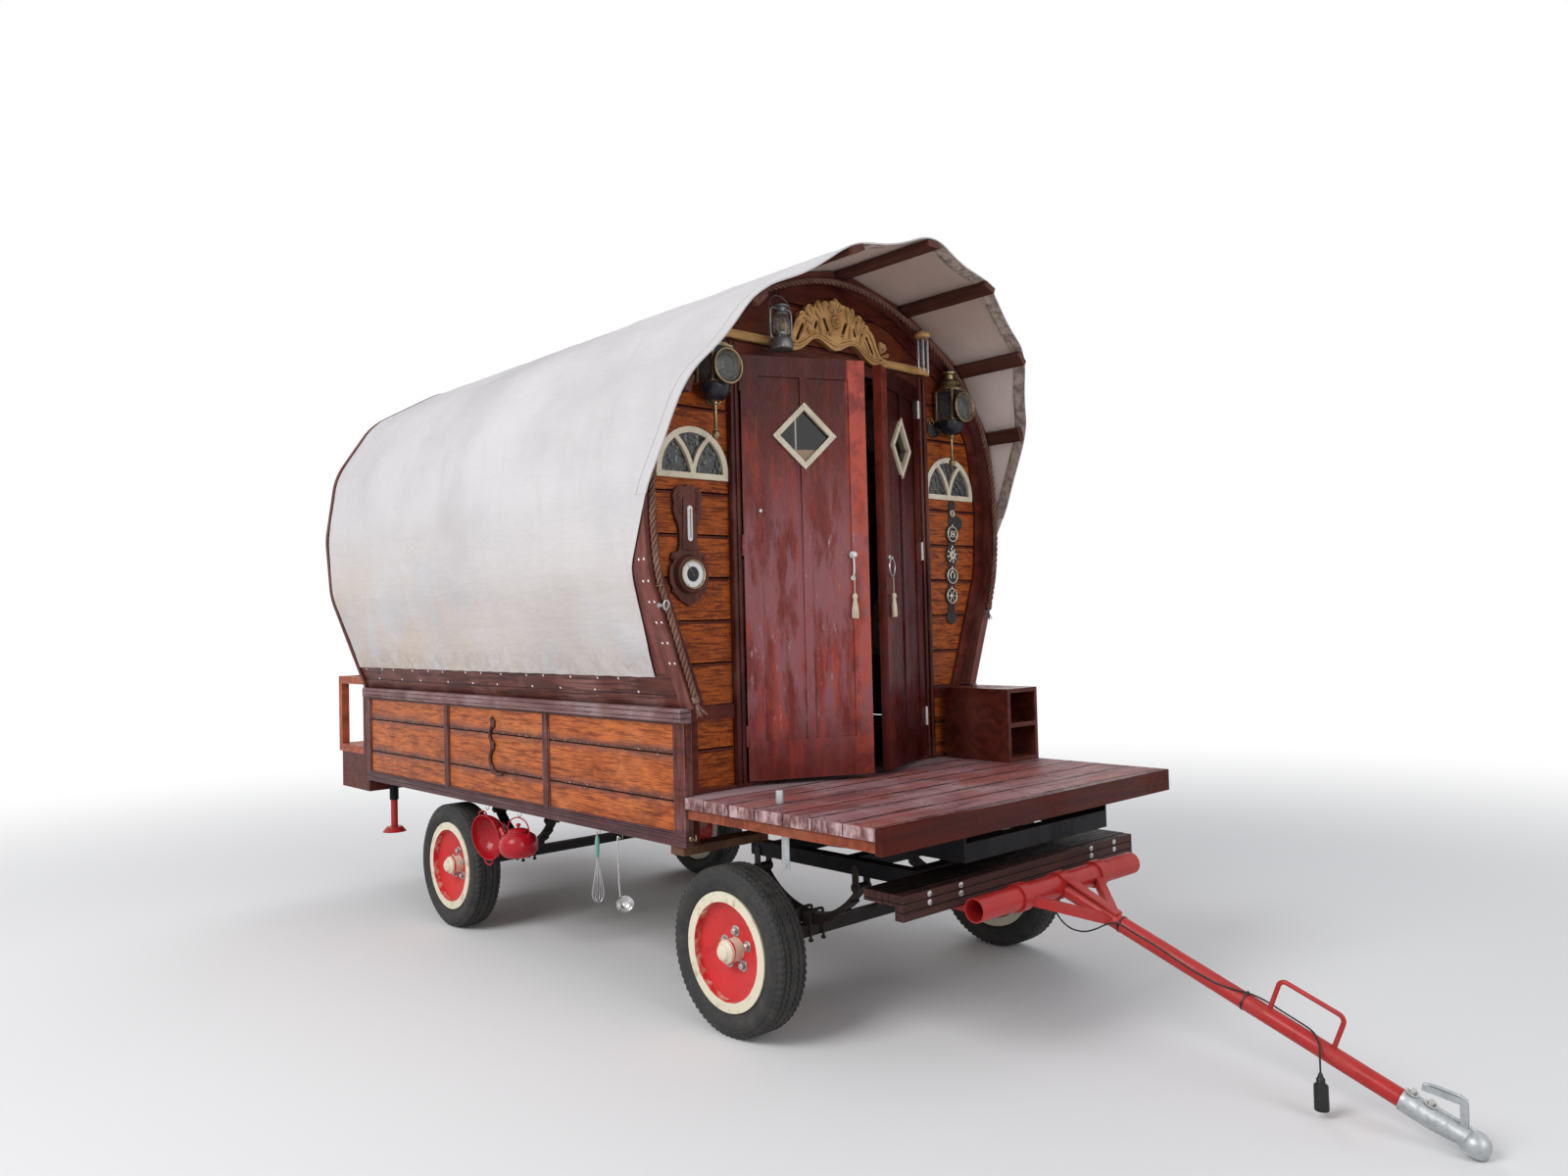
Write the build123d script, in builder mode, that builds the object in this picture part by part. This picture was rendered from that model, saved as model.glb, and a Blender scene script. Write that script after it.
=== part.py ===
from build123d import *
from math import atan2, cos, hypot, pi, radians, sin, sqrt, tan
import os

os.makedirs("parts", exist_ok=True)

# Vardo wagon: a canvas-topped living wagon on a turntable front axle.
# Millimetres. +X points forward along the drawbar, +Y to the wagon's left, +Z up, ground at z = 0.
# The origin is on the ground, halfway between the rear rack and the coupling's nose.

# Overall places
body_length = 3281       # rear wall's back face to front wall's face line
body_half = 959          # half the width over the side panels
deck_length = 1084       # front wall to the deck's front face
rack_depth = 465         # rear wall to the back of the rear rack
nose_reach = 2600        # front wall to the tip of the coupling
wall_x = (body_length + rack_depth - nose_reach) / 2
rear_x = wall_x - body_length
rack_x = rear_x - rack_depth
deck_front_x = wall_x + deck_length
nose_x = wall_x + nose_reach

# Heights
side_bottom = 722
deck_top = 928
ledge_bottom = 1232
ledge_top = 1290
rail_top = 1436          # top of the boards that the canvas is nailed to
plank_t = 45
side_t = 40
paint_gap = 0.3          # clearance of soft or turning pieces from their neighbours

# Bow outline, half of it: (past the side panel, above the ledge) of each corner up to the ridge
bow_foot = -24
bow_waist = (181, 560)
bow_widest = (206, 910)
bow_shoulder = (146, 1300)
bow_eave = (-84, 1640)
bow_crown = (-514, 1885)
ridge_rise = 108         # the ridge above the crown corners
bow_corners = [
    (body_half + past, ledge_top + up)
    for past, up in ((bow_foot, 0), bow_waist, bow_widest, bow_shoulder, bow_eave, bow_crown)
]
ridge_height = bow_corners[-1][1] + ridge_rise
bow_corner_r = 400
bow_depth = 45           # radial depth of a bow
bow_t = 40               # a middle bow along the wagon
front_bow_back = 45      # the front bow reaches this far behind the wall's face line
front_bow_front = 25
edge_board = 65          # radial width of the curved board round the front wall
canvas_t = 8
canvas_gap = 1
middle_bows = 3

# Purlins under the canvas: how far each reaches in front of the wall
shoulder_reach = 251
eave_reach = 432
crown_reach = 564
ridge_reach = 600
purlin_w = 70
purlin_t = 28
purlin_inset = 2

ledge_proud = 20
ledge_round = 12
rail_board_t = 22

# Wheels
tyre_r = 335
tyre_w = 165
rim_r = 203
flange_r = 236
rim_half = 62
flange_t = 8
track_half = 857
shoulder = 22
tread_half = 66
rim_t = 8
disc_t = 6
disc_out = 40
disc_in = 10
dish_r = 95
hub_r = 46
hub_in = 90
hub_out = 80
hub_bevel = 12
hub_end = 3
spindle_r = 18
spindle_gap = 0.05
front_axle_reach = 194   # in front of the front wall
wheelbase = 2395
front_axle_x = wall_x + front_axle_reach
rear_axle_x = front_axle_x - wheelbase
axle_size = 50
spindle_reach = 42       # the spindle goes this far past the wheel's middle plane

# Side panels
rear_stile_w = 65
front_stile_w = 72
mid_stile_w = 40
side_bays = 3
end_t = 40               # thickness of the rear wall's frame along the wagon
bay_w = (body_length - end_t - rear_stile_w - front_stile_w - (side_bays - 1) * mid_stile_w) / side_bays
bottom_rail_top = 772
side_board_tops = [905, 1098, 1232]
wall_set = 35            # the front wall's face lies this far behind the side panels' ends
front_depth = 45
rear_bow_t = 35
rear_bow_cover = 14      # the rear edge board stands out over the end of the canvas
rear_edge_board = 60
board_set = 4            # the wall boards lie this far inside their frame's back face
jamb_w = 58
lintel_h = 50
fan_proud = 6
canvas_bottom = 1421
hood_lip = 14
hood_edge = [            # (from the front wall, height) up the canvas's front edge
    (-150, 1421),
    (-75, 1880),
    (175, 2400),
    (440, 2945),
    (622, 3330),
]

# Chassis and springs
rail_y = 450
rail_w = 60
rail_h = 150
rail_wall = 8
chassis_top = deck_top - plank_t
chassis_bottom = chassis_top - rail_h
spring_half = 300        # half the distance between a spring's eyes
spring_sag = 150
leaf_t = 9
leaf_w = 60
leaf_count = 5
eye_r = 18
beam_half = 690
member_w = 60
member_h = 70
hanger_w = 60
link_t = 6
link_w = 34
link_rise = 25
link_pin_r = 9

# Turntable and the front gear that steers
ring_r = 350
ring_w = 70
ring_t = 32.85
gear_h = 60
king_plate_w = 160
ring_gap = 0.3
gear_w = 60
gear_back = 345          # the gear frame reaches this far behind the front axle
gear_member = 230        # its cross members stand this far before and behind the king pin
king_r = 20
king_gap = 0.05
foot_reach = 1000        # from the front wall to the front face of the splinter bar's fascia
foot_set = 194           # the splinter bar ends this far inside the side panels
foot_x = wall_x + foot_reach
foot_half = body_half - foot_set
slat_top = 656
board_seam = 2
slat_w = 28
slat_gap = 3
slat_t = 42
slat_count = 5
fascia_t = 40
fascia_boards = 3
fascia_h = 31
foot_back_x = foot_x - fascia_t - slat_count * slat_w - (slat_count - 1) * slat_gap

hang_z = chassis_bottom - 2 * ring_t - ring_gap - gear_h
arm_h = 50
arm_lap = 60
bracket_y = 420
bracket_t = 12
bracket_back = 300

# Drawbar
pivot_gap = 130          # from the splinter bar's fascia to the cross tube's middle
pivot_x = foot_x + pivot_gap
pivot_z = 583
cross_r = 45
cross_wall = 5
cross_half = 530
bar_r = 30
nose_r = 42
ball_z = 39
ball_r = 25.2
cup_r = 40
cup_depth = 22
coupling_back = 120      # the bar ends this far behind the ball's middle
neck_r = 30
neck_rise = 6
socket_rise = 10
handle_at = 870
handle_length = 220
handle_h = 108
handle_r = 8
handle_bend = 22
sleeve_r = 36
sleeve_length = 95
collar_gap = 0.5
collar_t = 8
collar_w = 50
brace_reach = 270        # where the braces and the strap meet the bar, from the cross tube
brace_spread = 260
brace_w = 32
strap_w = 44
strap_t = 8
ball_x = nose_x - nose_r
bar_length = hypot(ball_x - pivot_x, pivot_z - ball_z)
bar_angle = atan2(pivot_z - ball_z, ball_x - pivot_x)

# Coupling lever, in its own flat: (behind the ball's middle along the bar, above the bar's middle)
lever_path = [(39, 24), (67, 100), (178, 74)]
lever_w = 20
lever_t = 18

# Lamp cable tied along the drawbar, in millimetres and degrees:
# (along the bar from the cross tube, turned from the bar's top to its right side, out from its middle)
cable_r = 3
cable_run = [
    (0, 180, 54.2),
    (5, 180, 85),
    (42, 179, 120),
    (105, 176, 131),
    (172, 166, 104),
    (222, 142, 68),
    (254, 104, 50),
    (290, 66, 37),
    (355, 70, 35),
    (440, 64, 35),
    (525, 71, 35),
    (610, 75, 35),
    (690, 66, 35),
    (748, 44, 37),
    (798, 8, 38),
    (848, -27, 38),
    (905, -26, 36),
    (965, -20, 36),
    (1020, 2, 39),
    (1056, 52, 48),
    (1072, 92, 47),
]
cable_bend = 0.45        # share of the shorter run that each bend's arc takes
plug_top = 134
plug_length = 107
plug_r = 23
plug_neck_r = 11
plug_neck_h = 24

# Doors
doorway_set = 365        # from the side panels to the doorway
doorway_half = body_half - doorway_set
door_bottom = 950
door_top = 2810
door_t = 40
door_gap = 6
hinge_out = 7            # the hinge pins stand this far in front of the wall's frame
hinge_heights = [150, 980, 1700]
hinge_h = 90
door_open = 24.5         # both leaves stand ajar by this angle
stile = 80
top_rail = 90
bottom_rail = 170
panel_recess = 9
diamond_half = 150
muntin = 38              # width of the bar between a leaf's two panels
diamond_rise = 350       # the diamond's middle below the head of the leaf
diamond_frame = 24
glass_t = 4

diamond_proud = 4
diamond_side = diamond_half * sqrt(2)

# Crest over the doorway, half of it from its middle outwards: (across, above the rail's middle)
crest_rail_z = 2895
crest_rail_h = 36
crest_rail_past = 82     # the rail under the crest runs this far past the doorway
crest_rail_length = 2 * (doorway_half + crest_rail_past)
crest_t = 35
crest_lower = [(0, 14), (122, 56), (215, -2), (262, -20), (345, -18)]
crest_upper = [(0, 236), (105, 212), (198, 168), (250, 92), (362, 12)]
crest_lobes = [          # (across, above the rail's middle, radius) of the leaves along its top
    (0, 226, 24),
    (58, 218, 22),
    (112, 202, 22),
    (165, 188, 20),
    (212, 150, 20),
    (318, 78, 22),
]
crest_slits = [          # (across, above the rail's middle, length, width, lean) of its piercings
    (62, 128, 70, 20, 65),
    (128, 118, 44, 16, 110),
    (232, 70, 96, 16, 118),
]

# Deck and porch locker
plank_count = 7
plank_gap = 5
fascia_board = 30
fascia_depth = 93
deck_rail_h = 42
deck_rail_w = 40
deck_rail_set = 12
joist_w = 45
locker_left = body_half - 7
locker_w = 240
locker_h = 355
locker_t = 20
locker_depth = 390

# Rear rack and pan box
rack_set = 29            # the rack stands this far inside the side panels
rack_half = body_half - rack_set
rack_post = 48
rack_rail = 46
rack_floor = 912
rack_top = 1350
pan_depth = 430
pan_set = 6
pan_bottom = 640
pan_t = 18

# Front wall
front_face_x = wall_x - wall_set
front_back_x = front_face_x - front_depth
front_t = 28
post_w = 60
board_pitch = 181
board_groove = 6
board_face_x = front_back_x + board_set + front_t
inner_half = body_half - side_t
board_base = 928
fan_half = 190
fan_rise = 222
fan_above = 50           # the fan windows' sill above the bows' widest corner
fan_set = 113            # their middle inside the side panels
fan_base = bow_corners[2][1] + fan_above
fan_y = body_half - fan_set
fan_frame = 26
fan_bar = 20

# Carriage lamps on the front wall: a glazed square body with a round lens on its front
lamp_set = 178
lamp_y = body_half - lamp_set
lamp_reach = 83          # the lamp's middle in front of the wall boards
lamp_x = board_face_x + lamp_reach
lamp_w = 115
lamp_bottom = 2645
lamp_h = 160
lamp_plate_w = 70
lens_z = 2708
lens_r = 77
lens_rim = 9
lens_neck_r = 50
lens_out = 40            # the lens rim stands this far in front of the body
tray_w = 134
tray_h = 72
tray_round = 28
stem_r = 14
stem_h = 142
stem_knob_r = 19
roof_h = 52
roof_top_r = 22
chimney_r = 26
chimney_h = 34
cap_r = 40
cap_h = 14
finial_r = 7
finial_h = 22

# Jacks at the rear corners
sleeve_jack_r = 27
jack_sleeve_h = 150
jack_foot_h = 30
jack_bearer_h = 70
jack_x = rear_x + 75
jack_set = 159
jack_y = body_half - jack_set
jack_r = 21
jack_foot_z = 385
jack_foot_r = 72


def bow_outline(inset, base=ledge_top):
    """Face inside the bow outline, moved inwards by inset and cut off level with base."""
    lean = (bow_corners[1][0] - bow_corners[0][0]) / (bow_corners[1][1] - bow_corners[0][1])
    drop = 400
    low = (bow_corners[0][0] - drop * lean, bow_corners[0][1] - drop)
    half = [low] + bow_corners[1:]
    points = half + [(0, ridge_height)] + [(-y, z) for y, z in reversed(half)]
    with BuildSketch() as outline:
        with BuildLine():
            Polyline(*points, close=True)
        make_face()
        fillet(outline.vertices().filter_by(lambda v: v.Y > low[1] + 1), bow_corner_r)
        if inset:
            offset(amount=-inset, kind=Kind.INTERSECTION)
        with Locations((0, base)):
            Rectangle(4 * body_half, 4 * body_half, align=(Align.CENTER, Align.MAX), mode=Mode.SUBTRACT)
    return outline.sketch


def bow_ring(outer, inner, base=ledge_top):
    """Arch-shaped face between two insets of the bow outline, standing on base."""
    with BuildSketch() as ring:
        add(bow_outline(outer, base))
        add(bow_outline(inner, base), mode=Mode.SUBTRACT)
    return ring.sketch


def write(piece, name):
    piece.part.label = name
    export_step(piece.part, f"parts/{name}.step")


def mirrored(half_points):
    """Both halves of a row of points listed from the middle outwards, from left to right."""
    return [(-y, z) for y, z in reversed(half_points[1:])] + half_points


def wall_field(inset, bottom, half):
    """Face of an end wall inside its frame: a box up to the sill and the bow outline above it."""
    with BuildSketch() as field:
        add(bow_outline(inset, ledge_top))
        with Locations((0, bottom)):
            Rectangle(2 * half, ledge_bottom - bottom, align=(Align.CENTER, Align.MIN))
    return field.sketch


# Floor: one boarded slab between the side panels
with BuildPart() as floor:
    with BuildSketch(Plane.XY.offset(deck_top - plank_t)):
        with Locations((rear_x + end_t, 0)):
            Rectangle(
                body_length - end_t - wall_set - front_depth,
                2 * (body_half - side_t),
                align=(Align.MIN, Align.CENTER),
            )
    extrude(amount=plank_t)
write(floor, "floor")

# Side panels: a frame of rails and stiles, with three boards in each of its three bays
side_back = rear_x + end_t
side_length = body_length - end_t
side_stiles = [rear_stile_w] + [mid_stile_w] * (side_bays - 1) + [front_stile_w]
with BuildPart() as side_frames:
    for sign in (1, -1):
        with BuildSketch(Plane.XZ.offset(-sign * body_half)):
            with Locations((side_back, side_bottom)):
                Rectangle(side_length, bottom_rail_top - side_bottom, align=(Align.MIN, Align.MIN))
            stile_x = side_back
            for width in side_stiles:
                with Locations((stile_x, side_bottom)):
                    Rectangle(width, ledge_bottom - side_bottom, align=(Align.MIN, Align.MIN))
                stile_x += width + bay_w
        extrude(amount=sign * side_t)
write(side_frames, "side_frames")

with BuildPart() as side_boards:
    for sign in (1, -1):
        for bay in range(side_bays):
            low = bottom_rail_top
            for top in side_board_tops:
                with BuildSketch(Plane.XZ.offset(-sign * (body_half - panel_recess))):
                    with Locations((side_back + sum(side_stiles[:bay + 1]) + bay * bay_w, low + board_groove / 2)):
                        Rectangle(bay_w, top - low - board_groove, align=(Align.MIN, Align.MIN))
                extrude(amount=sign * (side_t - panel_recess))
                low = top
write(side_boards, "side_boards")

# Ledge: a rounded weather moulding along the top of each side panel
with BuildPart() as ledge:
    with BuildSketch(Plane.YZ.offset(side_back)):
        for sign in (1, -1):
            with Locations((sign * (body_half + (ledge_proud - side_t) / 2), ledge_bottom)):
                RectangleRounded(
                    side_t + ledge_proud,
                    ledge_top - ledge_bottom,
                    ledge_round,
                    align=(Align.CENTER, Align.MIN),
                )
    extrude(amount=side_length)
write(ledge, "ledge")

# Canvas rails: leaning boards that the canvas is nailed to, one on each ledge
rail_back = rear_x + rear_bow_t
rail_front = wall_x - front_bow_back
with BuildPart() as canvas_rails:
    with BuildSketch(Plane.YZ.offset(rail_back)):
        add(bow_ring(0, rail_board_t))
        with Locations((0, rail_top)):
            Rectangle(4 * body_half, 4 * body_half, align=(Align.CENTER, Align.MIN), mode=Mode.SUBTRACT)
    extrude(amount=rail_front - rail_back)
write(canvas_rails, "canvas_rails")

# Purlins: boards along the wagon at the corners of the bows, reaching out under the hood
with BuildPart() as purlins:
    bow_points = bow_corners[2:] + [(0, ridge_height), (-bow_corners[-1][0], bow_corners[-1][1])]
    reaches = (shoulder_reach, eave_reach, crown_reach, ridge_reach)
    for (y0, z0), (y1, z1), (y2, z2), reach in zip(bow_points, bow_points[1:], bow_points[2:], reaches):
        angle_in = atan2(z1 - z0, y1 - y0)
        angle_out = atan2(z2 - z1, y2 - y1) % (2 * pi)
        half_turn = (angle_out - angle_in) / 2
        tangent = angle_in + half_turn
        depth = bow_corner_r * (1 / cos(half_turn) - 1) + purlin_inset + purlin_t / 2
        y, z = y1 - depth * sin(tangent), z1 + depth * cos(tangent)
        for sign in (1, -1) if y1 else (1,):
            across = Plane(
                origin=(rail_back, sign * y, z),
                x_dir=(0, sign * cos(tangent), sin(tangent)),
                z_dir=(1, 0, 0),
            )
            with BuildSketch(across):
                Rectangle(purlin_w, purlin_t)
            extrude(amount=wall_x + reach - rail_back)
write(purlins, "purlins")

# Bows: bent arches notched for the purlins and the canvas rails
with BuildPart() as front_bow:
    with BuildSketch(Plane.YZ.offset(rail_front)):
        add(bow_ring(0, bow_depth))
    extrude(amount=front_bow_back + front_bow_front)
    add(purlins.part, mode=Mode.SUBTRACT)
write(front_bow, "front_bow")

with BuildPart() as middle_bow_set:
    bay = (rail_front - rail_back) / (middle_bows + 1)
    for number in range(middle_bows):
        with BuildSketch(Plane.YZ.offset(rail_back + (number + 1) * bay - bow_t / 2)):
            add(bow_ring(0, bow_depth))
        extrude(amount=bow_t)
    add(purlins.part, mode=Mode.SUBTRACT)
    add(canvas_rails.part, mode=Mode.SUBTRACT)
write(middle_bow_set, "middle_bows")

# Canvas: stretched over the purlins, its front edge swept forward as a hood
with BuildPart() as canopy:
    with BuildSketch(Plane.YZ.offset(rail_back + paint_gap)):
        add(bow_ring(-canvas_gap - canvas_t, -canvas_gap, canvas_bottom))
    extrude(amount=wall_x + ridge_reach + hood_lip - rail_back - paint_gap)
    with BuildSketch(Plane.XZ.offset(-2 * body_half)):
        with BuildLine():
            hood = [(wall_x + x, z) for x, z in hood_edge]
            Line((hood[0][0], canvas_bottom - 10), hood[0])
            Line(hood[0], hood[1])
            ThreePointArc(hood[1], hood[2], hood[3])
            Line(hood[3], hood[4])
            Polyline(
                hood[4],
                (wall_x + 2 * ridge_reach, hood[4][1]),
                (wall_x + 2 * ridge_reach, canvas_bottom - 10),
                (hood[0][0], canvas_bottom - 10),
            )
        make_face()
    extrude(amount=4 * body_half, mode=Mode.SUBTRACT)
write(canopy, "canopy")

# Rear wall: boards in a frame whose curved edge board closes the end of the canvas
with BuildPart() as rear_frame:
    with BuildSketch(Plane.YZ.offset(rear_x)):
        add(bow_ring(-rear_bow_cover, rear_edge_board))
    extrude(amount=rear_bow_t)
    with BuildSketch(Plane.YZ.offset(rear_x)):
        with Locations((0, side_bottom)):
            Rectangle(2 * body_half, ledge_top - side_bottom, align=(Align.CENTER, Align.MIN))
        with Locations((0, side_bottom + post_w)):
            Rectangle(
                2 * (body_half - post_w),
                ledge_bottom - side_bottom - post_w,
                align=(Align.CENTER, Align.MIN),
                mode=Mode.SUBTRACT,
            )
    extrude(amount=rear_bow_t)
write(rear_frame, "rear_frame")

with BuildPart() as rear_boards:
    low = side_bottom + post_w
    while low < ridge_height - 2 * rear_edge_board:
        with BuildSketch(Plane.YZ.offset(rear_x + board_set)):
            add(wall_field(rear_edge_board, side_bottom + post_w, body_half - post_w))
            with Locations((0, (ledge_bottom + ledge_top) / 2)):
                Rectangle(3 * body_half, ledge_top - ledge_bottom, mode=Mode.SUBTRACT)
            with Locations((0, low + board_groove / 2)):
                Rectangle(
                    3 * body_half,
                    board_pitch - board_groove,
                    align=(Align.CENTER, Align.MIN),
                    mode=Mode.INTERSECT,
                )
        extrude(amount=front_t)
        low += board_pitch
write(rear_boards, "rear_boards")

# Front wall frame: corner posts, sill, curved edge board, door jambs and lintel
field_inset = bow_depth + edge_board
with BuildPart() as front_frame:
    with BuildSketch(Plane.YZ.offset(front_back_x)):
        add(bow_ring(bow_depth + paint_gap, field_inset))
        with Locations((0, ledge_bottom)):
            Rectangle(2 * inner_half, ledge_top - ledge_bottom, align=(Align.CENTER, Align.MIN))
        with Locations((0, deck_top - plank_t)):
            Rectangle(
                2 * inner_half,
                door_bottom - door_gap - deck_top + plank_t,
                align=(Align.CENTER, Align.MIN),
            )
        for sign in (1, -1):
            with Locations((sign * (inner_half - post_w / 2), side_bottom)):
                Rectangle(post_w, ledge_top - side_bottom, align=(Align.CENTER, Align.MIN))
        with Locations((0, deck_top)):
            Rectangle(
                2 * (doorway_half + jamb_w),
                door_top + door_gap + lintel_h - deck_top,
                align=(Align.CENTER, Align.MIN),
            )
        with Locations((0, door_bottom - door_gap)):
            Rectangle(
                2 * doorway_half,
                door_top - door_bottom + 2 * door_gap,
                align=(Align.CENTER, Align.MIN),
                mode=Mode.SUBTRACT,
            )
    extrude(amount=front_depth)
write(front_frame, "front_frame")

# Front wall boards, cut round the doorway and the fan windows
with BuildPart() as front_boards:
    low = board_base
    while low < ridge_height - 1.2 * field_inset:
        with BuildSketch(Plane.YZ.offset(front_back_x + board_set)):
            add(wall_field(field_inset, door_bottom - door_gap, inner_half - post_w))
            with Locations((0, (ledge_bottom + ledge_top) / 2)):
                Rectangle(3 * body_half, ledge_top - ledge_bottom, mode=Mode.SUBTRACT)
            with Locations((0, deck_top)):
                Rectangle(
                    2 * (doorway_half + jamb_w),
                    door_top + door_gap + lintel_h - deck_top,
                    align=(Align.CENTER, Align.MIN),
                    mode=Mode.SUBTRACT,
                )
            for sign in (1, -1):
                with BuildLine(mode=Mode.PRIVATE) as arch:
                    Line((sign * fan_y - fan_half, fan_base), (sign * fan_y + fan_half, fan_base))
                    ThreePointArc(
                        (sign * fan_y + fan_half, fan_base),
                        (sign * fan_y, fan_base + fan_rise),
                        (sign * fan_y - fan_half, fan_base),
                    )
                make_face(arch.edges(), mode=Mode.SUBTRACT)
            with Locations((0, low + board_groove / 2)):
                Rectangle(
                    3 * body_half,
                    board_pitch - board_groove,
                    align=(Align.CENTER, Align.MIN),
                    mode=Mode.INTERSECT,
                )
        extrude(amount=front_t)
        low += board_pitch
write(front_boards, "front_boards")

# Fan windows: half-round frames with two curved bars that part from the middle of the sill
with BuildPart() as fan_frames:
    for sign in (1, -1):
        with BuildSketch(Plane.YZ.offset(front_back_x + board_set)) as fan:
            for grow, how in ((0, Mode.ADD), (fan_frame, Mode.SUBTRACT)):
                half, rise, base = fan_half - grow, fan_rise - grow, fan_base + grow
                with BuildLine(mode=Mode.PRIVATE) as arch:
                    Line((sign * fan_y - half, base), (sign * fan_y + half, base))
                    ThreePointArc(
                        (sign * fan_y + half, base),
                        (sign * fan_y, fan_base + rise),
                        (sign * fan_y - half, base),
                    )
                make_face(arch.edges(), mode=how)
            for side in (1, -1):
                with BuildLine(mode=Mode.PRIVATE) as bar:
                    ThreePointArc(
                        (sign * fan_y, fan_base + fan_frame / 2),
                        (sign * fan_y + side * fan_half * 0.17, fan_base + fan_rise * 0.5),
                        (sign * fan_y + side * fan_half * 0.47, fan_base + fan_rise * 0.8),
                    )
                trace(bar.edges(), line_width=fan_bar)
        extrude(amount=front_t + fan_proud)
write(fan_frames, "fan_frames")

with BuildPart() as fan_glass:
    for sign in (1, -1):
        with BuildSketch(Plane.YZ.offset(front_back_x + board_set + front_t / 2)):
            half, rise, base = fan_half - fan_frame, fan_rise - fan_frame, fan_base + fan_frame
            with BuildLine():
                Line((sign * fan_y - half, base), (sign * fan_y + half, base))
                ThreePointArc(
                    (sign * fan_y + half, base),
                    (sign * fan_y, fan_base + rise),
                    (sign * fan_y - half, base),
                )
            make_face()
        extrude(amount=glass_t)
    add(fan_frames.part, mode=Mode.SUBTRACT)
write(fan_glass, "fan_glass")

# Crest: a carved and pierced board over the doorway, with a rail under it
with BuildPart() as crest:
    with BuildSketch(Plane.YZ.offset(board_face_x)):
        with Locations((0, crest_rail_z)):
            Rectangle(crest_rail_length, crest_rail_h)
            with BuildLine(mode=Mode.PRIVATE) as edges:
                lower = [(y, crest_rail_z + z) for y, z in mirrored(crest_lower)]
                upper = [(y, crest_rail_z + z) for y, z in mirrored(crest_upper)]
                Spline(*lower)
                Spline(*upper)
                Line(lower[0], upper[0])
                Line(lower[-1], upper[-1])
        make_face(edges.edges())
        for across, up, radius in crest_lobes:
            for sign in (1, -1) if across else (1,):
                with Locations((sign * across, crest_rail_z + up)):
                    Circle(radius)
        for across, up, length, width, lean in crest_slits:
            for sign in (1, -1):
                with Locations((sign * across, crest_rail_z + up)):
                    SlotOverall(length, width, rotation=sign * lean, mode=Mode.SUBTRACT)
        with BuildLine(mode=Mode.PRIVATE) as under:
            Spline(*lower)
            Polyline(
                lower[-1],
                (lower[-1][0], crest_rail_z - 2 * crest_rail_h),
                (lower[0][0], crest_rail_z - 2 * crest_rail_h),
                lower[0],
            )
        make_face(under.edges(), mode=Mode.SUBTRACT)
    extrude(amount=crest_t)
write(crest, "crest")

# Doors: two framed leaves ajar, hinged at the jambs, each with a diamond window
door_w = doorway_half - 1.5 * door_gap
door_h = door_top - door_bottom
panel_w = (door_w - 2 * stile - muntin) / 2
for side, hinge_y, sign in (("right", -doorway_half, 1), ("left", doorway_half, -1)):
    swing = radians(door_open)
    leaf_plane = Plane(
        origin=(front_face_x + hinge_out, hinge_y, door_bottom),
        x_dir=(sin(swing), sign * cos(swing), 0),
        z_dir=(cos(swing), -sign * sin(swing), 0),
    )
    rise = sign
    with BuildPart() as door:
        with BuildSketch(leaf_plane):
            with Locations((door_gap + door_w / 2, rise * door_h / 2)):
                Rectangle(door_w, door_h)
        extrude(amount=-door_t)
        for face_at, away in ((0, -1), (-door_t, 1)):
            with BuildSketch(leaf_plane.offset(face_at)):
                for half in (1, -1):
                    with Locations(
                        (
                            door_gap + door_w / 2 + half * (muntin + panel_w) / 2,
                            rise * (bottom_rail + door_h - top_rail) / 2,
                        )
                    ):
                        Rectangle(panel_w, door_h - top_rail - bottom_rail)
            extrude(amount=away * panel_recess, mode=Mode.SUBTRACT)
        with BuildSketch(leaf_plane):
            with Locations((door_gap + door_w / 2, rise * (door_h - diamond_rise))):
                Rectangle(diamond_side, diamond_side, rotation=45)
        extrude(amount=-door_t, mode=Mode.SUBTRACT)
        for height in hinge_heights:
            with BuildSketch(Plane.XY.offset(door_bottom + height)):
                with Locations((front_face_x + hinge_out, hinge_y)):
                    Circle(hinge_out - paint_gap)
            extrude(amount=hinge_h)
    write(door, f"door_{side}")

    with BuildPart() as door_window:
        with BuildSketch(leaf_plane.offset(diamond_proud)):
            with Locations((door_gap + door_w / 2, rise * (door_h - diamond_rise))):
                Rectangle(diamond_side, diamond_side, rotation=45)
                Rectangle(
                    diamond_side - 2 * diamond_frame,
                    diamond_side - 2 * diamond_frame,
                    rotation=45,
                    mode=Mode.SUBTRACT,
                )
        extrude(amount=-door_t - diamond_proud)
    write(door_window, f"door_window_{side}")

    with BuildPart() as door_glass:
        with BuildSketch(leaf_plane.offset(-door_t / 2)):
            with Locations((door_gap + door_w / 2, rise * (door_h - diamond_rise))):
                Rectangle(diamond_side - 2 * diamond_frame, diamond_side - 2 * diamond_frame, rotation=45)
        extrude(amount=glass_t)
    write(door_glass, f"door_glass_{side}")

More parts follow.
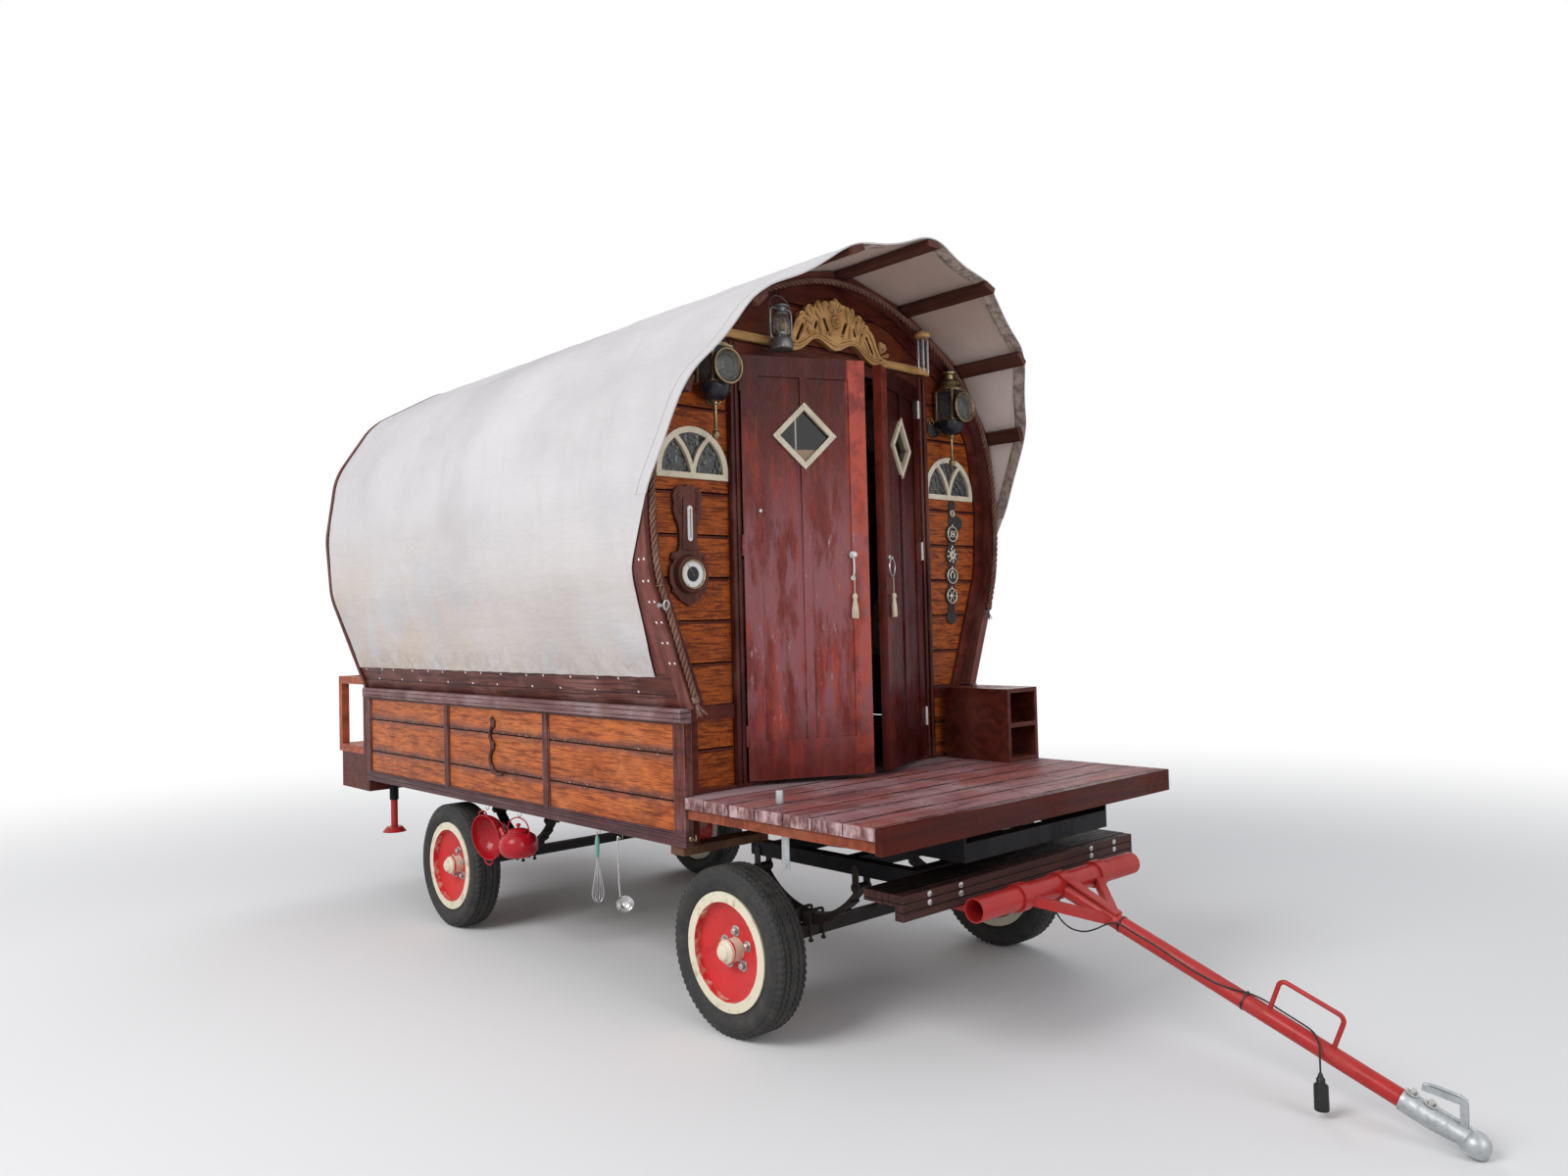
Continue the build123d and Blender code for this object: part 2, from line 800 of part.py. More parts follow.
# Deck: planks laid across the wagon on a frame with a deep front board
deck_back_x = front_face_x + paint_gap
plank_run = deck_front_x - fascia_board - deck_back_x
plank_w = (plank_run - (plank_count - 1) * plank_gap) / plank_count
with BuildPart() as deck_planks:
    for number in range(plank_count):
        with BuildSketch(Plane.XY.offset(deck_top - plank_t)):
            with Locations((deck_back_x + number * (plank_w + plank_gap), 0)):
                Rectangle(plank_w, 2 * body_half, align=(Align.MIN, Align.CENTER))
        extrude(amount=plank_t)
    with BuildSketch(Plane.XY.offset(deck_top - plank_t)):
        for sign in (1, -1):
            with Locations((wall_x + paint_gap, sign * (inner_half - paint_gap))):
                Rectangle(
                    2 * wall_set,
                    2 * side_t,
                    align=(Align.MAX, Align.MIN if sign > 0 else Align.MAX),
                )
    extrude(amount=plank_t, mode=Mode.SUBTRACT)
write(deck_planks, "deck_planks")

with BuildPart() as deck_frame:
    with BuildSketch(Plane.XY.offset(deck_top - fascia_depth)):
        with Locations((deck_front_x - fascia_board, 0)):
            Rectangle(fascia_board, 2 * body_half, align=(Align.MIN, Align.CENTER))
    extrude(amount=fascia_depth)
    with BuildSketch(Plane.XY.offset(chassis_top - deck_rail_h)):
        for sign in (1, -1):
            with Locations((wall_x + paint_gap, sign * (body_half - deck_rail_set - deck_rail_w / 2))):
                Rectangle(
                    deck_length - fascia_board - paint_gap,
                    deck_rail_w,
                    align=(Align.MIN, Align.CENTER),
                )
            for share in (0.1, 0.55):
                arm = body_half - deck_rail_set - deck_rail_w - rail_y - rail_w / 2
                with Locations((deck_back_x + share * plank_run, sign * (rail_y + rail_w / 2))):
                    Rectangle(joist_w, arm, align=(Align.MIN, Align.MIN if sign > 0 else Align.MAX))
    extrude(amount=deck_rail_h)
write(deck_frame, "deck_frame")

# Porch locker: an open-fronted box of boards at the deck's left rear corner
with BuildPart() as porch_locker:
    with BuildSketch(Plane.YZ.offset(wall_x)):
        with Locations((locker_left, deck_top)):
            Rectangle(locker_w, locker_h, align=(Align.MAX, Align.MIN))
        with Locations((locker_left - locker_t, deck_top + locker_t)):
            Rectangle(
                locker_w - 2 * locker_t,
                locker_h - 2 * locker_t,
                align=(Align.MAX, Align.MIN),
                mode=Mode.SUBTRACT,
            )
        with Locations((locker_left - locker_w / 2, deck_top + locker_h / 2)):
            Rectangle(locker_w - 2 * locker_t, locker_t)
    extrude(amount=locker_depth)
write(porch_locker, "porch_locker")

# Rear rack: posts and rails behind the rear wall over a closed pan box
with BuildPart() as rear_rack:
    with BuildSketch(Plane.XY.offset(rack_floor - rack_rail)):
        with Locations((rack_x, 0)):
            Rectangle(rack_depth, 2 * rack_half, align=(Align.MIN, Align.CENTER))
    extrude(amount=rack_rail)
    with BuildSketch(Plane.XY.offset(rack_floor)):
        for sign in (1, -1):
            for back in (rack_x, rear_x - rack_post):
                with Locations((back, sign * (rack_half - rack_post / 2))):
                    Rectangle(rack_post, rack_post, align=(Align.MIN, Align.CENTER))
    extrude(amount=rack_top - rack_floor)
    with BuildSketch(Plane.XY.offset(rack_top - rack_rail)):
        with Locations((rack_x, 0)):
            Rectangle(rack_depth, 2 * rack_half, align=(Align.MIN, Align.CENTER))
            with Locations((rack_post, 0)):
                Rectangle(
                    rack_depth - rack_post,
                    2 * (rack_half - rack_post),
                    align=(Align.MIN, Align.CENTER),
                    mode=Mode.SUBTRACT,
                )
    extrude(amount=rack_rail)
write(rear_rack, "rear_rack")

with BuildPart() as pan_box:
    with BuildSketch(Plane.XY.offset(pan_bottom)):
        with Locations((rear_x - pan_depth, 0)):
            Rectangle(pan_depth, 2 * (rack_half - pan_set), align=(Align.MIN, Align.CENTER))
    extrude(amount=rack_floor - rack_rail - pan_bottom)
    with BuildSketch(Plane.XY.offset(pan_bottom + pan_t)):
        with Locations((rear_x - pan_depth + pan_t, 0)):
            Rectangle(
                pan_depth - 2 * pan_t,
                2 * (rack_half - pan_set - pan_t),
                align=(Align.MIN, Align.CENTER),
            )
    extrude(amount=rack_floor - rack_rail - pan_bottom - pan_t, mode=Mode.SUBTRACT)
write(pan_box, "pan_box")

# Chassis: two channel rails with cross members, spring hangers at the rear and the turntable's seat
chassis_front_x = deck_front_x - fascia_board
hanger_h = chassis_bottom - hang_z
with BuildPart() as chassis:
    with BuildSketch(Plane.YZ.offset(rear_x + end_t)):
        for sign in (1, -1):
            with Locations((sign * rail_y, chassis_bottom)):
                Rectangle(rail_w, rail_h, align=(Align.CENTER, Align.MIN))
            with Locations((sign * (rail_y - rail_wall), chassis_bottom + rail_wall)):
                Rectangle(
                    rail_w,
                    rail_h - 2 * rail_wall,
                    align=(Align.CENTER, Align.MIN),
                    mode=Mode.SUBTRACT,
                )
    extrude(amount=chassis_front_x - rear_x - end_t)
    with BuildSketch(Plane.XY.offset(chassis_bottom)):
        for x in (
            rear_x + end_t,
            rear_axle_x - spring_half - member_w,
            rear_axle_x + spring_half,
            front_axle_x - gear_member - member_w / 2,
            front_axle_x + gear_member - member_w / 2,
            chassis_front_x - member_w,
        ):
            with Locations((x, 0)):
                Rectangle(member_w, 2 * rail_y + rail_w - 2 * rail_wall, align=(Align.MIN, Align.CENTER))
        with Locations((front_axle_x, 0)):
            Rectangle(2 * gear_member, king_plate_w)
    extrude(amount=member_h)
    with BuildSketch(Plane.XY.offset(hang_z)):
        for sign in (1, -1):
            for end in (1, -1):
                with Locations((rear_axle_x + end * spring_half, sign * rail_y)):
                    Rectangle(hanger_w, rail_w)
    extrude(amount=hanger_h)
    with BuildSketch(Plane.XY.offset(chassis_bottom - ring_t)):
        with Locations((front_axle_x, 0)):
            Circle(ring_r)
            Circle(ring_r - ring_w, mode=Mode.SUBTRACT)
    extrude(amount=ring_t)
    with BuildSketch(Plane.XY.offset(chassis_bottom)):
        with Locations((front_axle_x, 0)):
            Circle(king_r + king_gap)
    extrude(amount=member_h, mode=Mode.SUBTRACT)
write(chassis, "chassis")

# Axles: square beams with round spindles
for name, axle_x in (("front", front_axle_x), ("rear", rear_axle_x)):
    with BuildPart() as axle:
        with BuildSketch(Plane.XZ.offset(-beam_half)):
            with Locations((axle_x, tyre_r)):
                Rectangle(axle_size, axle_size)
        extrude(amount=2 * beam_half)
        with BuildSketch(Plane.XZ.offset(-track_half - spindle_reach)):
            with Locations((axle_x, tyre_r)):
                Circle(spindle_r)
        extrude(amount=2 * (track_half + spindle_reach))
    write(axle, f"{name}_axle")

# Leaf springs: stacked leaves on the axle, with eyes hung on side plates
spring_foot = tyre_r + axle_size / 2
eye_z = spring_foot + leaf_count * leaf_t + spring_sag
arc_r = (spring_half ** 2 + spring_sag ** 2) / (2 * spring_sag)
for name, axle_x in (("front", front_axle_x), ("rear", rear_axle_x)):
    with BuildPart() as springs:
        for sign in (1, -1):
            spring_plane = Plane.XZ.offset(-sign * rail_y - leaf_w / 2)
            centre_z = spring_foot + leaf_count * leaf_t + arc_r
            for leaf in range(leaf_count):
                reach = spring_half * (1 - leaf / (leaf_count + 1))
                spread = atan2(reach, sqrt(arc_r ** 2 - reach ** 2))
                inner_r = arc_r + leaf * leaf_t
                outer_r = inner_r + leaf_t
                with BuildSketch(spring_plane):
                    with BuildLine():
                        upper = [
                            (axle_x + inner_r * sin(turn), centre_z - inner_r * cos(turn))
                            for turn in (-spread, 0, spread)
                        ]
                        lower = [
                            (axle_x + outer_r * sin(turn), centre_z - outer_r * cos(turn))
                            for turn in (spread, 0, -spread)
                        ]
                        ThreePointArc(*upper)
                        Line(upper[2], lower[0])
                        ThreePointArc(*lower)
                        Line(lower[2], upper[0])
                    make_face()
                extrude(amount=leaf_w)
            with BuildSketch(spring_plane):
                for end in (1, -1):
                    with Locations((axle_x + end * spring_half, eye_z)):
                        Circle(eye_r)
            extrude(amount=leaf_w)
            for side in (1, -1):
                with BuildSketch(Plane.XZ.offset(-sign * rail_y - side * (rail_w + link_t) / 2 - link_t / 2)):
                    for end in (1, -1):
                        with Locations((axle_x + end * spring_half, (eye_z + hang_z + link_rise) / 2)):
                            SlotOverall(
                                hang_z + link_rise - eye_z + link_w,
                                link_w,
                                rotation=90,
                            )
                extrude(amount=link_t)
            with BuildSketch(Plane.XZ.offset(-sign * rail_y - rail_w / 2 - link_t)):
                for end in (1, -1):
                    with Locations((axle_x + end * spring_half, eye_z)):
                        Circle(link_pin_r)
            extrude(amount=rail_w + 2 * link_t)
    write(springs, f"{name}_springs")

# Turntable gear: the frame that steers with the front axle under the chassis
with BuildPart() as steering_gear:
    with BuildSketch(Plane.XY.offset(hang_z)):
        for sign in (1, -1):
            with Locations((front_axle_x - gear_back, sign * rail_y)):
                Rectangle(
                    foot_back_x - front_axle_x + gear_back,
                    gear_w,
                    align=(Align.MIN, Align.CENTER),
                )
        for x in (front_axle_x - gear_member, front_axle_x + gear_member, foot_back_x - gear_w / 2):
            with Locations((x, 0)):
                Rectangle(gear_w, 2 * rail_y, align=(Align.CENTER, Align.CENTER))
        with Locations((front_axle_x, 0)):
            Rectangle(2 * gear_member, king_plate_w)
    extrude(amount=gear_h)
    with BuildSketch(Plane.XY.offset(hang_z + gear_h)):
        with Locations((front_axle_x, 0)):
            Circle(ring_r)
            Circle(ring_r - ring_w, mode=Mode.SUBTRACT)
    extrude(amount=ring_t)
    with BuildSketch(Plane.XY.offset(hang_z + gear_h)):
        with Locations((front_axle_x, 0)):
            Circle(king_r)
    extrude(amount=2 * ring_t + ring_gap + member_h)
    with BuildSketch(Plane.XY.offset(slat_top - slat_t - arm_h)):
        for sign in (1, -1):
            with Locations((foot_back_x - arm_lap, sign * rail_y)):
                Rectangle(foot_x - fascia_t - foot_back_x + arm_lap, gear_w, align=(Align.MIN, Align.CENTER))
    extrude(amount=arm_h)
write(steering_gear, "steering_gear")

# Splinter bar: slats laid across the arms, with stacked boards across their front
with BuildPart() as splinter_bar:
    with BuildSketch(Plane.XY.offset(slat_top - slat_t)):
        for number in range(slat_count):
            with Locations((foot_back_x + number * (slat_w + slat_gap), 0)):
                Rectangle(slat_w, 2 * foot_half, align=(Align.MIN, Align.CENTER))
    extrude(amount=slat_t)
    with BuildSketch(Plane.YZ.offset(foot_x - fascia_t)):
        for number in range(fascia_boards):
            with Locations((0, slat_top - (number + 1) * fascia_h)):
                Rectangle(2 * foot_half, fascia_h - board_seam, align=(Align.CENTER, Align.MIN))
    extrude(amount=fascia_t)
write(splinter_bar, "splinter_bar")

# Cross tube: a hollow tube carried in front of the splinter bar on two plates
with BuildPart() as cross_tube:
    for sign in (1, -1):
        with BuildSketch(Plane.XZ.offset(-sign * bracket_y - bracket_t / 2)):
            with BuildLine():
                Polyline(
                    (foot_x - bracket_back, slat_top - slat_t - arm_h),
                    (foot_x - fascia_t, slat_top - slat_t - arm_h),
                    (foot_x - fascia_t, slat_top - fascia_boards * fascia_h),
                    (foot_x, slat_top - fascia_boards * fascia_h),
                    (pivot_x, pivot_z),
                    (pivot_x, pivot_z - cross_r),
                    (foot_x - bracket_back, pivot_z - cross_r),
                    close=True,
                )
            make_face()
        extrude(amount=bracket_t)
    with BuildSketch(Plane.XZ.offset(-cross_half)):
        with Locations((pivot_x, pivot_z)):
            Circle(cross_r)
    extrude(amount=2 * cross_half)
    with BuildSketch(Plane.XZ.offset(-cross_half)):
        with Locations((pivot_x, pivot_z)):
            Circle(cross_r - cross_wall)
    extrude(amount=2 * cross_half, mode=Mode.SUBTRACT)
write(cross_tube, "cross_tube")

# Drawbar: a tube with two braces, on collars that turn on the cross tube
bar_start = Plane(
    origin=(pivot_x, 0, pivot_z),
    x_dir=(0, 1, 0),
    z_dir=(cos(bar_angle), 0, -sin(bar_angle)),
)
bar_flat = Plane(
    origin=(pivot_x, 0, pivot_z),
    x_dir=(cos(bar_angle), 0, -sin(bar_angle)),
    z_dir=(0, -1, 0),
)
collar_r = cross_r + collar_gap + collar_t
with BuildPart() as drawbar:
    with BuildSketch(bar_start):
        Circle(bar_r)
    extrude(amount=bar_length - coupling_back)
    for sign in (1, -1):
        brace_from = Vector(pivot_x, sign * brace_spread, pivot_z)
        brace_to = bar_start.from_local_coords(Vector(0, 0, brace_reach))
        along = brace_to - brace_from
        with BuildSketch(Plane(origin=brace_from, x_dir=(sin(bar_angle), 0, cos(bar_angle)), z_dir=along)):
            Rectangle(brace_w, brace_w)
        extrude(amount=along.length)
    for y in (-brace_spread, 0, brace_spread):
        with BuildSketch(Plane.XZ.offset(-y - collar_w / 2)):
            with Locations((pivot_x, pivot_z)):
                Circle(collar_r)
        extrude(amount=collar_w)
    with BuildSketch(bar_flat.offset(-strap_w / 2)):
        with BuildLine() as strap_line:
            Line((0, collar_r - strap_t), (brace_reach, bar_r))
        trace(line_width=strap_t)
    extrude(amount=strap_w)
    with BuildSketch(Plane.XZ.offset(-brace_spread - collar_w)):
        with Locations((pivot_x, pivot_z)):
            Circle(cross_r + collar_gap)
    extrude(amount=2 * (brace_spread + collar_w), mode=Mode.SUBTRACT)
    handle_path = [
        bar_start.from_local_coords(Vector(0, up, along))
        for along, up in (
            (handle_at, bar_r - handle_r),
            (handle_at, bar_r + handle_h),
            (handle_at + handle_length, bar_r + handle_h),
            (handle_at + handle_length, bar_r - handle_r),
        )
    ]
    with BuildLine() as handle_line:
        FilletPolyline(*handle_path, radius=handle_bend)
    with BuildSketch(Plane(origin=handle_line.line @ 0, z_dir=handle_line.line % 0)):
        Circle(handle_r)
    sweep(path=handle_line.line)
write(drawbar, "drawbar")

# Coupling: a pressed head with a sleeve over the bar and a ball cup opening downwards
with BuildPart() as coupling_head:
    with BuildSketch(bar_start.offset(bar_length - coupling_back)):
        Circle(sleeve_r)
    extrude(amount=-sleeve_length)
    with BuildSketch(bar_start.offset(bar_length - coupling_back)):
        Circle(sleeve_r)
    with BuildSketch(bar_start.offset(bar_length)):
        with Locations((0, neck_rise)):
            Circle(neck_r)
    loft()
    cup_plane = Plane(
        origin=(ball_x, 0, ball_z),
        x_dir=(0, 1, 0),
        z_dir=(sin(bar_angle), 0, cos(bar_angle)),
    )
    with BuildSketch(cup_plane.offset(-cup_depth)):
        Circle(cup_r)
    extrude(amount=cup_depth)
    with Locations(Location((ball_x, 0, ball_z))):
        Sphere(nose_r)
    with BuildSketch(cup_plane.offset(-cup_depth)):
        Circle(nose_r + 10)
    extrude(amount=-nose_r, mode=Mode.SUBTRACT)
    with BuildSketch(cup_plane.offset(-cup_depth)):
        Circle(ball_r)
    extrude(amount=cup_depth + socket_rise, mode=Mode.SUBTRACT)
    with BuildSketch(bar_start.offset(bar_length - coupling_back - sleeve_length)):
        Circle(bar_r)
    extrude(amount=sleeve_length, mode=Mode.SUBTRACT)
write(coupling_head, "coupling_head")

with BuildPart() as coupling_lever:
    with BuildSketch(bar_flat.offset(-lever_t / 2)):
        with BuildLine():
            Polyline(*[(bar_length - back, up) for back, up in lever_path])
        trace(line_width=lever_w)
    extrude(amount=lever_t)
    add(coupling_head.part, mode=Mode.SUBTRACT)
write(coupling_lever, "coupling_lever")

# Cable: it leaves the middle collar, sags, runs tied along the bar and hangs down to a plug
cable_points = [
    bar_start.from_local_coords(Vector(-out * sin(radians(turn)), out * cos(radians(turn)), along))
    for along, turn, out in cable_run
]
cable_points.append(Vector(cable_points[-1].X, cable_points[-1].Y, plug_top))
cable_radii = []
for before, corner, after in zip(cable_points, cable_points[1:], cable_points[2:]):
    run_in, run_out = corner - before, after - corner
    half_turn = radians(run_in.get_angle(run_out)) / 2
    cable_radii.append(cable_bend * min(run_in.length, run_out.length) / tan(half_turn))
with BuildPart() as cable:
    with BuildLine() as cable_line:
        FilletPolyline(*cable_points, radius=cable_radii)
    with BuildSketch(Plane(origin=cable_line.line @ 0, z_dir=cable_line.line % 0)):
        Circle(cable_r)
    sweep(path=cable_line.line)
write(cable, "cable")
cable_length = sum(edge.length for edge in cable_line.edges())
print("cable length", round(cable_length, 1), "radii", [round(radius, 1) for radius in cable_radii])
print("cable volume over section by length", cable.part.volume / (pi * cable_r ** 2 * cable_length))

with BuildPart() as cable_plug:
    plug_at = (cable_points[-1].X, cable_points[-1].Y)
    with BuildSketch(Plane.XY.offset(plug_top)):
        with Locations(plug_at):
            Circle(plug_neck_r)
    with BuildSketch(Plane.XY.offset(plug_top - plug_neck_h)):
        with Locations(plug_at):
            Circle(plug_r)
    loft()
    with BuildSketch(Plane.XY.offset(plug_top - plug_neck_h)):
        with Locations(plug_at):
            Circle(plug_r)
    extrude(amount=plug_neck_h - plug_length)
write(cable_plug, "cable_plug")

# Wheels: a tyre on a dished disc wheel with a long hub
tyre_profile = [
    (rim_r + paint_gap, rim_half - paint_gap),
    (flange_r + paint_gap, rim_half - paint_gap),
    (0.5 * (flange_r + tyre_r), tyre_w / 2),
    (tyre_r - shoulder, tyre_w / 2 - shoulder / 2),
    (tyre_r, tread_half),
]                        # (radius, half width) from the bead out to the tread
for corner, axle_x, sign in (
    ("front_left", front_axle_x, 1),
    ("front_right", front_axle_x, -1),
    ("rear_left", rear_axle_x, 1),
    ("rear_right", rear_axle_x, -1),
):
    wheel_plane = Plane(
        origin=(axle_x, sign * track_half, tyre_r),
        x_dir=(1, 0, 0),
        z_dir=(0, 0, 1),
    )
    with BuildPart() as tyre:
        with BuildSketch(wheel_plane):
            with BuildLine():
                bead, flange, bulge, side, tread = tyre_profile
                Line((bead[0], -bead[1]), bead)
                Line(bead, flange)
                ThreePointArc(flange, bulge, side)
                Line(side, tread)
                Line(tread, (tread[0], -tread[1]))
                Line((tread[0], -tread[1]), (side[0], -side[1]))
                ThreePointArc((side[0], -side[1]), (bulge[0], -bulge[1]), (flange[0], -flange[1]))
                Line((flange[0], -flange[1]), (bead[0], -bead[1]))
            make_face()
        revolve(axis=Axis((axle_x, sign * track_half, tyre_r), (0, 1, 0)))
    write(tyre, f"tyre_{corner}")

    with BuildPart() as wheel:
        with BuildSketch(wheel_plane):
            with BuildLine():
                Polyline(
                    (rim_r, -rim_half),
                    (flange_r, -rim_half),
                    (flange_r, -rim_half - flange_t),
                    (rim_r - rim_t, -rim_half - flange_t),
                    (rim_r - rim_t, rim_half + flange_t),
                    (flange_r, rim_half + flange_t),
                    (flange_r, rim_half),
                    (rim_r, rim_half),
                    close=True,
                )
            make_face()
            with BuildLine():
                Polyline(
                    (rim_r - rim_t, sign * disc_out),
                    (dish_r, sign * disc_in),
                    (hub_r, sign * disc_in),
                    (hub_r, sign * (disc_in - disc_t)),
                    (dish_r, sign * (disc_in - disc_t)),
                    (rim_r - rim_t, sign * (disc_out - disc_t)),
                    close=True,
                )
            make_face()
            with BuildLine():
                Polyline(
                    (spindle_r + spindle_gap, -sign * hub_in),
                    (hub_r, -sign * hub_in),
                    (hub_r, sign * (hub_out - hub_bevel)),
                    (hub_r - hub_bevel, sign * hub_out),
                    (0, sign * hub_out),
                    (0, sign * (spindle_reach + hub_end)),
                    (spindle_r + spindle_gap, sign * (spindle_reach + hub_end)),
                    close=True,
                )
            make_face()
        revolve(axis=Axis((axle_x, sign * track_half, tyre_r), (0, 1, 0)))
    write(wheel, f"wheel_{corner}")

# Jacks: a sleeve under each rear corner with a screw leg and a flared foot
with BuildPart() as jack_sleeves:
    for sign in (1, -1):
        with BuildSketch(Plane.XY.offset(chassis_bottom - jack_sleeve_h)):
            with Locations((jack_x, sign * jack_y)):
                Circle(sleeve_jack_r)
                Circle(jack_r + spindle_gap, mode=Mode.SUBTRACT)
        extrude(amount=jack_sleeve_h)
        with BuildSketch(Plane.XY.offset(chassis_bottom)):
            with Locations((jack_x, sign * rail_y)):
                Rectangle(
                    member_w,
                    jack_y - rail_y + sleeve_jack_r,
                    align=(Align.CENTER, Align.MIN if sign > 0 else Align.MAX),
                )
            with Locations((jack_x, sign * rail_y)):
                Rectangle(2 * member_w, rail_w, mode=Mode.SUBTRACT)
        extrude(amount=jack_bearer_h)
write(jack_sleeves, "jack_sleeves")

for side, sign in (("left", 1), ("right", -1)):
    with BuildPart() as jack_leg:
        with BuildSketch(Plane.XY.offset(jack_foot_z)):
            with Locations((jack_x, sign * jack_y)):
                Circle(jack_foot_r)
        extrude(amount=jack_foot_h, taper=40)
        with BuildSketch(Plane.XY.offset(jack_foot_z)):
            with Locations((jack_x, sign * jack_y)):
                Circle(jack_r)
        extrude(amount=chassis_bottom - jack_foot_z - paint_gap)
    write(jack_leg, f"jack_leg_{side}")

# Carriage lamps: a glazed body in a tray, with a stem below, a lens in front and a capped chimney
with BuildPart() as lamps:
    for y in (lamp_y, -lamp_y):
        with BuildSketch(Plane.XY.offset(lamp_bottom)):
            with Locations((lamp_x, y)):
                Rectangle(lamp_w, lamp_w)
        extrude(amount=lamp_h)
        with BuildSketch(Plane.XY.offset(lamp_bottom)):
            with Locations((lamp_x, y)):
                RectangleRounded(tray_w, tray_w, tray_round)
        extrude(amount=-tray_h)
        with BuildSketch(Plane.XY.offset(lamp_bottom + lamp_h)):
            with Locations((lamp_x, y)):
                Rectangle(lamp_w, lamp_w)
        with BuildSketch(Plane.XY.offset(lamp_bottom + lamp_h + roof_h)):
            with Locations((lamp_x, y)):
                Rectangle(2 * roof_top_r, 2 * roof_top_r)
        loft()
        stack = lamp_bottom + lamp_h + roof_h
        for radius, height in ((chimney_r, chimney_h), (cap_r, cap_h), (finial_r, finial_h)):
            with BuildSketch(Plane.XY.offset(stack)):
                with Locations((lamp_x, y)):
                    Circle(radius)
            extrude(amount=height)
            stack += height
        with BuildSketch(Plane.XY.offset(lamp_bottom - tray_h)):
            with Locations((lamp_x, y)):
                Circle(stem_r)
        extrude(amount=-stem_h)
        with Locations((lamp_x, y, lamp_bottom - tray_h - stem_h)):
            Sphere(stem_knob_r)
        with BuildSketch(Plane.YZ.offset(lamp_x + lamp_w / 2)):
            with Locations((y, lens_z)):
                Circle(lens_neck_r)
        with BuildSketch(Plane.YZ.offset(lamp_x + lamp_w / 2 + lens_out - lens_rim)):
            with Locations((y, lens_z)):
                Circle(lens_r)
        loft()
        with BuildSketch(Plane.YZ.offset(lamp_x + lamp_w / 2 + lens_out - lens_rim)):
            with Locations((y, lens_z)):
                Circle(lens_r)
        extrude(amount=lens_rim)
        with BuildSketch(Plane.YZ.offset(board_face_x)):
            with Locations((y, lamp_bottom + lamp_h / 2)):
                Rectangle(lamp_plate_w, lamp_h)
        extrude(amount=lamp_x - board_face_x)
write(lamps, "lamps")
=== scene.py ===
import random
from math import acos, atan2, cos, degrees, hypot, pi, radians, remainder, sin, tan

import bpy
from mathutils import Matrix, Vector, noise


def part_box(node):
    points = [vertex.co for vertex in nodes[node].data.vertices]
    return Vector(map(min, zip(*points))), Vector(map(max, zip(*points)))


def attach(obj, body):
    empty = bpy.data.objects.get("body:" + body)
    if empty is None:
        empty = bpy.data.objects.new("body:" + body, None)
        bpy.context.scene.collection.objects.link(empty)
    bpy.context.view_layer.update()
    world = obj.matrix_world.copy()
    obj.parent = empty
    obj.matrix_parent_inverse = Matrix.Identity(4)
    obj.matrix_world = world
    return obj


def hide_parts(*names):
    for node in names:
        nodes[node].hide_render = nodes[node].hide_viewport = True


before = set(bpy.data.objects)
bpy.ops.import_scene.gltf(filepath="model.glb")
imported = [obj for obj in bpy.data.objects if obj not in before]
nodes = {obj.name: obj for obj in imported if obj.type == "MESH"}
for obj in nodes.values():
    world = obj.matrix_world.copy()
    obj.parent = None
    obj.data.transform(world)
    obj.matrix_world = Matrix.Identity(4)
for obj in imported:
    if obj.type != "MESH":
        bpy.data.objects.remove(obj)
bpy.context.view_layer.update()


# Camera: stands before the wagon's right front corner at a person's eye height,
# with a wide lens, and leans by a degree and a half.
camera_place = Vector((4.265, -3.77, 1.643))
camera_yaw, camera_pitch, camera_roll = (radians(a) for a in (47.459, 1.653, -1.408))
ahead = Vector((-sin(camera_yaw) * cos(camera_pitch), cos(camera_yaw) * cos(camera_pitch), sin(camera_pitch)))
level_right = Vector((cos(camera_yaw), sin(camera_yaw), 0))
level_up = level_right.cross(ahead)
camera_right = cos(camera_roll) * level_right + sin(camera_roll) * level_up
camera_up = camera_right.cross(ahead)
camera_data = bpy.data.cameras.new("camera")
camera_data.sensor_width = 36
camera_data.lens = 25.84
camera_data.clip_start = 0.05
camera_data.clip_end = 200
camera = bpy.data.objects.new("camera", camera_data)
camera.matrix_world = Matrix.Translation(camera_place) @ Matrix((camera_right, camera_up, -ahead)).transposed(
    ).to_4x4()
bpy.context.scene.collection.objects.link(camera)
bpy.context.scene.camera = camera
bpy.context.scene.view_settings.view_transform = "Standard"


# Studio: a broad soft lamp high on the wagon's right, a weaker one ahead of it,
# and a pale world that is plain white where it is seen.
def feed(node, socket, value):
    """Wires a node's input from another's socket, or sets its value."""
    if isinstance(value, bpy.types.NodeSocket):
        node.id_data.links.new(value, node.inputs[socket])
    else:
        node.inputs[socket].default_value = value


def part(tree, kind, wires=None, **settings):
    """A shader node with its settings, and its sockets wired or set by name or number."""
    made = tree.nodes.new(kind)
    for setting, value in settings.items():
        setattr(made, setting, value)
    for socket, value in (wires or {}).items():
        feed(made, socket, value)
    return made


def maths(tree, operation, first, second=0.0, clamp=False):
    return part(tree, "ShaderNodeMath", {0: first, 1: second}, operation=operation, use_clamp=clamp).outputs[0]


def times(tree, first, second):
    return maths(tree, "MULTIPLY", first, second)


def seen_rays(tree):
    """1 for rays that show the background itself: camera, glossy and transmission rays."""
    path = part(tree, "ShaderNodeLightPath").outputs
    glossy = maths(tree, "MAXIMUM", path["Is Camera Ray"], path["Is Glossy Ray"])
    return maths(tree, "MAXIMUM", glossy, path["Is Transmission Ray"])


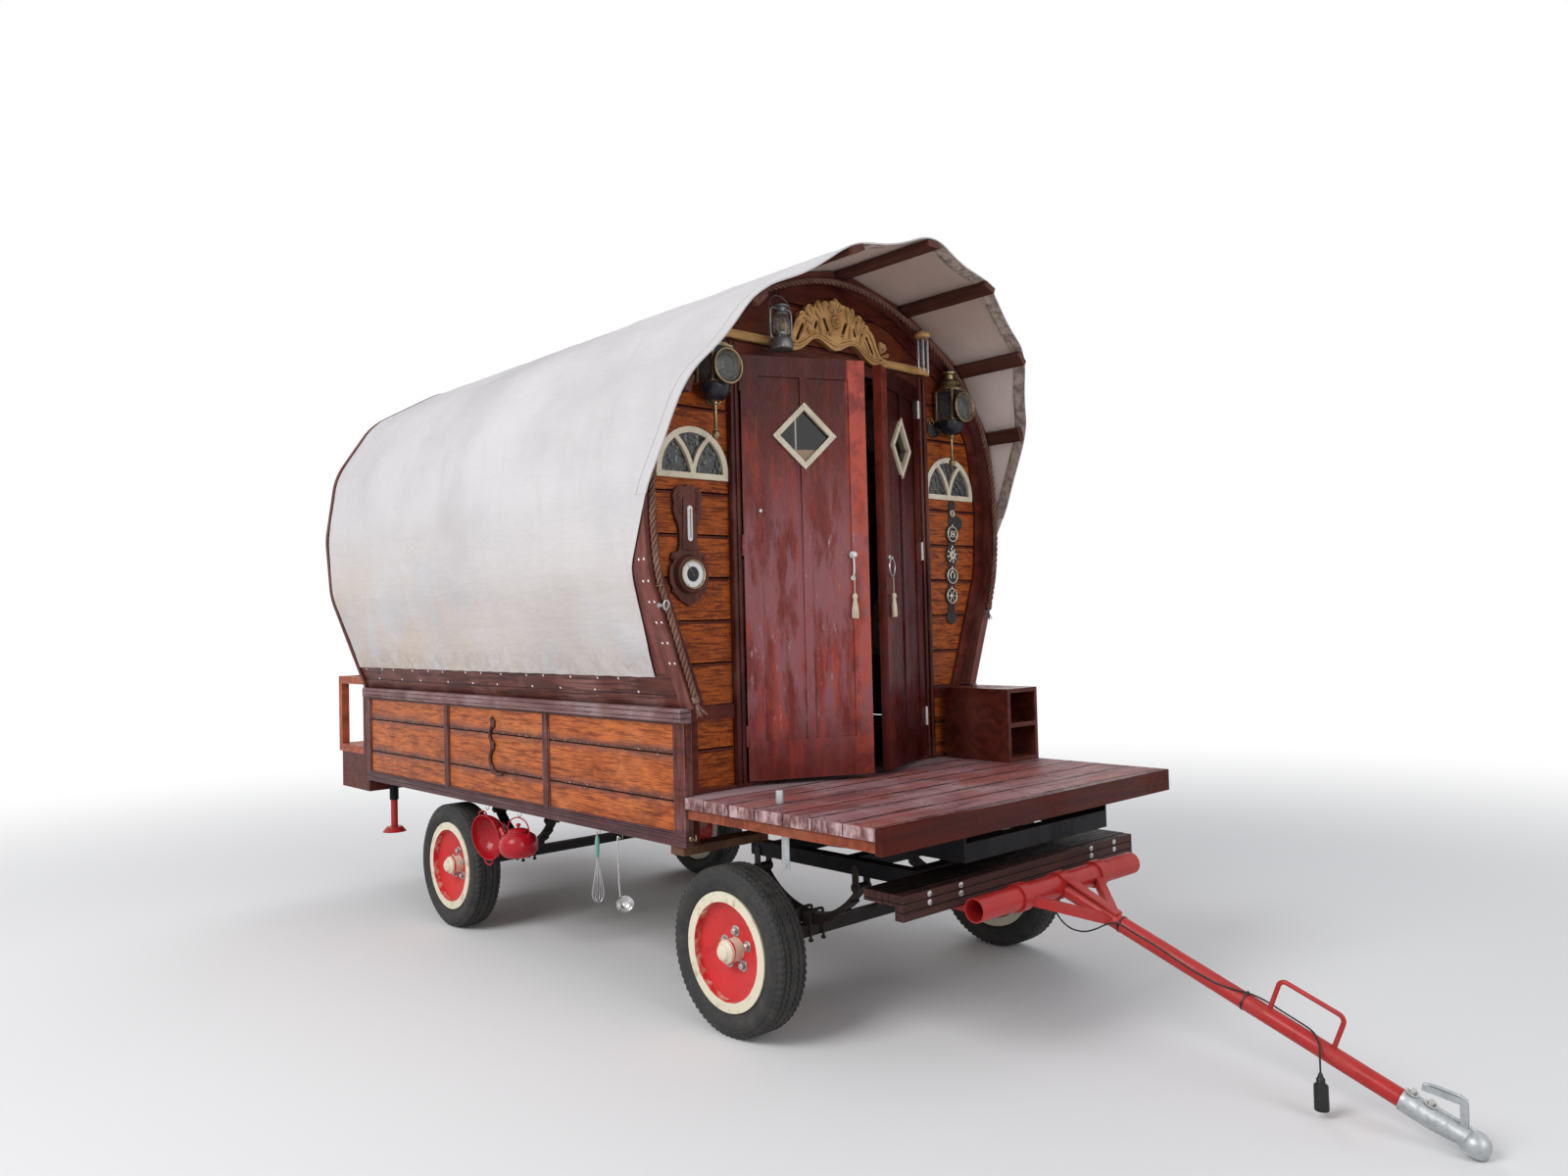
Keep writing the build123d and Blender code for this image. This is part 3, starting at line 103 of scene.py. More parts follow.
for lamp_name, lamp_at, lamp_size, lamp_power in (("key_lamp", (0.5, -8.5, 7.0), 5.0, 640), ("front_lamp",
        (9.5, -1.0, 4.0), 5.0, 190), ("back_lamp", (-6.0, 6.5, 6.5), 6.0, 240)):
    lamp_data = bpy.data.lights.new(lamp_name, "AREA")
    lamp_data.size = lamp_size
    lamp_data.energy = lamp_power
    lamp_object = bpy.data.objects.new(lamp_name, lamp_data)
    towards = Vector((0, 0, 1.4)) - Vector(lamp_at)
    lamp_object.location = lamp_at
    lamp_object.rotation_mode = "QUATERNION"
    lamp_object.rotation_quaternion = towards.to_track_quat("-Z", "Y")
    bpy.context.scene.collection.objects.link(lamp_object)

world = bpy.data.worlds.new("studio_air")
bpy.context.scene.world = world
world.use_nodes = True
tree = world.node_tree
tree.nodes.clear()
strength = part(tree, "ShaderNodeMapRange", {"Value": seen_rays(tree), "To Min": 0.5, "To Max": 1.0}).outputs[0]
tints = {0: seen_rays(tree), 6: (0.93, 0.95, 1.0, 1), 7: (1, 1, 1, 1)}
tint = part(tree, "ShaderNodeMix", tints, data_type="RGBA").outputs[2]
air = part(tree, "ShaderNodeBackground", {"Color": tint, "Strength": strength})
part(tree, "ShaderNodeOutputWorld", {"Surface": air.outputs[0]})


# Floor: a wide pale studio floor that fades into the white background away from the wagon, and
# keeps its shadow. It isn't part of the wagon.
def blank_material(name):
    """A new material with its node tree and its Principled shader."""
    made = bpy.data.materials.new(name)
    made.use_nodes = True
    return made, made.node_tree, shader_of(made)


def shader_of(made):
    return made.node_tree.nodes["Principled BSDF"]


def spot_in(tree):
    """The places on a piece, in the wagon's own metres."""
    return part(tree, "ShaderNodeTexCoord").outputs["Object"]


def ramp(tree, value, low, high, to_low=0.0, to_high=1.0):
    """The value spread from low..high to 0..1, smoothly and cut off at both ends."""
    wires = {"Value": value, "From Min": low, "From Max": high, "To Min": to_low, "To Max": to_high}
    return part(tree, "ShaderNodeMapRange", wires, interpolation_type="SMOOTHSTEP").outputs[0]


bpy.ops.object.select_all(action="DESELECT")
bpy.ops.mesh.primitive_plane_add(size=160, location=(0, 0, 0))
floor_sheet = bpy.context.object
floor_sheet.name = "studio_floor"
floor_paint, tree, shader = blank_material("pale_floor")
feed(shader, "Base Color", (0.8, 0.8, 0.8, 1))
feed(shader, "Roughness", 0.85)
feed(shader, "Specular IOR Level", 0.2)
from_wagon = part(tree, "ShaderNodeVectorMath", {0: spot_in(tree)}, operation="LENGTH").outputs["Value"]
fade = times(tree, ramp(tree, from_wagon, 3.4, 10.0), seen_rays(tree))
glow = part(tree, "ShaderNodeEmission", {"Color": (1, 1, 1, 1), "Strength": 1.0})
pale = part(tree, "ShaderNodeMixShader", {0: fade, 1: shader.outputs[0], 2: glow.outputs[0]})
feed(tree.nodes["Material Output"], "Surface", pale.outputs[0])
floor_sheet.data.materials.append(floor_paint)


# Finishes: grain, wear, weave and stains that the wagon's woods, paints and metals share, and painted crevice
# shade.
def new_group(name, takes, gives):
    """An empty shader node group with its named sockets."""
    tree = bpy.data.node_groups.new(name, "ShaderNodeTree")
    for socket, value in takes.items():
        kind = "NodeSocketVector" if isinstance(value, tuple) else "NodeSocketFloat"
        tree.interface.new_socket(socket, in_out="INPUT", socket_type=kind).default_value = value
    for socket in gives:
        tree.interface.new_socket(socket, in_out="OUTPUT", socket_type="NodeSocketFloat")
    return tree, part(tree, "NodeGroupInput").outputs, part(tree, "NodeGroupOutput").inputs


def cloud(tree, at, scale, detail=3.0, roughness=0.5):
    """Noise between 0 and 1 at places given by the vector socket."""
    wires = {"Vector": at, "Scale": scale, "Detail": detail, "Roughness": roughness}
    return part(tree, "ShaderNodeTexNoise", wires).outputs[0]


def scaled(tree, value, factor, plus=0.0):
    """The value times the factor, plus another value."""
    wires = {0: value, 1: factor, 2: plus}
    return part(tree, "ShaderNodeMath", wires, operation="MULTIPLY_ADD").outputs[0]


def vectors(tree, operation, first, second):
    return part(tree, "ShaderNodeVectorMath", {0: first, 1: second}, operation=operation).outputs[0]


def drawn_out(tree, place, scale):
    return vectors(tree, "MULTIPLY", place, scale)


def axes(tree, place):
    return part(tree, "ShaderNodeSeparateXYZ", {0: place}).outputs


grain_group, takes, gives = new_group("wood_grain", {"Stretch": (1.0, 8.0, 8.0), "Board": (9.0, 9.0, 9.0),
    "Board start": (-4.5, -4.5, -4.5), "Rings": 6.0}, ("Figure", "Fibre", "Board tone"))
spot = spot_in(grain_group)
board_number = vectors(grain_group, "FLOOR", vectors(grain_group, "DIVIDE", vectors(grain_group, "SUBTRACT",
    spot, takes["Board start"]), takes["Board"]), (0, 0, 0))
board_noise = part(grain_group, "ShaderNodeTexWhiteNoise", {"Vector": board_number})
own_place = vectors(grain_group, "ADD", spot, drawn_out(grain_group, board_noise.outputs["Color"],
    (40, 40, 40)))
stretched = drawn_out(grain_group, own_place, takes["Stretch"])
hills = cloud(grain_group, stretched, 0.8, 2.0, 0.45)
turns = times(grain_group, times(grain_group, hills, takes["Rings"]), 2 * pi)
waves = scaled(grain_group, maths(grain_group, "SINE", turns), 0.5, 0.5)
fibres = cloud(grain_group, drawn_out(grain_group, stretched, (1, 7, 7)), 3.2, 4.0, 0.65)
grain_group.links.new(waves, gives["Figure"])
grain_group.links.new(ramp(grain_group, fibres, 0.3, 0.7), gives["Fibre"])
grain_group.links.new(board_noise.outputs["Value"], gives["Board tone"])

wear_and_shade_group, takes, gives = new_group("age_wear_and_crevice_shade", {"Edge width": 0.004, "Patch scale": 3.0,
    "Crevice reach": 0.03}, ("Edges", "Patches", "Crevice dirt and shade", "Specks"))
spot = spot_in(wear_and_shade_group)
rounded = part(wear_and_shade_group, "ShaderNodeBevel", {"Radius": takes["Edge width"]}, samples=4).outputs[0]
flat = part(wear_and_shade_group, "ShaderNodeNewGeometry").outputs["Normal"]
agreement = part(wear_and_shade_group, "ShaderNodeVectorMath", {0: rounded, 1: flat},
    operation="DOT_PRODUCT").outputs["Value"]
ragged = cloud(wear_and_shade_group, spot, 34.0, 4.0, 0.7)
edge = ramp(wear_and_shade_group, agreement, 0.995, 0.9)
wear_and_shade_group.links.new(times(wear_and_shade_group, edge, ramp(wear_and_shade_group, ragged, 0.35, 0.62)), gives["Edges"])
wear_and_shade_group.links.new(ramp(wear_and_shade_group, cloud(wear_and_shade_group, spot, takes["Patch scale"], 5.0, 0.6), 0.42, 0.68),
    gives["Patches"])
# Painted shade and dirt: ambient occlusion marks crevices, corners and the gaps between parts, where the
# finishes lay a dirt colour, mostly darker.
shade = part(wear_and_shade_group, "ShaderNodeAmbientOcclusion", {"Distance": takes["Crevice reach"]}, samples=4,
    only_local=False).outputs["AO"]
wear_and_shade_group.links.new(ramp(wear_and_shade_group, shade, 0.75, 0.15), gives["Crevice dirt and shade"])
wear_and_shade_group.links.new(ramp(wear_and_shade_group, cloud(wear_and_shade_group, spot, 150.0, 2.0, 0.5), 0.64, 0.74), gives["Specks"])


def blend(tree, amount, first, second, kind="MIX"):
    """Two colours mixed by an amount: sockets, or three numbers that get full alpha."""
    first, second = ((*c, 1.0) if isinstance(c, tuple) else c for c in (first, second))
    wires = {0: amount, 6: first, 7: second}
    return part(tree, "ShaderNodeMix", wires, data_type="RGBA", blend_type=kind).outputs[2]


def relief(tree, shader, height, strength, distance=0.002):
    bump = part(tree, "ShaderNodeBump", {"Height": height, "Strength": strength, "Distance": distance})
    feed(shader, "Normal", bump.outputs[0])


def aged_and_shaded(tree, edge_width, patch_scale, crevice_reach=0.03):
    wires = {"Edge width": edge_width, "Patch scale": patch_scale, "Crevice reach": crevice_reach}
    return part(tree, "ShaderNodeGroup", wires, node_tree=wear_and_shade_group)


def wooden(name, light, dark, worn, dirt_and_shade, stretch=(1.0, 8.0, 8.0), board=(9.0, 9.0, 9.0),
        start=(-4.5, -4.5, -4.5), rings=6.0, figure=0.7, wear=0.6, patches=0.25, crevice_dirt_and_shade=0.8, rough=0.5,
        bump=0.35, edge_width=0.004, patch_scale=3.0):
    """Stained or varnished wood: figure and fibres, worn edges and patches, dirt specks, and dirt with painted
    shade in the joints and crevices.
    """
    made, tree, shader = blank_material(name)
    layout = {"Stretch": stretch, "Board": board, "Board start": start, "Rings": rings}
    grain = part(tree, "ShaderNodeGroup", layout, node_tree=grain_group)
    wear_and_shade = aged_and_shaded(tree, edge_width, patch_scale)
    fibre = grain.outputs["Fibre"]
    ring_share = times(tree, grain.outputs["Figure"], figure)
    fibre_share = times(tree, fibre, 1 - figure)
    colour = blend(tree, maths(tree, "ADD", ring_share, fibre_share), light, dark)
    tone = ramp(tree, grain.outputs["Board tone"], 0.0, 1.0, 0.0, 0.35)
    colour = blend(tree, tone, colour, tuple(0.72 * c for c in light))
    spots = times(tree, wear_and_shade.outputs["Patches"], scaled(tree, fibre, 0.7, 0.3))
    colour = blend(tree, times(tree, spots, patches), colour, worn)
    colour = blend(tree, times(tree, wear_and_shade.outputs["Edges"], wear), colour, worn)
    colour = blend(tree, times(tree, wear_and_shade.outputs["Specks"], 0.3), colour, dirt_and_shade)
    # Painted shade: the crevice mask darkens joints and recesses towards the dirt colour.
    colour = blend(tree, times(tree, wear_and_shade.outputs["Crevice dirt and shade"], crevice_dirt_and_shade), colour, dirt_and_shade)
    feed(shader, "Base Color", colour)
    rub = maths(tree, "MAXIMUM", wear_and_shade.outputs["Edges"], spots)
    feed(shader, "Roughness", ramp(tree, scaled(tree, fibre, 0.4, rub), 0.0, 1.0, rough - 0.1, rough + 0.15))
    feed(shader, "Specular IOR Level", 0.15)
    relief(tree, shader, scaled(tree, fibre, 0.6, ring_share), bump)
    return made


def repaint(made, amount, colour, kind="MIX"):
    """Lays a colour over a material's own, by a mask made from its places and normals."""
    tree = made.node_tree
    shader = shader_of(made)
    under = shader.inputs["Base Color"].links[0].from_socket
    feed(shader, "Base Color", blend(tree, amount, under, colour, kind))


def streaked(made, scale, low, high, colour, amount, where=None):
    """Fine streaks of one colour, drawn out by the scale along each axis, and only where a mask says."""
    tree = made.node_tree
    spot = spot_in(tree)
    fine = cloud(tree, drawn_out(tree, spot, scale), 1.0, 4.0, 0.62)
    streaks = ramp(tree, fine, low, high, 0.0, amount)
    repaint(made, times(tree, streaks, 1.0 if where is None else where), colour)


def worn_margins(made, axis, start, pitch, width, colour, amount=0.8, flecks=0.0):
    """Weathering along the joints between boards of one width, with pale flecks of lifted varnish."""
    tree = made.node_tree
    spot = spot_in(tree)
    place = axes(tree, spot)[axis]
    share = maths(tree, "FRACT", scaled(tree, place, 1 / pitch, -start / pitch))
    to_joint = scaled(tree, maths(tree, "ABSOLUTE", scaled(tree, share, 1.0, -0.5)), -pitch, pitch / 2)
    ragged = scaled(tree, cloud(tree, spot, 9.0, 5.0, 0.7), 2.6 * width, -1.3 * width)
    near = ramp(tree, maths(tree, "ADD", to_joint, ragged), width, 0.15 * width, 0.0, amount)
    repaint(made, near, colour)
    if flecks:
        lifted = ramp(tree, cloud(tree, spot, 62.0, 4.0, 0.7), 0.6, 0.66, 0.0, flecks)
        edge = ramp(tree, maths(tree, "ADD", to_joint, ragged), 0.9 * width, 0.25 * width)
        repaint(made, times(tree, lifted, edge), (0.58, 0.46, 0.4))


def painted(name, colour, faded, under, dirt_and_shade, chips=0.5, patches=0.4, crevice_dirt_and_shade=0.6, rough=0.42, metallic=0.0,
        bump=0.12, edge_width=0.004, patch_scale=6.0, grain_scale=220.0, crevice_reach=0.03):
    """Paint or metal skin: faded patches, chips along the edges, dust specks, dust in the corners that is also
    painted shade where its colour is darker than the paint, a fine skin.
    """
    made, tree, shader = blank_material(name)
    wear_and_shade = aged_and_shaded(tree, edge_width, patch_scale, crevice_reach)
    spot = spot_in(tree)
    skin = cloud(tree, spot, grain_scale, 3.0, 0.6)
    smear = cloud(tree, spot, patch_scale * 2.3, 6.0, 0.7)
    mixed = blend(tree, times(tree, wear_and_shade.outputs["Patches"], patches), colour, faded)
    mixed = blend(tree, ramp(tree, smear, 0.45, 0.75, 0.0, patches), mixed, tuple(0.6 * c for c in colour))
    mixed = blend(tree, times(tree, wear_and_shade.outputs["Edges"], chips), mixed, under)
    mixed = blend(tree, times(tree, wear_and_shade.outputs["Specks"], 0.35), mixed, dirt_and_shade)
    # Painted shade where the dirt colour is darker: the crevice mask shades corners and recesses.
    mixed = blend(tree, times(tree, wear_and_shade.outputs["Crevice dirt and shade"], crevice_dirt_and_shade), mixed, dirt_and_shade)
    feed(shader, "Base Color", mixed)
    dull = maths(tree, "MAXIMUM", wear_and_shade.outputs["Patches"], wear_and_shade.outputs["Crevice dirt and shade"])
    feed(shader, "Roughness", ramp(tree, dull, 0.0, 1.0, rough - 0.08, rough + 0.22))
    feed(shader, "Metallic", metallic)
    feed(shader, "Specular IOR Level", 0.5 if metallic else 0.3)
    relief(tree, shader, maths(tree, "ADD", skin, smear), bump, 0.0012)
    return made


def dress(node, material):
    """The CAD node's finish."""
    slots = nodes[node].material_slots
    if not slots:
        nodes[node].data.materials.append(material)
    for slot in nodes[node].material_slots:
        slot.material = material


# Lamp cable: a thin black lead that leaves the drawbar's middle collar, sags, runs up and along the
# bar, passes round it under the handle and hangs down to a round trailer plug.
# Stations: (metres along the bar from its pivot, degrees from the bar's top to its right, metres out)
bar_pivot = Vector((1.703, 0, 0.583))
bar_along = Vector((0.93449, 0, -0.356))
bar_up = Vector((0.356, 0, 0.93449))


def by_bar(along, turn=0.0, out=0.0):
    """A place near the drawbar, given along it, round it and out from its middle."""
    swing = radians(turn)
    return bar_pivot + bar_along * along + bar_up * (out * cos(swing)) - Vector((0, out * sin(swing), 0))


cable_run = [(0, 180, 0.0542), (0.005, 180, 0.085), (0.042, 179, 0.12), (0.105, 176, 0.131),
    (0.172, 166, 0.104), (0.222, 142, 0.068), (0.254, 104, 0.05), (0.29, 66, 0.037), (0.355, 70, 0.035),
    (0.44, 64, 0.035), (0.525, 71, 0.035), (0.61, 75, 0.035), (0.69, 66, 0.035), (0.748, 44, 0.037),
    (0.798, 8, 0.038), (0.848, -27, 0.038), (0.905, -26, 0.036), (0.965, -20, 0.036), (1.02, 2, 0.039),
    (1.056, 52, 0.048), (1.072, 92, 0.047)]
plug_top = 0.134
cable_points = [by_bar(*station) for station in cable_run]
plug_x, plug_y = cable_points[-1].x, cable_points[-1].y
cable_points.append(Vector((plug_x, plug_y, plug_top)))


def curved(name, points, radius=0.0, rounding=3, turns=12, closed=False, capped=True):
    """A line drawn smoothly past its control points, as thick as its radius says."""
    line = bpy.data.curves.new(name, "CURVE")
    line.dimensions, line.use_fill_caps = "3D", capped
    line.bevel_depth, line.bevel_resolution, line.resolution_u = radius, rounding, turns
    spline = line.splines.new("NURBS")
    spline.points.add(len(points) - 1)
    for point, at in zip(spline.points, points):
        point.co = (*at, 1)
    spline.order_u, spline.use_endpoint_u, spline.use_cyclic_u = 3, not closed, closed
    made = bpy.data.objects.new(name, line)
    bpy.context.scene.collection.objects.link(made)
    return made


lamp_cable = curved("lamp_cable", cable_points, 0.003, 4, 16, capped=False)
cable_rubber = painted("cable_rubber", (0.012, 0.012, 0.013), (0.03, 0.029, 0.028), (0.05, 0.05, 0.05),
    (0.06, 0.05, 0.04), rough=0.45)
lamp_cable.data.materials.append(cable_rubber)


def new_primitive(kind, **settings):
    """A new primitive, chosen alone."""
    bpy.ops.object.select_all(action="DESELECT")
    getattr(bpy.ops.mesh, f"primitive_{kind}_add")(**settings)
    return bpy.context.object


def only(piece):
    """The piece chosen alone and made active."""
    bpy.ops.object.select_all(action="DESELECT")
    piece.select_set(True)
    bpy.context.view_layer.objects.active = piece


def apply_all(piece):
    only(piece)
    for modifier in list(piece.modifiers):
        bpy.ops.object.modifier_apply(modifier=modifier.name)


def reshape(*steps):
    """Runs mesh operators, each with its settings, on the whole of the active piece."""
    bpy.ops.object.mode_set(mode="EDIT")
    for operator, settings in steps:
        bpy.ops.mesh.select_all(action="SELECT")
        operator(**settings)
    bpy.ops.object.mode_set(mode="OBJECT")


def pushed(x, y, z):
    return bpy.ops.mesh.extrude_region_move, {"TRANSFORM_OT_translate": {"value": (x, y, z)}}


merged = (bpy.ops.mesh.remove_doubles, {"threshold": 0.00002})
outwards = (bpy.ops.mesh.normals_make_consistent, {"inside": False})
upwards, forwards = (0, 0, 1), (1, 0, 0)
ahead = Vector(forwards)


def finished(piece, name, material, body, smooth=35):
    """Names, colours and places a piece, or several as one, and hands it to the body that carries it."""
    if isinstance(piece, list):
        piece = joined(piece)
    if piece.modifiers:
        apply_all(piece)
    only(piece)
    bpy.ops.object.transform_apply(location=True, rotation=True, scale=True)
    if smooth:
        bpy.ops.object.shade_smooth_by_angle(angle=radians(smooth))
    piece.name = piece.data.name = name
    if material:
        piece.data.materials.clear()
        piece.data.materials.append(material)
    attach(piece, body)
    return piece


def standing(foot, axis):
    """Where a piece made upright at the middle goes, with its top along the axis."""
    return Matrix.Translation(foot) @ Vector(axis).to_track_quat("Z", "Y").to_matrix().to_4x4()


def turned(outline, foot, axis=upwards, steps=32):
    """A turned piece: its outline, (radius, height) points, spun round the axis from its foot."""
    piece = new_primitive("plane", size=0.001)
    bpy.ops.object.mode_set(mode="EDIT")
    bpy.ops.mesh.merge(type="CENTER")
    bpy.ops.transform.translate(value=(outline[0][0], 0, outline[0][1]))
    for (low_r, low_h), (high_r, high_h) in zip(outline, outline[1:]):
        bpy.ops.mesh.extrude_region_move(TRANSFORM_OT_translate={"value": (high_r - low_r, 0, high_h - low_h)})
    once_round = {"steps": steps, "angle": 2 * pi, "center": (0, 0, 0), "axis": upwards}
    reshape((bpy.ops.mesh.spin, once_round), merged, outwards)
    piece.matrix_world = standing(foot, axis)
    return piece


def joined(pieces):
    """Several pieces as one object."""
    bpy.ops.object.select_all(action="DESELECT")
    for piece in pieces:
        piece.select_set(True)
    bpy.context.view_layer.objects.active = pieces[0]
    bpy.ops.object.join()
    return pieces[0]


# Plug: a moulded rubber neck over a ribbed grip and a round shell
plug_outline = [(0.0042, 0.012), (0.0055, 0.01), (0.0075, 0.006), (0.0085, 0.0), (0.0115, -0.004)]
for rib in range(4):
    plug_outline += [(0.0125, -0.006 - rib * 0.004), (0.014, -0.008 - rib * 0.004)]
plug_outline += [(0.0215, -0.026), (0.0226, -0.03)]
for rib in range(6):
    plug_outline += [(0.0228, -0.034 - rib * 0.006), (0.0212, -0.036 - rib * 0.006),
        (0.0228, -0.038 - rib * 0.006)]
plug_outline += [(0.0226, -0.076), (0.0231, -0.078), (0.0231, -0.102), (0.0222, -0.1065), (0.0, -0.1065)]
plug = turned(plug_outline, (plug_x, plug_y, plug_top), steps=36)
finished(plug, "trailer_plug", cable_rubber, "drawbar")
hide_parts("cable_plug")


# Cable ties: narrow straps drawn round the bar and the cable, each with its square lock
strap_r = 0.031


def cable_tie(name, along, turn, out):
    strap = new_primitive("circle", vertices=64, radius=strap_r, fill_type="NOTHING")
    reach = out + 0.0042
    for point in strap.data.vertices:
        angle = atan2(-point.co.y, point.co.x) - radians(turn)
        swell = max(0.0, cos(angle)) ** 24
        point.co *= 1 + (reach / strap_r - 1) * swell
    reshape(pushed(0, 0, 0.0046), outwards)
    strap.modifiers.new("thickness", "SOLIDIFY").thickness = -0.0013
    apply_all(strap)
    lock = new_primitive("cube", size=1)
    lock.scale = (0.005, 0.0075, 0.007)
    lock.location = (0, -0.0345, 0.0023)
    bpy.ops.object.transform_apply(location=True, scale=True)
    rounding = lock.modifiers.new("rounding", "BEVEL")
    rounding.width, rounding.segments = 0.001, 2
    apply_all(lock)
    tie = joined([strap, lock])
    tie.matrix_world = Matrix.Translation(by_bar(along)) @ Matrix((bar_up, Vector((0, 1, 0)),
        bar_along)).transposed().to_4x4()
    return finished(tie, name, cable_rubber, "drawbar")


cable_ties = [cable_tie("cable_tie_low", 0.29, 66, 0.037), cable_tie("cable_tie_middle", 0.787, 14, 0.038)]
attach(lamp_cable, "drawbar")
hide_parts("cable")


# Chassis: black channel rails and cross members under the floor, with bolts through the rails
black_iron = painted("black_iron", (0.008, 0.008, 0.01), (0.02, 0.019, 0.022), (0.11, 0.055, 0.03),
    (0.07, 0.055, 0.04), chips=0.55, rough=0.5, bump=0.25)
feed(shader_of(black_iron), "Specular IOR Level", 0.12)
spring_steel = painted("spring_steel", (0.016, 0.014, 0.014), (0.05, 0.038, 0.03), (0.14, 0.07, 0.035),
    (0.08, 0.055, 0.04), chips=0.8, rough=0.6, bump=0.3)
zinc = painted("zinc_bolts", (0.5, 0.5, 0.49), (0.34, 0.33, 0.31), (0.62, 0.62, 0.62), (0.12, 0.1, 0.08),
    metallic=0.85, rough=0.38)
for node in ("chassis", "steering_gear", "jack_sleeves"):
    dress(node, black_iron)
for node in ("front_springs", "rear_springs", "front_axle", "rear_axle"):
    dress(node, spring_steel)


def bolt(place, axis, across=0.019, washer=True, height=0.008):
    """A hexagon bolt head on its washer."""
    head = new_primitive("cylinder", vertices=6, radius=across / 1.732, depth=height)
    reshape((bpy.ops.mesh.bevel, {"offset": height * 0.14, "segments": 1}))
    for point in head.data.vertices:
        point.co.z += height / 2 + (0.002 if washer else 0)
    parts = [head]
    if washer:
        disc = new_primitive("cylinder", vertices=20, radius=across * 0.95, depth=0.003)
        reshape((bpy.ops.mesh.bevel, {"offset": 0.0006, "segments": 1}))
        for point in disc.data.vertices:
            point.co.z += 0.001
        parts.append(disc)
    whole = joined(parts)
    whole.matrix_world = standing(place, axis)
    return whole


rail_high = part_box("chassis")[1]
rail_bolts = []
for x in (-2.35, -1.93, -1.33, -0.62, 0.12, 0.5, 1.02, 1.17, 1.32):
    for side in (-1, 1):
        for z in (0.79, 0.825):
            rail_bolts.append(bolt((x + (z - 0.79) * 0.8, side * rail_high.y, z), (0, side, 0), across=0.017))
finished(rail_bolts, "chassis_bolts", zinc, "wagon", smooth=0)


# Spring gear: U-bolts that hold each spring to its axle, with nuts, and the nuts of the shackle pins
def loop_rod(points, radius, closed=False, turns=8):
    """A bent rod along control points, as a mesh."""
    only(curved("rod", points, radius, turns=turns, closed=closed))
    bpy.ops.object.convert(target="MESH")
    return bpy.context.object


front_axle_x, rear_axle_x = 0.767, -1.628
axle_z, spring_y, wheel_y, bolt_circle = 0.335, 0.45, 0.857, 0.072
for axle, body, axle_x in (("front", "gear", front_axle_x), ("rear", "wagon", rear_axle_x)):
    rods, nuts = [], []
    for side in (-1, 1):
        for step in (-0.034, 0.034):
            y_in, y_out, x = side * spring_y - 0.037, side * spring_y + 0.037, axle_x + step
            rods.append(loop_rod([(x, y_in, 0.29), (x, y_in, 0.405), (x, y_in, 0.418),
                (x, y_in + 0.012, 0.4215), (x, y_out - 0.012, 0.4215), (x, y_out, 0.418), (x, y_out, 0.405),
                (x, y_out, 0.29)], 0.006))
            for y in (y_in, y_out):
                nuts.append(bolt((x, y, 0.302), (0, 0, -1), across=0.02, washer=False, height=0.011))
        for end in (-0.3, 0.3):
            for face in (-1, 1):
                at = (axle_x + end, side * spring_y + face * 0.036, 0.555)
                nuts.append(bolt(at, (0, face, 0), across=0.024, height=0.01))
    finished(rods + nuts, f"{axle}_spring_bolts", spring_steel, body)


# Splinter bar and cross tube: weathered maroon slats on the gear's arms, with coach bolts through the
# stacked front boards, and a red tube in front that carries the drawbar.
weathered_maroon = wooden("weathered_maroon", (0.07, 0.027, 0.023), (0.022, 0.008, 0.007),
    (0.125, 0.062, 0.055), (0.014, 0.008, 0.007), stretch=(9.0, 0.9, 9.0), board=(9.0, 9.0, 0.031),
    start=(-4.5, -4.5, 0.563), wear=0.75, patches=0.45, rough=0.62, bump=0.6)
worn_margins(weathered_maroon, "Z", 0.5635, 0.031, 0.0032, (0.006, 0.003, 0.003), 1.0)
dress("splinter_bar", weathered_maroon)
red_enamel = painted("red_enamel", (0.43, 0.022, 0.02), (0.37, 0.055, 0.048), (0.16, 0.045, 0.03),
    (0.07, 0.03, 0.022), chips=0.7, patches=0.55, rough=0.38, bump=0.15)
dress("drawbar", red_enamel)
dress("cross_tube", red_enamel)
bar_front = 1.5731
dome = [(0.0, 0.0052), (0.006, 0.0046), (0.0105, 0.0026), (0.012, 0.0)]
coach_bolts = [turned(dome, (bar_front, y, z), forwards,
    steps=16) for y in (-0.62, -0.44, 0.44, 0.62) for z in (0.6405, 0.6095)]
finished(coach_bolts, "splinter_bolts", zinc, "gear")
lug_bolts = [bolt((1.63, side * 0.4262, 0.582), (0, side, 0), across=0.022) for side in (-1, 1)]
lug_bolts += [bolt((1.61, side * 0.4262, 0.556), (0, side, 0), across=0.019) for side in (-1, 1)]
finished(lug_bolts, "cross_tube_bolts", zinc, "gear", smooth=0)


# Coupling: galvanised pressed head and lever, with two bolts through the sleeve and a locking catch
galvanised = painted("galvanised_casting", (0.46, 0.48, 0.49), (0.33, 0.35, 0.36), (0.6, 0.61, 0.61),
    (0.13, 0.12, 0.11), patches=0.7, metallic=0.55, rough=0.45, bump=0.35, patch_scale=26.0, grain_scale=320.0)
dress("coupling_head", galvanised)
dress("coupling_lever", galvanised)
sleeve_bolts = [bolt(by_bar(along, 0, 0.0355), bar_up, across=0.022, height=0.011) for along in (1.333, 1.388)]
finished(sleeve_bolts, "coupling_bolts", zinc, "drawbar", smooth=0)
grip = loop_rod([by_bar(1.352, 0, 0.083), by_bar(1.372, 0, 0.094), by_bar(1.42, 0, 0.104),
    by_bar(1.458, 0, 0.113), by_bar(1.47, 0, 0.105)], 0.0055)
finished(grip, "coupling_catch", galvanised, "drawbar")
head_rib = loop_rod([by_bar(1.408, 0, 0.0365), by_bar(1.44, 0, 0.0375), by_bar(1.475, 0, 0.0385),
    by_bar(1.508, 0, 0.0375), by_bar(1.53, 0, 0.032)], 0.0048)
finished(head_rib, "coupling_rib", galvanised, "drawbar")


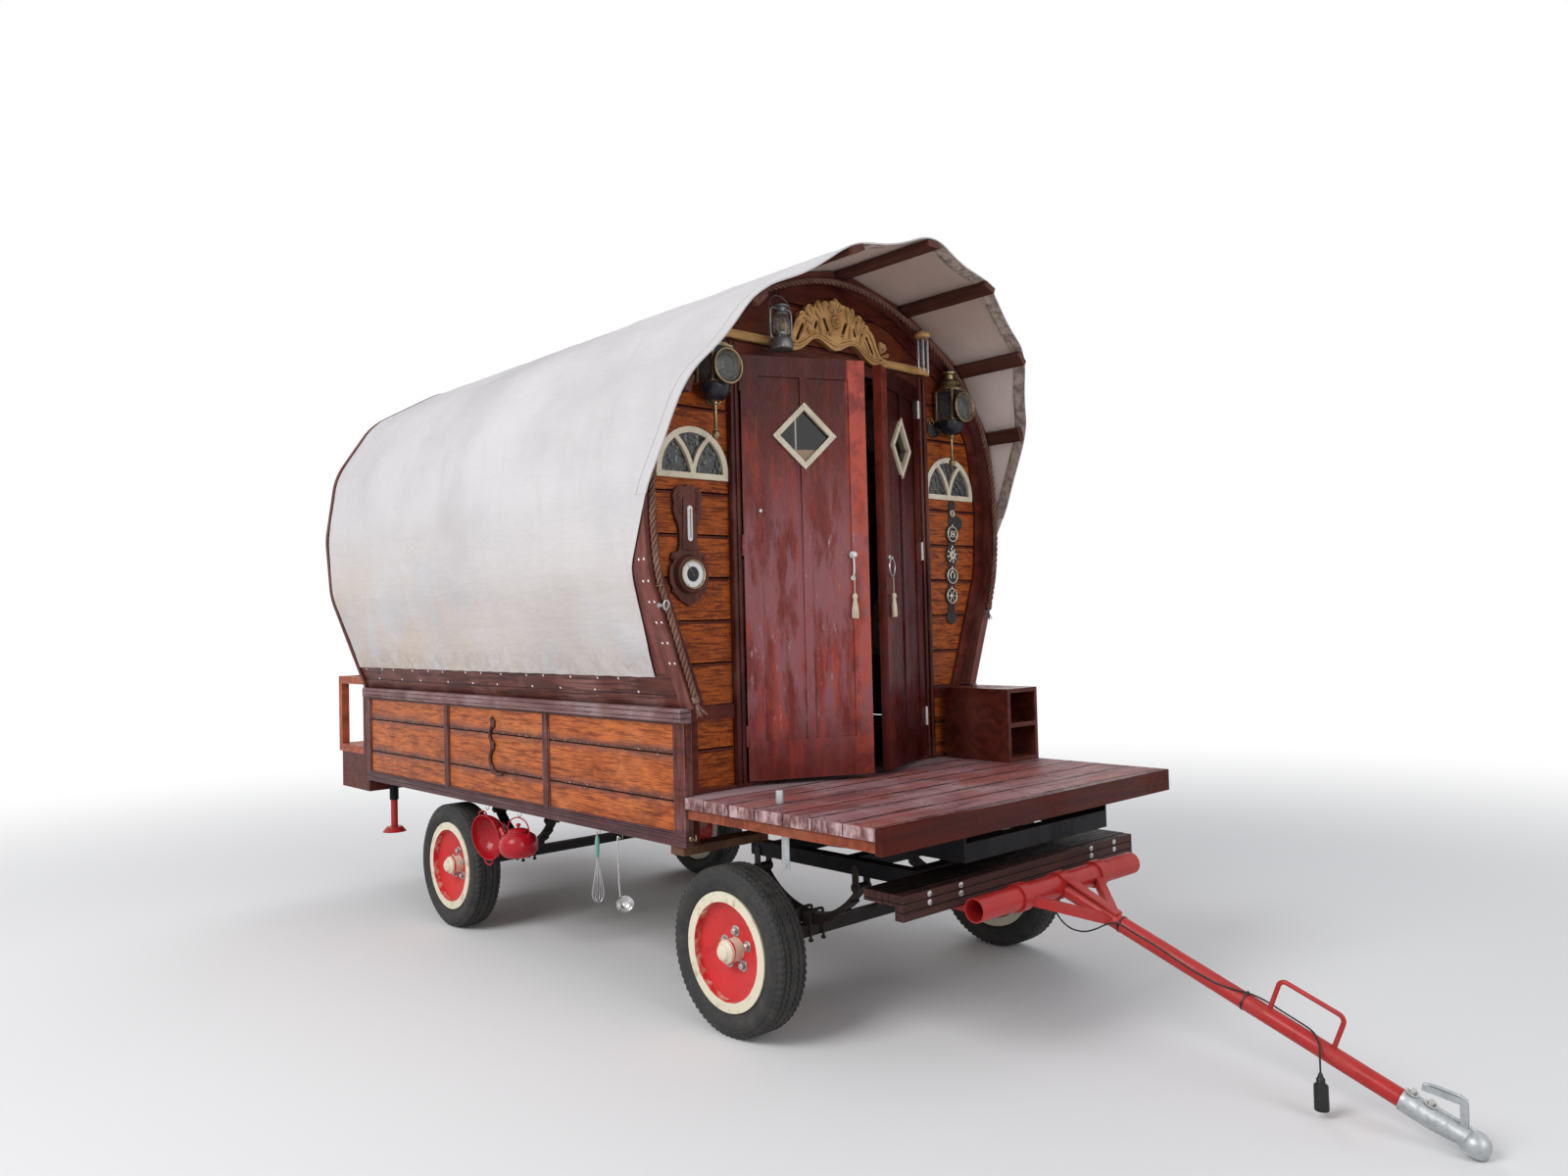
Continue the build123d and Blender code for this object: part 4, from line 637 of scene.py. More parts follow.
# Wheels: red dished discs, cream rim flanges and hubs, ringed round each axle; wheel bolts, hub cap
# seam and a brass valve on each outer face
def wheel_paint(name, axle_x):
    """Crimson disc with a cream hub and rim, by the distance from the axle."""
    made = painted(name, (0.62, 0.026, 0.028), (0.6, 0.075, 0.06), (0.2, 0.05, 0.03), (0.1, 0.055, 0.035),
        patches=0.45, rough=0.4, bump=0.2)
    tree = made.node_tree
    spot = spot_in(tree)
    centred = vectors(tree, "SUBTRACT", spot, (axle_x, 0, axle_z))
    flat_place = drawn_out(tree, centred, (1, 0, 1))
    radius = part(tree, "ShaderNodeVectorMath", {0: flat_place}, operation="LENGTH").outputs["Value"]
    wobble = cloud(tree, spot, 30.0, 2.0, 0.5)
    radius = scaled(tree, wobble, 0.004, radius)
    cream = maths(tree, "MAXIMUM", ramp(tree, radius, 0.1965, 0.1985), ramp(tree, radius, 0.05, 0.0485))
    stains = cloud(tree, spot, 22.0, 5.0, 0.65)
    repaint(made, cream, blend(tree, ramp(tree, stains, 0.5, 0.78), (0.74, 0.68, 0.52), (0.4, 0.27, 0.15)))
    return made


axles = (("front", front_axle_x), ("rear", rear_axle_x))
wheel_places = [(f"{end}_{way}", axle_x, side) for end, axle_x in axles for way, side in (("left", 1),
    ("right", -1))]
wheel_paints = {axle_x: wheel_paint(f"{end}_wheel_paint", axle_x) for end, axle_x in axles}
for corner, axle_x, side in wheel_places:
    dress(f"wheel_{corner}", wheel_paints[axle_x])
    body = f"wheel_{corner}"
    hub_end = side * (wheel_y + 0.08)
    disc_face = side * (wheel_y + 0.01)
    nuts = []
    for number in range(5):
        turn = radians(90 + 72 * number)
        at = (axle_x + bolt_circle * cos(turn), disc_face, axle_z + bolt_circle * sin(turn))
        nuts.append(bolt(at, (0, side, 0), across=0.024, height=0.016))
    finished(nuts, f"{corner}_wheel_nuts", zinc, body, smooth=0)
    cap = turned([(0.0, 0.0135), (0.012, 0.013), (0.024, 0.0105), (0.031, 0.0055), (0.0335, 0.001),
        (0.0345, -0.002), (0.0335, -0.004)], (axle_x, hub_end, axle_z), (0, side, 0), steps=40)
    ring = turned([(0.0455, 0.003), (0.0478, 0.001), (0.0484, -0.003), (0.0478, -0.007), (0.0455, -0.009)],
        (axle_x, hub_end - side * 0.022, axle_z), (0, side, 0), steps=40)
    finished([cap, ring], f"{corner}_hub_cap", wheel_paints[axle_x], body)
    valve = turned([(0.0, 0.034), (0.0032, 0.034), (0.0036, 0.03), (0.0028, 0.028), (0.0028, 0.016),
        (0.005, 0.014), (0.0056, 0.0)], (axle_x + 0.128, side * (wheel_y + 0.026), axle_z + 0.113),
        (0.25, side, 0.22), steps=16)
    finished(valve, f"{corner}_valve", cable_rubber, body)


# Tyres: black cross-ply road tyres with a zigzag tread between ribs, shoulder lugs and moulded rings
tyre_rubber, tree, shader = blank_material("tyre_rubber")
wear_and_shade = aged_and_shaded(tree, 0.003, 9.0)
spot = spot_in(tree)
dust = cloud(tree, spot, 14.0, 6.0, 0.7)
rubber = blend(tree, ramp(tree, dust, 0.4, 0.75, 0.0, 0.75), (0.016, 0.016, 0.017), (0.07, 0.062, 0.052))
rubber = blend(tree, times(tree, wear_and_shade.outputs["Crevice dirt and shade"], 0.5), rubber, (0.085, 0.07, 0.05))
rubber = blend(tree, times(tree, wear_and_shade.outputs["Edges"], 0.35), rubber, (0.06, 0.06, 0.06))
feed(shader, "Base Color", rubber)
feed(shader, "Roughness", ramp(tree, dust, 0.2, 0.8, 0.62, 0.92))
relief(tree, shader, cloud(tree, spot, 180.0, 4.0, 0.6), 0.25, 0.001)

tyre_outline = [(0.2045, 0.06), (0.238, 0.0605), (0.242, 0.064), (0.246, 0.0702), (0.25, 0.0722),
    (0.253, 0.0712), (0.27, 0.0795), (0.286, 0.0822), (0.296, 0.0816), (0.301, 0.079), (0.304, 0.08),
    (0.312, 0.0745), (0.3165, 0.0712), (0.329, 0.0668), (0.3344, 0.06)]
tread_rows = ((0.0545, 0.3345, 0.0), (0.05, 0.3346, 0.5), (0.047, 0.3265, 0.5), (0.044, 0.3265, 0.5),
    (0.041, 0.3347, 0.5), (0.025, 0.3348, 1.0), (0.022, 0.3262, 1.0), (0.0185, 0.3262, 1.0),
    (0.0155, 0.3348, 1.0), (0.0, 0.335, 1.0))
lug_count = 72
around = lug_count * 4
zigzag = 0.0042


def treaded_tyre(axle_x, side):
    """One tyre: its outline spun in short steps, with the tread's grooves swung to and fro and
    the shoulder cut into lugs."""
    rows = [(r, y, 0.0) for r, y in tyre_outline] + [(r, y, swing) for y, r, swing in tread_rows]
    rows += [(r, -y, swing) for r, y, swing in reversed(rows[:-1])]
    tube = new_primitive("grid", x_subdivisions=around, y_subdivisions=len(rows) - 1, size=1)
    across = len(rows)
    for point in tube.data.vertices:
        row = round((point.co.y + 0.5) * (across - 1))
        step = round((point.co.x + 0.5) * around)
        radius, y, swing = rows[row]
        phase = step % 4
        sway = zigzag * swing * (1, 0, -1, 0)[phase]
        lug = abs(y) > 0.054 and radius > 0.313
        sunk = 0.0055 if lug and phase in (0, 1) else 0.0
        turn = 2 * pi * step / around
        reach = radius - sunk
        point.co = (axle_x + reach * cos(turn), side * wheel_y + y + sway, axle_z + reach * sin(turn))
    bpy.ops.object.mode_set(mode="EDIT")
    bpy.ops.mesh.select_all(action="SELECT")
    bpy.ops.mesh.remove_doubles(threshold=0.00002)
    bpy.ops.mesh.select_all(action="DESELECT")
    bpy.ops.mesh.select_non_manifold()
    bpy.ops.mesh.bridge_edge_loops()
    bpy.ops.mesh.select_all(action="SELECT")
    bpy.ops.mesh.normals_make_consistent(inside=False)
    bpy.ops.object.mode_set(mode="OBJECT")
    return tube


for corner, axle_x, side in wheel_places:
    tread = finished(treaded_tyre(axle_x, side), f"{corner}_treaded_tyre", tyre_rubber, f"wheel_{corner}")
    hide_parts(f"tyre_{corner}")


# Jacks: red legs in black sleeves at the rear corners. Each leg slides over a guide tube fixed in its sleeve,
# and its threaded screw runs up inside the tube, so the leg is still held with the foot on the ground
screw_foot, screw_pitch, screw_turns = 0.51, 0.006, 48
guide_foot, guide_length = 0.395, 0.345
screw_line = [(0.0, 0.0)]
for number in range(screw_turns):
    screw_line += [(0.0136, screw_pitch * number), (0.016, screw_pitch * (number + 0.5))]
screw_line += [(0.0136, screw_pitch * screw_turns), (0.0, screw_pitch * screw_turns)]
guide_line = [(0.0, 0.0), (0.0172, 0.0), (0.0187, 0.0015), (0.0187, guide_length), (0.0, guide_length)]
for side in ("left", "right"):
    dress(f"jack_leg_{side}", red_enamel)
    leg_low, leg_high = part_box(f"jack_leg_{side}")
    leg_middle = ((leg_low[0] + leg_high[0]) / 2, (leg_low[1] + leg_high[1]) / 2)
    screw = turned(screw_line, (*leg_middle, screw_foot), steps=20)
    finished(screw, f"jack_screw_{side}", spring_steel, f"jack_{side}", smooth=60)
    guide = turned(guide_line, (*leg_middle, guide_foot), steps=28)
    finished(guide, f"jack_guide_{side}", black_iron, "wagon", smooth=40)


# Deck: seven maroon planks laid across the wagon, worn pink along their edges and end grain, on a
# red-brown frame with a deep front board
plank_start, plank_pitch = 0.5358, 0.15414
deck_boards = wooden("deck_boards", (0.33, 0.155, 0.165), (0.12, 0.042, 0.042), (0.5, 0.36, 0.37),
    (0.03, 0.014, 0.012), stretch=(9.0, 0.8, 9.0), board=(plank_pitch, 9.0, 9.0),
    start=(plank_start, -4.5, -4.5), wear=0.9, patches=0.6, crevice_dirt_and_shade=0.9, rough=0.62, bump=0.55, edge_width=0.007,
    patch_scale=4.0)
tree = deck_boards.node_tree
spot = spot_in(tree)
split = axes(tree, spot)
trodden = ramp(tree, cloud(tree, drawn_out(tree, spot, (2.4, 1.1, 1)), 1.7, 5.0, 0.65), 0.44, 0.62, 0.0, 0.62)
repaint(deck_boards, trodden, (0.27, 0.062, 0.045))
repaint(deck_boards, ramp(tree, split["X"], 0.7, 0.685, 0.0, 0.75), (0.36, 0.27, 0.29))
worn_margins(deck_boards, "X", plank_start, plank_pitch, 0.012, (0.022, 0.008, 0.007), 1.0, 0.6)
sides = axes(tree, part(tree, "ShaderNodeNewGeometry").outputs["Normal"])["Y"]
end_grain = cloud(tree, drawn_out(tree, spot, (26, 10, 12)), 1.0, 6.0, 0.66)
cut_end = blend(tree, ramp(tree, end_grain, 0.36, 0.66), (0.135, 0.05, 0.048), (0.56, 0.39, 0.39))
repaint(deck_boards, ramp(tree, maths(tree, "ABSOLUTE", sides), 0.6, 0.9, 0.0, 0.92), cut_end)
dress("deck_planks", deck_boards)
fascia_stain = wooden("fascia_stain", (0.3, 0.064, 0.026), (0.12, 0.021, 0.01), (0.42, 0.17, 0.1),
    (0.025, 0.009, 0.007), stretch=(9.0, 0.7, 9.0), wear=0.8, patches=0.35, rough=0.45, edge_width=0.006)
tree = fascia_stain.node_tree
split = axes(tree, spot_in(tree))
# Painted shade: the fascia's front face, forward of x 1.62, is multiplied darker as if in shadow.
repaint(fascia_stain, ramp(tree, split["X"], 1.618, 1.628), (0.25, 0.08, 0.034), "MULTIPLY")
dress("deck_frame", fascia_stain)


def board(low, high, rounding=0.003, cuts=0, wave=0.0, seed=0):
    """A sawn board between two corners: softened edges and a slightly uneven face."""
    piece = new_primitive("cube", size=1)
    piece.scale, piece.location = Vector(high) - Vector(low), (Vector(low) + Vector(high)) / 2
    bpy.ops.object.transform_apply(location=True, scale=True)
    softened = piece.modifiers.new("softened", "BEVEL")
    softened.width, softened.segments = rounding, 3
    apply_all(piece)
    if cuts:
        reshape((bpy.ops.mesh.subdivide, {"number_cuts": cuts}))
        chance = random.Random(seed)
        for point in piece.data.vertices:
            point.co += Vector([chance.uniform(-wave, wave) for _ in range(3)])
    return piece


deck_trim = [board((1.6265, -0.9605, 0.8825), (1.6573, -0.9135, 0.9285), 0.004), board((1.6265, 0.9135, 0.8825),
    (1.6573, 0.9605, 0.9285), 0.004)]
finished(deck_trim, "deck_corner_blocks", fascia_stain, "wagon")
deck_screws = []
for number in range(7):
    x = 0.5383 + number * plank_pitch + 0.0745
    for y in (-0.92, -0.45, 0.0, 0.45, 0.92):
        for step in (-0.035, 0.035):
            deck_screws.append(turned([(0.0, 0.0012), (0.0042, 0.0009), (0.0052, 0.0)], (x + step, y, 0.928),
                steps=10))
finished(deck_screws, "deck_screws", black_iron, "wagon")
pipe_stub = turned([(0.0155, 0.0), (0.0155, 0.047), (0.0145, 0.05), (0.0125, 0.05), (0.012, 0.047),
    (0.012, 0.004), (0.0, 0.004)], (0.973, -0.8, 0.9275), steps=28)
finished(pipe_stub, "deck_pipe_stub", galvanised, "wagon")
hanger = board((1.09, -0.902, 0.7), (1.13, -0.896, 0.862), 0.0015)
hanger_bolts = [bolt((1.11, -0.902, z), (0, -1, 0), across=0.014, height=0.006) for z in (0.722, 0.846)]
finished([hanger, *hanger_bolts], "deck_hanging_bar", galvanised, "wagon")


# Body: framed side panels of three bays, with three boards in each, varnished over a wavy brushed
# grain, above the boarded floor
side_start, side_pitch = 0.712, 0.196
side_varnish = wooden("side_varnish", (0.68, 0.175, 0.036), (0.15, 0.022, 0.007), (0.56, 0.3, 0.17),
    (0.035, 0.015, 0.01), stretch=(3.4, 9.0, 9.0), board=(1.048, 9.0, side_pitch),
    start=(-2.623, -4.5, side_start), figure=0.24, wear=0.75, patches=0.3, crevice_dirt_and_shade=1.0, rough=0.42, bump=0.4,
    edge_width=0.006)
streaked(side_varnish, (6.0, 9, 105), 0.5, 0.62, (0.115, 0.018, 0.006), 0.72)
streaked(side_varnish, (3.4, 1, 7.0), 0.5, 0.66, (0.13, 0.024, 0.01), 0.55)
streaked(side_varnish, (2.6, 1, 5.0), 0.56, 0.72, (0.78, 0.26, 0.06), 0.35)
worn_margins(side_varnish, "Z", side_start, side_pitch, 0.046, (0.185, 0.066, 0.05), 0.62)
worn_margins(side_varnish, "Z", side_start, side_pitch, 0.017, (0.085, 0.03, 0.022), 0.9, 1.0)
dress("side_boards", side_varnish)
frame_stain = wooden("frame_stain", (0.15, 0.036, 0.026), (0.06, 0.012, 0.01), (0.34, 0.2, 0.19),
    (0.022, 0.009, 0.008), stretch=(1.2, 9.0, 9.0), wear=0.9, patches=0.75, rough=0.45, edge_width=0.005)
tree = frame_stain.node_tree
height = axes(tree, spot_in(tree))["Z"]
on_stiles = times(tree, ramp(tree, height, 0.777, 0.779), ramp(tree, height, 1.229, 1.227))
on_rails = scaled(tree, on_stiles, -1.0, 1.0)
for where, dark_scale, pale_scale in ((on_rails, (3.5, 9, 110), (2.2, 9, 80)), (on_stiles, (110, 90, 3.5),
        (80, 70, 2.2))):
    streaked(frame_stain, dark_scale, 0.5, 0.6, (0.026, 0.008, 0.007), 0.75, where)
    streaked(frame_stain, pale_scale, 0.6, 0.68, (0.36, 0.22, 0.21), 0.55, where)
repaint(frame_stain, ramp(tree, height, 0.8, 0.775, 0.0, 0.55), (0.066, 0.036, 0.046))
for groove in (0.7475, 0.764):
    worn_margins(frame_stain, "Z", groove, 9.0, 0.003, (0.014, 0.006, 0.006), 0.9)
dress("side_frames", frame_stain)
floor_boards = wooden("floor_boards", (0.22, 0.105, 0.055), (0.1, 0.045, 0.025), (0.3, 0.2, 0.14),
    (0.03, 0.02, 0.015), board=(9.0, 0.14, 9.0), rough=0.6)
dress("floor", floor_boards)
weathered_ledge = wooden("weathered_ledge", (0.245, 0.135, 0.135), (0.105, 0.042, 0.04), (0.46, 0.35, 0.36),
    (0.04, 0.018, 0.016), stretch=(1.0, 9.0, 11.0), wear=0.8, patches=0.75, rough=0.66, bump=0.5,
    edge_width=0.01)
for groove in (1.25, 1.2735):
    worn_margins(weathered_ledge, "Z", groove, 9.0, 0.0034, (0.034, 0.015, 0.015), 0.9)
dress("ledge", weathered_ledge)
rail_varnish = wooden("rail_varnish", (0.155, 0.038, 0.026), (0.05, 0.011, 0.008), (0.33, 0.18, 0.16),
    (0.02, 0.009, 0.008), stretch=(1.1, 9.0, 10.0), wear=0.5, patches=0.7, rough=0.45)
streaked(rail_varnish, (2.6, 9, 70), 0.5, 0.62, (0.024, 0.008, 0.007), 0.7)
worn_margins(rail_varnish, "Z", 1.344, 9.0, 0.0035, (0.012, 0.005, 0.004), 1.0)
dress("canvas_rails", rail_varnish)


# Rear: a maroon boarded wall with its curved edge board, an open rack and a closed pan box
rack_stain = wooden("rack_stain", (0.5, 0.125, 0.055), (0.22, 0.044, 0.02), (0.52, 0.28, 0.19),
    (0.03, 0.01, 0.008), stretch=(6.0, 1.2, 6.0), wear=0.7, patches=0.4)
dress("rear_rack", rack_stain)
wall_maroon = wooden("wall_maroon", (0.115, 0.02, 0.013), (0.042, 0.007, 0.005), (0.3, 0.1, 0.07),
    (0.018, 0.007, 0.006), stretch=(9.0, 1.0, 9.0), patches=0.35, rough=0.46)
rear_varnish = wooden("rear_varnish", (0.4, 0.09, 0.02), (0.14, 0.022, 0.007), (0.44, 0.25, 0.16),
    (0.03, 0.012, 0.008), stretch=(9.0, 1.4, 8.0), board=(9.0, 9.0, 0.181), start=(-4.5, -4.5, 0.782),
    rings=8.0, crevice_dirt_and_shade=1.0)
dress("rear_frame", wall_maroon)
dress("rear_boards", rear_varnish)
dress("pan_box", wall_maroon)


# Bows and purlins: dark varnished ash bows and boards under the canvas
bow_stain = wooden("bow_stain", (0.205, 0.058, 0.045), (0.072, 0.018, 0.015), (0.38, 0.2, 0.17),
    (0.022, 0.009, 0.008), stretch=(9.0, 3.0, 1.5), patches=0.4, rough=0.45)
dress("front_bow", bow_stain)
dress("middle_bows", bow_stain)
purlin_stain = wooden("purlin_stain", (0.12, 0.04, 0.028), (0.046, 0.014, 0.01), (0.24, 0.14, 0.11),
    (0.02, 0.009, 0.008), stretch=(1.0, 9.0, 9.0), wear=0.5)
dress("purlins", purlin_stain)


# Front wall: orange varnished boards with dark grooves in a maroon frame, between two fan windows
wall_start, wall_pitch = 0.928, 0.181
front_varnish = wooden("front_varnish", (0.52, 0.116, 0.017), (0.095, 0.012, 0.003), (0.46, 0.16, 0.05),
    (0.025, 0.009, 0.006), stretch=(9.0, 3.0, 11.0), board=(9.0, 1.2, wall_pitch),
    start=(-4.5, -1.8, wall_start), rings=9.0, figure=0.36, wear=0.4, patches=0.2, crevice_dirt_and_shade=1.0, rough=0.38)
streaked(front_varnish, (9, 9, 115), 0.48, 0.62, (0.07, 0.01, 0.003), 0.8)
tree = front_varnish.node_tree
height = axes(tree, spot_in(tree))["Z"]
# Painted shade: the boards are darkened from 2.55 m up towards the top, as the shadow under the hood.
repaint(front_varnish, ramp(tree, height, 2.55, 2.92, 0.0, 0.72), (0.07, 0.017, 0.014))
dress("front_boards", front_varnish)
dress("front_frame", wall_maroon)
aged_cream = painted("aged_cream", (0.72, 0.65, 0.5), (0.6, 0.5, 0.35), (0.25, 0.12, 0.07),
    (0.13, 0.075, 0.045), chips=0.6, patches=0.5, crevice_dirt_and_shade=0.9, rough=0.5)
dress("fan_frames", aged_cream)
hammered_glass, tree, shader = blank_material("hammered_glass")
feed(shader, "Base Color", (0.115, 0.118, 0.12, 1))
feed(shader, "Roughness", 0.12)
feed(shader, "IOR", 1.5)
feed(shader, "Transmission Weight", 0.55)
spot = spot_in(tree)
dimples = part(tree, "ShaderNodeTexVoronoi", {"Vector": spot, "Scale": 46.0},
    feature="SMOOTH_F1").outputs["Distance"]
relief(tree, shader, dimples, 1.0, 0.012)
dress("fan_glass", hammered_glass)
clear_glass, tree, shader = blank_material("dark_pane")
feed(shader, "IOR", 1.3)
spot = spot_in(tree)
split = axes(tree, spot)
smears = cloud(tree, spot, 9.0, 6.0, 0.7)
# The pane's colour: near black, with a pale upright strip and a warm band below 2.4 m painted into it.
pale_strip = ramp(tree, maths(tree, "ABSOLUTE", scaled(tree, split["Y"], 1.0, 0.35)), 0.0036, 0.0026)
pane_tones = blend(tree, pale_strip, (0.005, 0.005, 0.006), (0.46, 0.42, 0.36))
pane_tones = blend(tree, ramp(tree, scaled(tree, smears, 0.01, split["Z"]), 2.408, 2.402), pane_tones,
    (0.34, 0.215, 0.135))
feed(shader, "Base Color", pane_tones)
feed(shader, "Roughness", ramp(tree, smears, 0.3, 0.8, 0.04, 0.24))
relief(tree, shader, cloud(tree, spot, 6.0, 1.0, 0.4), 0.12, 0.01)
dress("door_glass_left", clear_glass)
dress("door_glass_right", clear_glass)


# Doors: framed leaves in old maroon gloss, rubbed through to red lead along the free stiles, with painted
#  shadow under the hood, a painted highlight up the free stiles and the left leaf painted darker as shade
def door_paint(name, hinge_y, side, shade):
    """One leaf's paint: blotched with faded bloom that is partly a painted sheen, scuffed and rubbed, with a
    painted shadow under the hood, a painted highlight up the free stile and darker at the foot; a shade
    below 1 darkens the whole leaf and its gloss as painted shade.
    """
    def shaded(*colour):
        return tuple(shade * share for share in colour)

    made = wooden(name, shaded(0.235, 0.034, 0.025), shaded(0.08, 0.009, 0.008), shaded(0.34, 0.12, 0.1),
        (0.012, 0.003, 0.003), stretch=(9.0, 9.0, 1.1), rings=5.0, figure=0.34, wear=0.55, patches=0.3,
        crevice_dirt_and_shade=1.0, rough=0.34, bump=0.3, edge_width=0.005, patch_scale=5.0)
    tree = made.node_tree
    feed(shader_of(made), "Specular IOR Level", 0.15 * shade)
    spot = spot_in(tree)
    split = axes(tree, spot)
    height = split["Z"]
    middle = times(tree, ramp(tree, height, 0.95, 1.35), ramp(tree, height, 2.45, 1.95))
    # Pale purplish blotches in the leaf's middle: faded bloom of the paint, partly a painted sheen of sky
    # reflection.
    blotches = cloud(tree, drawn_out(tree, spot, (7, 7, 1.7)), 1.5, 9.0, 0.66)
    bloom_and_sheen = times(tree, ramp(tree, blotches, 0.42, 0.56, 0.0, 0.74), middle)
    repaint(made, bloom_and_sheen, shaded(0.275, 0.108, 0.122))
    lead = cloud(tree, drawn_out(tree, spot, (11, 11, 2.0)), 1.5, 9.0, 0.7)
    repaint(made, ramp(tree, lead, 0.52, 0.66, 0.0, 0.7), shaded(0.38, 0.046, 0.02))
    scuffs = cloud(tree, drawn_out(tree, spot, (14, 14, 5)), 2.2, 9.0, 0.78)
    scuffed = times(tree, ramp(tree, scuffs, 0.6, 0.655, 0.0, 0.8), middle)
    repaint(made, scuffed, shaded(0.42, 0.27, 0.26))
    from_hinge = scaled(tree, split["Y"], side, -side * hinge_y)
    rubbed = times(tree, ramp(tree, from_hinge, 0.44, 0.475), ramp(tree, cloud(tree, spot, 11.0, 6.0, 0.7),
        0.36, 0.6))
    repaint(made, times(tree, rubbed, 0.7), shaded(0.4, 0.07, 0.04))
    # Painted light and shade, multiplied over the paint: a shadow under the hood above 2.1 m, a highlight
    # growing up the free stile, and darker at the foot.
    under_hood = ramp(tree, height, 2.1, 2.8, 1.0, 0.36)
    on_stile = times(tree, ramp(tree, from_hinge, 0.452, 0.468), ramp(tree, height, 1.3, 2.7, 0.66, 1.45))
    near_foot = ramp(tree, height, 0.95, 1.3, 0.72, 1.12)
    shadow = times(tree, maths(tree, "MAXIMUM", under_hood, on_stile), near_foot)
    grey = part(tree, "ShaderNodeCombineColor", {0: shadow, 1: shadow, 2: shadow}).outputs[0]
    repaint(made, 1.0, grey, "MULTIPLY")
    return made


dress("door_right", door_paint("right_leaf_paint", -0.594, 1, 1.0))
# The left leaf is the same paint at about a third of the brightness and gloss: painted shade.
dress("door_left", door_paint("left_leaf_paint_shaded", 0.594, -1, 0.34))
dress("door_window_left", aged_cream)
dress("door_window_right", aged_cream)
dress("porch_locker", wall_maroon)


# Crest: ochre varnished carving
carving_varnish = wooden("carving_varnish", (0.74, 0.435, 0.175), (0.44, 0.225, 0.085), (0.78, 0.56, 0.3),
    (0.06, 0.024, 0.01), stretch=(6.0, 1.5, 5.0), crevice_dirt_and_shade=1.0, rough=0.4)
dress("crest", carving_varnish)


# Lamps: black japanned carriage lamps
japanned = painted("japanned_black", (0.012, 0.012, 0.018), (0.03, 0.03, 0.045), (0.26, 0.17, 0.07),
    (0.05, 0.045, 0.04), chips=0.6, rough=0.3, bump=0.1)
dress("lamps", japanned)


# Canvas cover: one sheet of off-white cotton canvas drawn over the bows and purlins, nailed along the
# rails, with its front swept forward as a hood. It is cut as one piece and hemmed along the hood.
bow_corners = [(0.935, 1.29), (1.14, 1.85), (1.165, 2.2), (1.105, 2.59), (0.875, 2.93), (0.445, 3.175)]
bow_ridge = 3.283
bow_corner_r = 0.4
canvas_low = 1.421
hood_edge = [(-0.15, 1.421), (-0.075, 1.88), (0.175, 2.4), (0.44, 2.945), (0.622, 3.33)]
wall_face = 0.573
cover_back = -2.6725


def bow_line(steps=16):
    """Points across the wagon along the bows' outer outline, over the ridge from right to left."""
    lean = (bow_corners[1][0] - bow_corners[0][0]) / (bow_corners[1][1] - bow_corners[0][1])
    low = (bow_corners[0][0] + (canvas_low - bow_corners[0][1]) * lean, canvas_low)
    half = [low] + bow_corners[1:]
    corners = [Vector((-y, z)) for y, z in half] + [Vector((0, bow_ridge))] + [Vector((y, z))
        for y, z in reversed(half)]
    line = [corners[0]]
    for before, corner, after in zip(corners, corners[1:], corners[2:]):
        back, on = (before - corner).normalized(), (after - corner).normalized()
        half_angle = back.angle(on) / 2
        middle = corner + (back + on).normalized() * (bow_corner_r / sin(half_angle))
        foot = bow_corner_r / tan(half_angle)
        start, end = corner + back * foot, corner + on * foot
        first = atan2(start.y - middle.y, start.x - middle.x)
        sweep = remainder(atan2(end.y - middle.y, end.x - middle.x) - first, 2 * pi)
        for step in range(steps + 1):
            turn = first + sweep * step / steps
            line.append(middle + bow_corner_r * Vector((cos(turn), sin(turn))))
    line.append(corners[-1])
    return line


def along_line(line, share):
    """The point and the outward normal at a share of the line's length."""
    target = share * bow_lengths[-1]
    number = 1
    while number < len(line) - 1 and bow_lengths[number] < target:
        number += 1
    run = bow_lengths[number] - bow_lengths[number - 1]
    within = (target - bow_lengths[number - 1]) / run if run else 0.0
    run_vector = line[number] - line[number - 1]
    point = line[number - 1] + run_vector * within
    normal = Vector((-run_vector.y, run_vector.x)).normalized()
    return point, normal


bow_points = bow_line()
bow_lengths = [0.0]
for before, after in zip(bow_points, bow_points[1:]):
    bow_lengths.append(bow_lengths[-1] + (after - before).length)


def hood_reach(z):
    """How far forward of the wall's face the canvas reaches at this height."""
    for (low_x, low_z), (high_x, high_z) in zip(hood_edge, hood_edge[1:]):
        if z <= high_z:
            return low_x + (high_x - low_x) * (z - low_z) / (high_z - low_z)
    return hood_edge[-1][0]


bow_places = [-2.6905, -1.8727, -1.0725, -0.2723, 0.563]
purlin_shares = []
for corner in ((-1.165, 2.2), (-1.105, 2.59), (-0.875, 2.93), (-0.445, 3.175), (0, 3.283)):
    nearest = min(range(len(bow_points)), key=lambda number: (bow_points[number] - Vector(corner)).length)
    purlin_shares.append(bow_lengths[nearest] / bow_lengths[-1])
purlin_shares = [0.0] + purlin_shares[1:] + [1 - share for share in reversed(purlin_shares[1:-1])] + [1.0]


def sag_between(value, stops):
    """0 at each stop and 1 halfway between two of them."""
    for low, high in zip(stops, stops[1:]):
        if low <= value <= high:
            return sin(pi * (value - low) / (high - low)) ** 2
    return 1.0


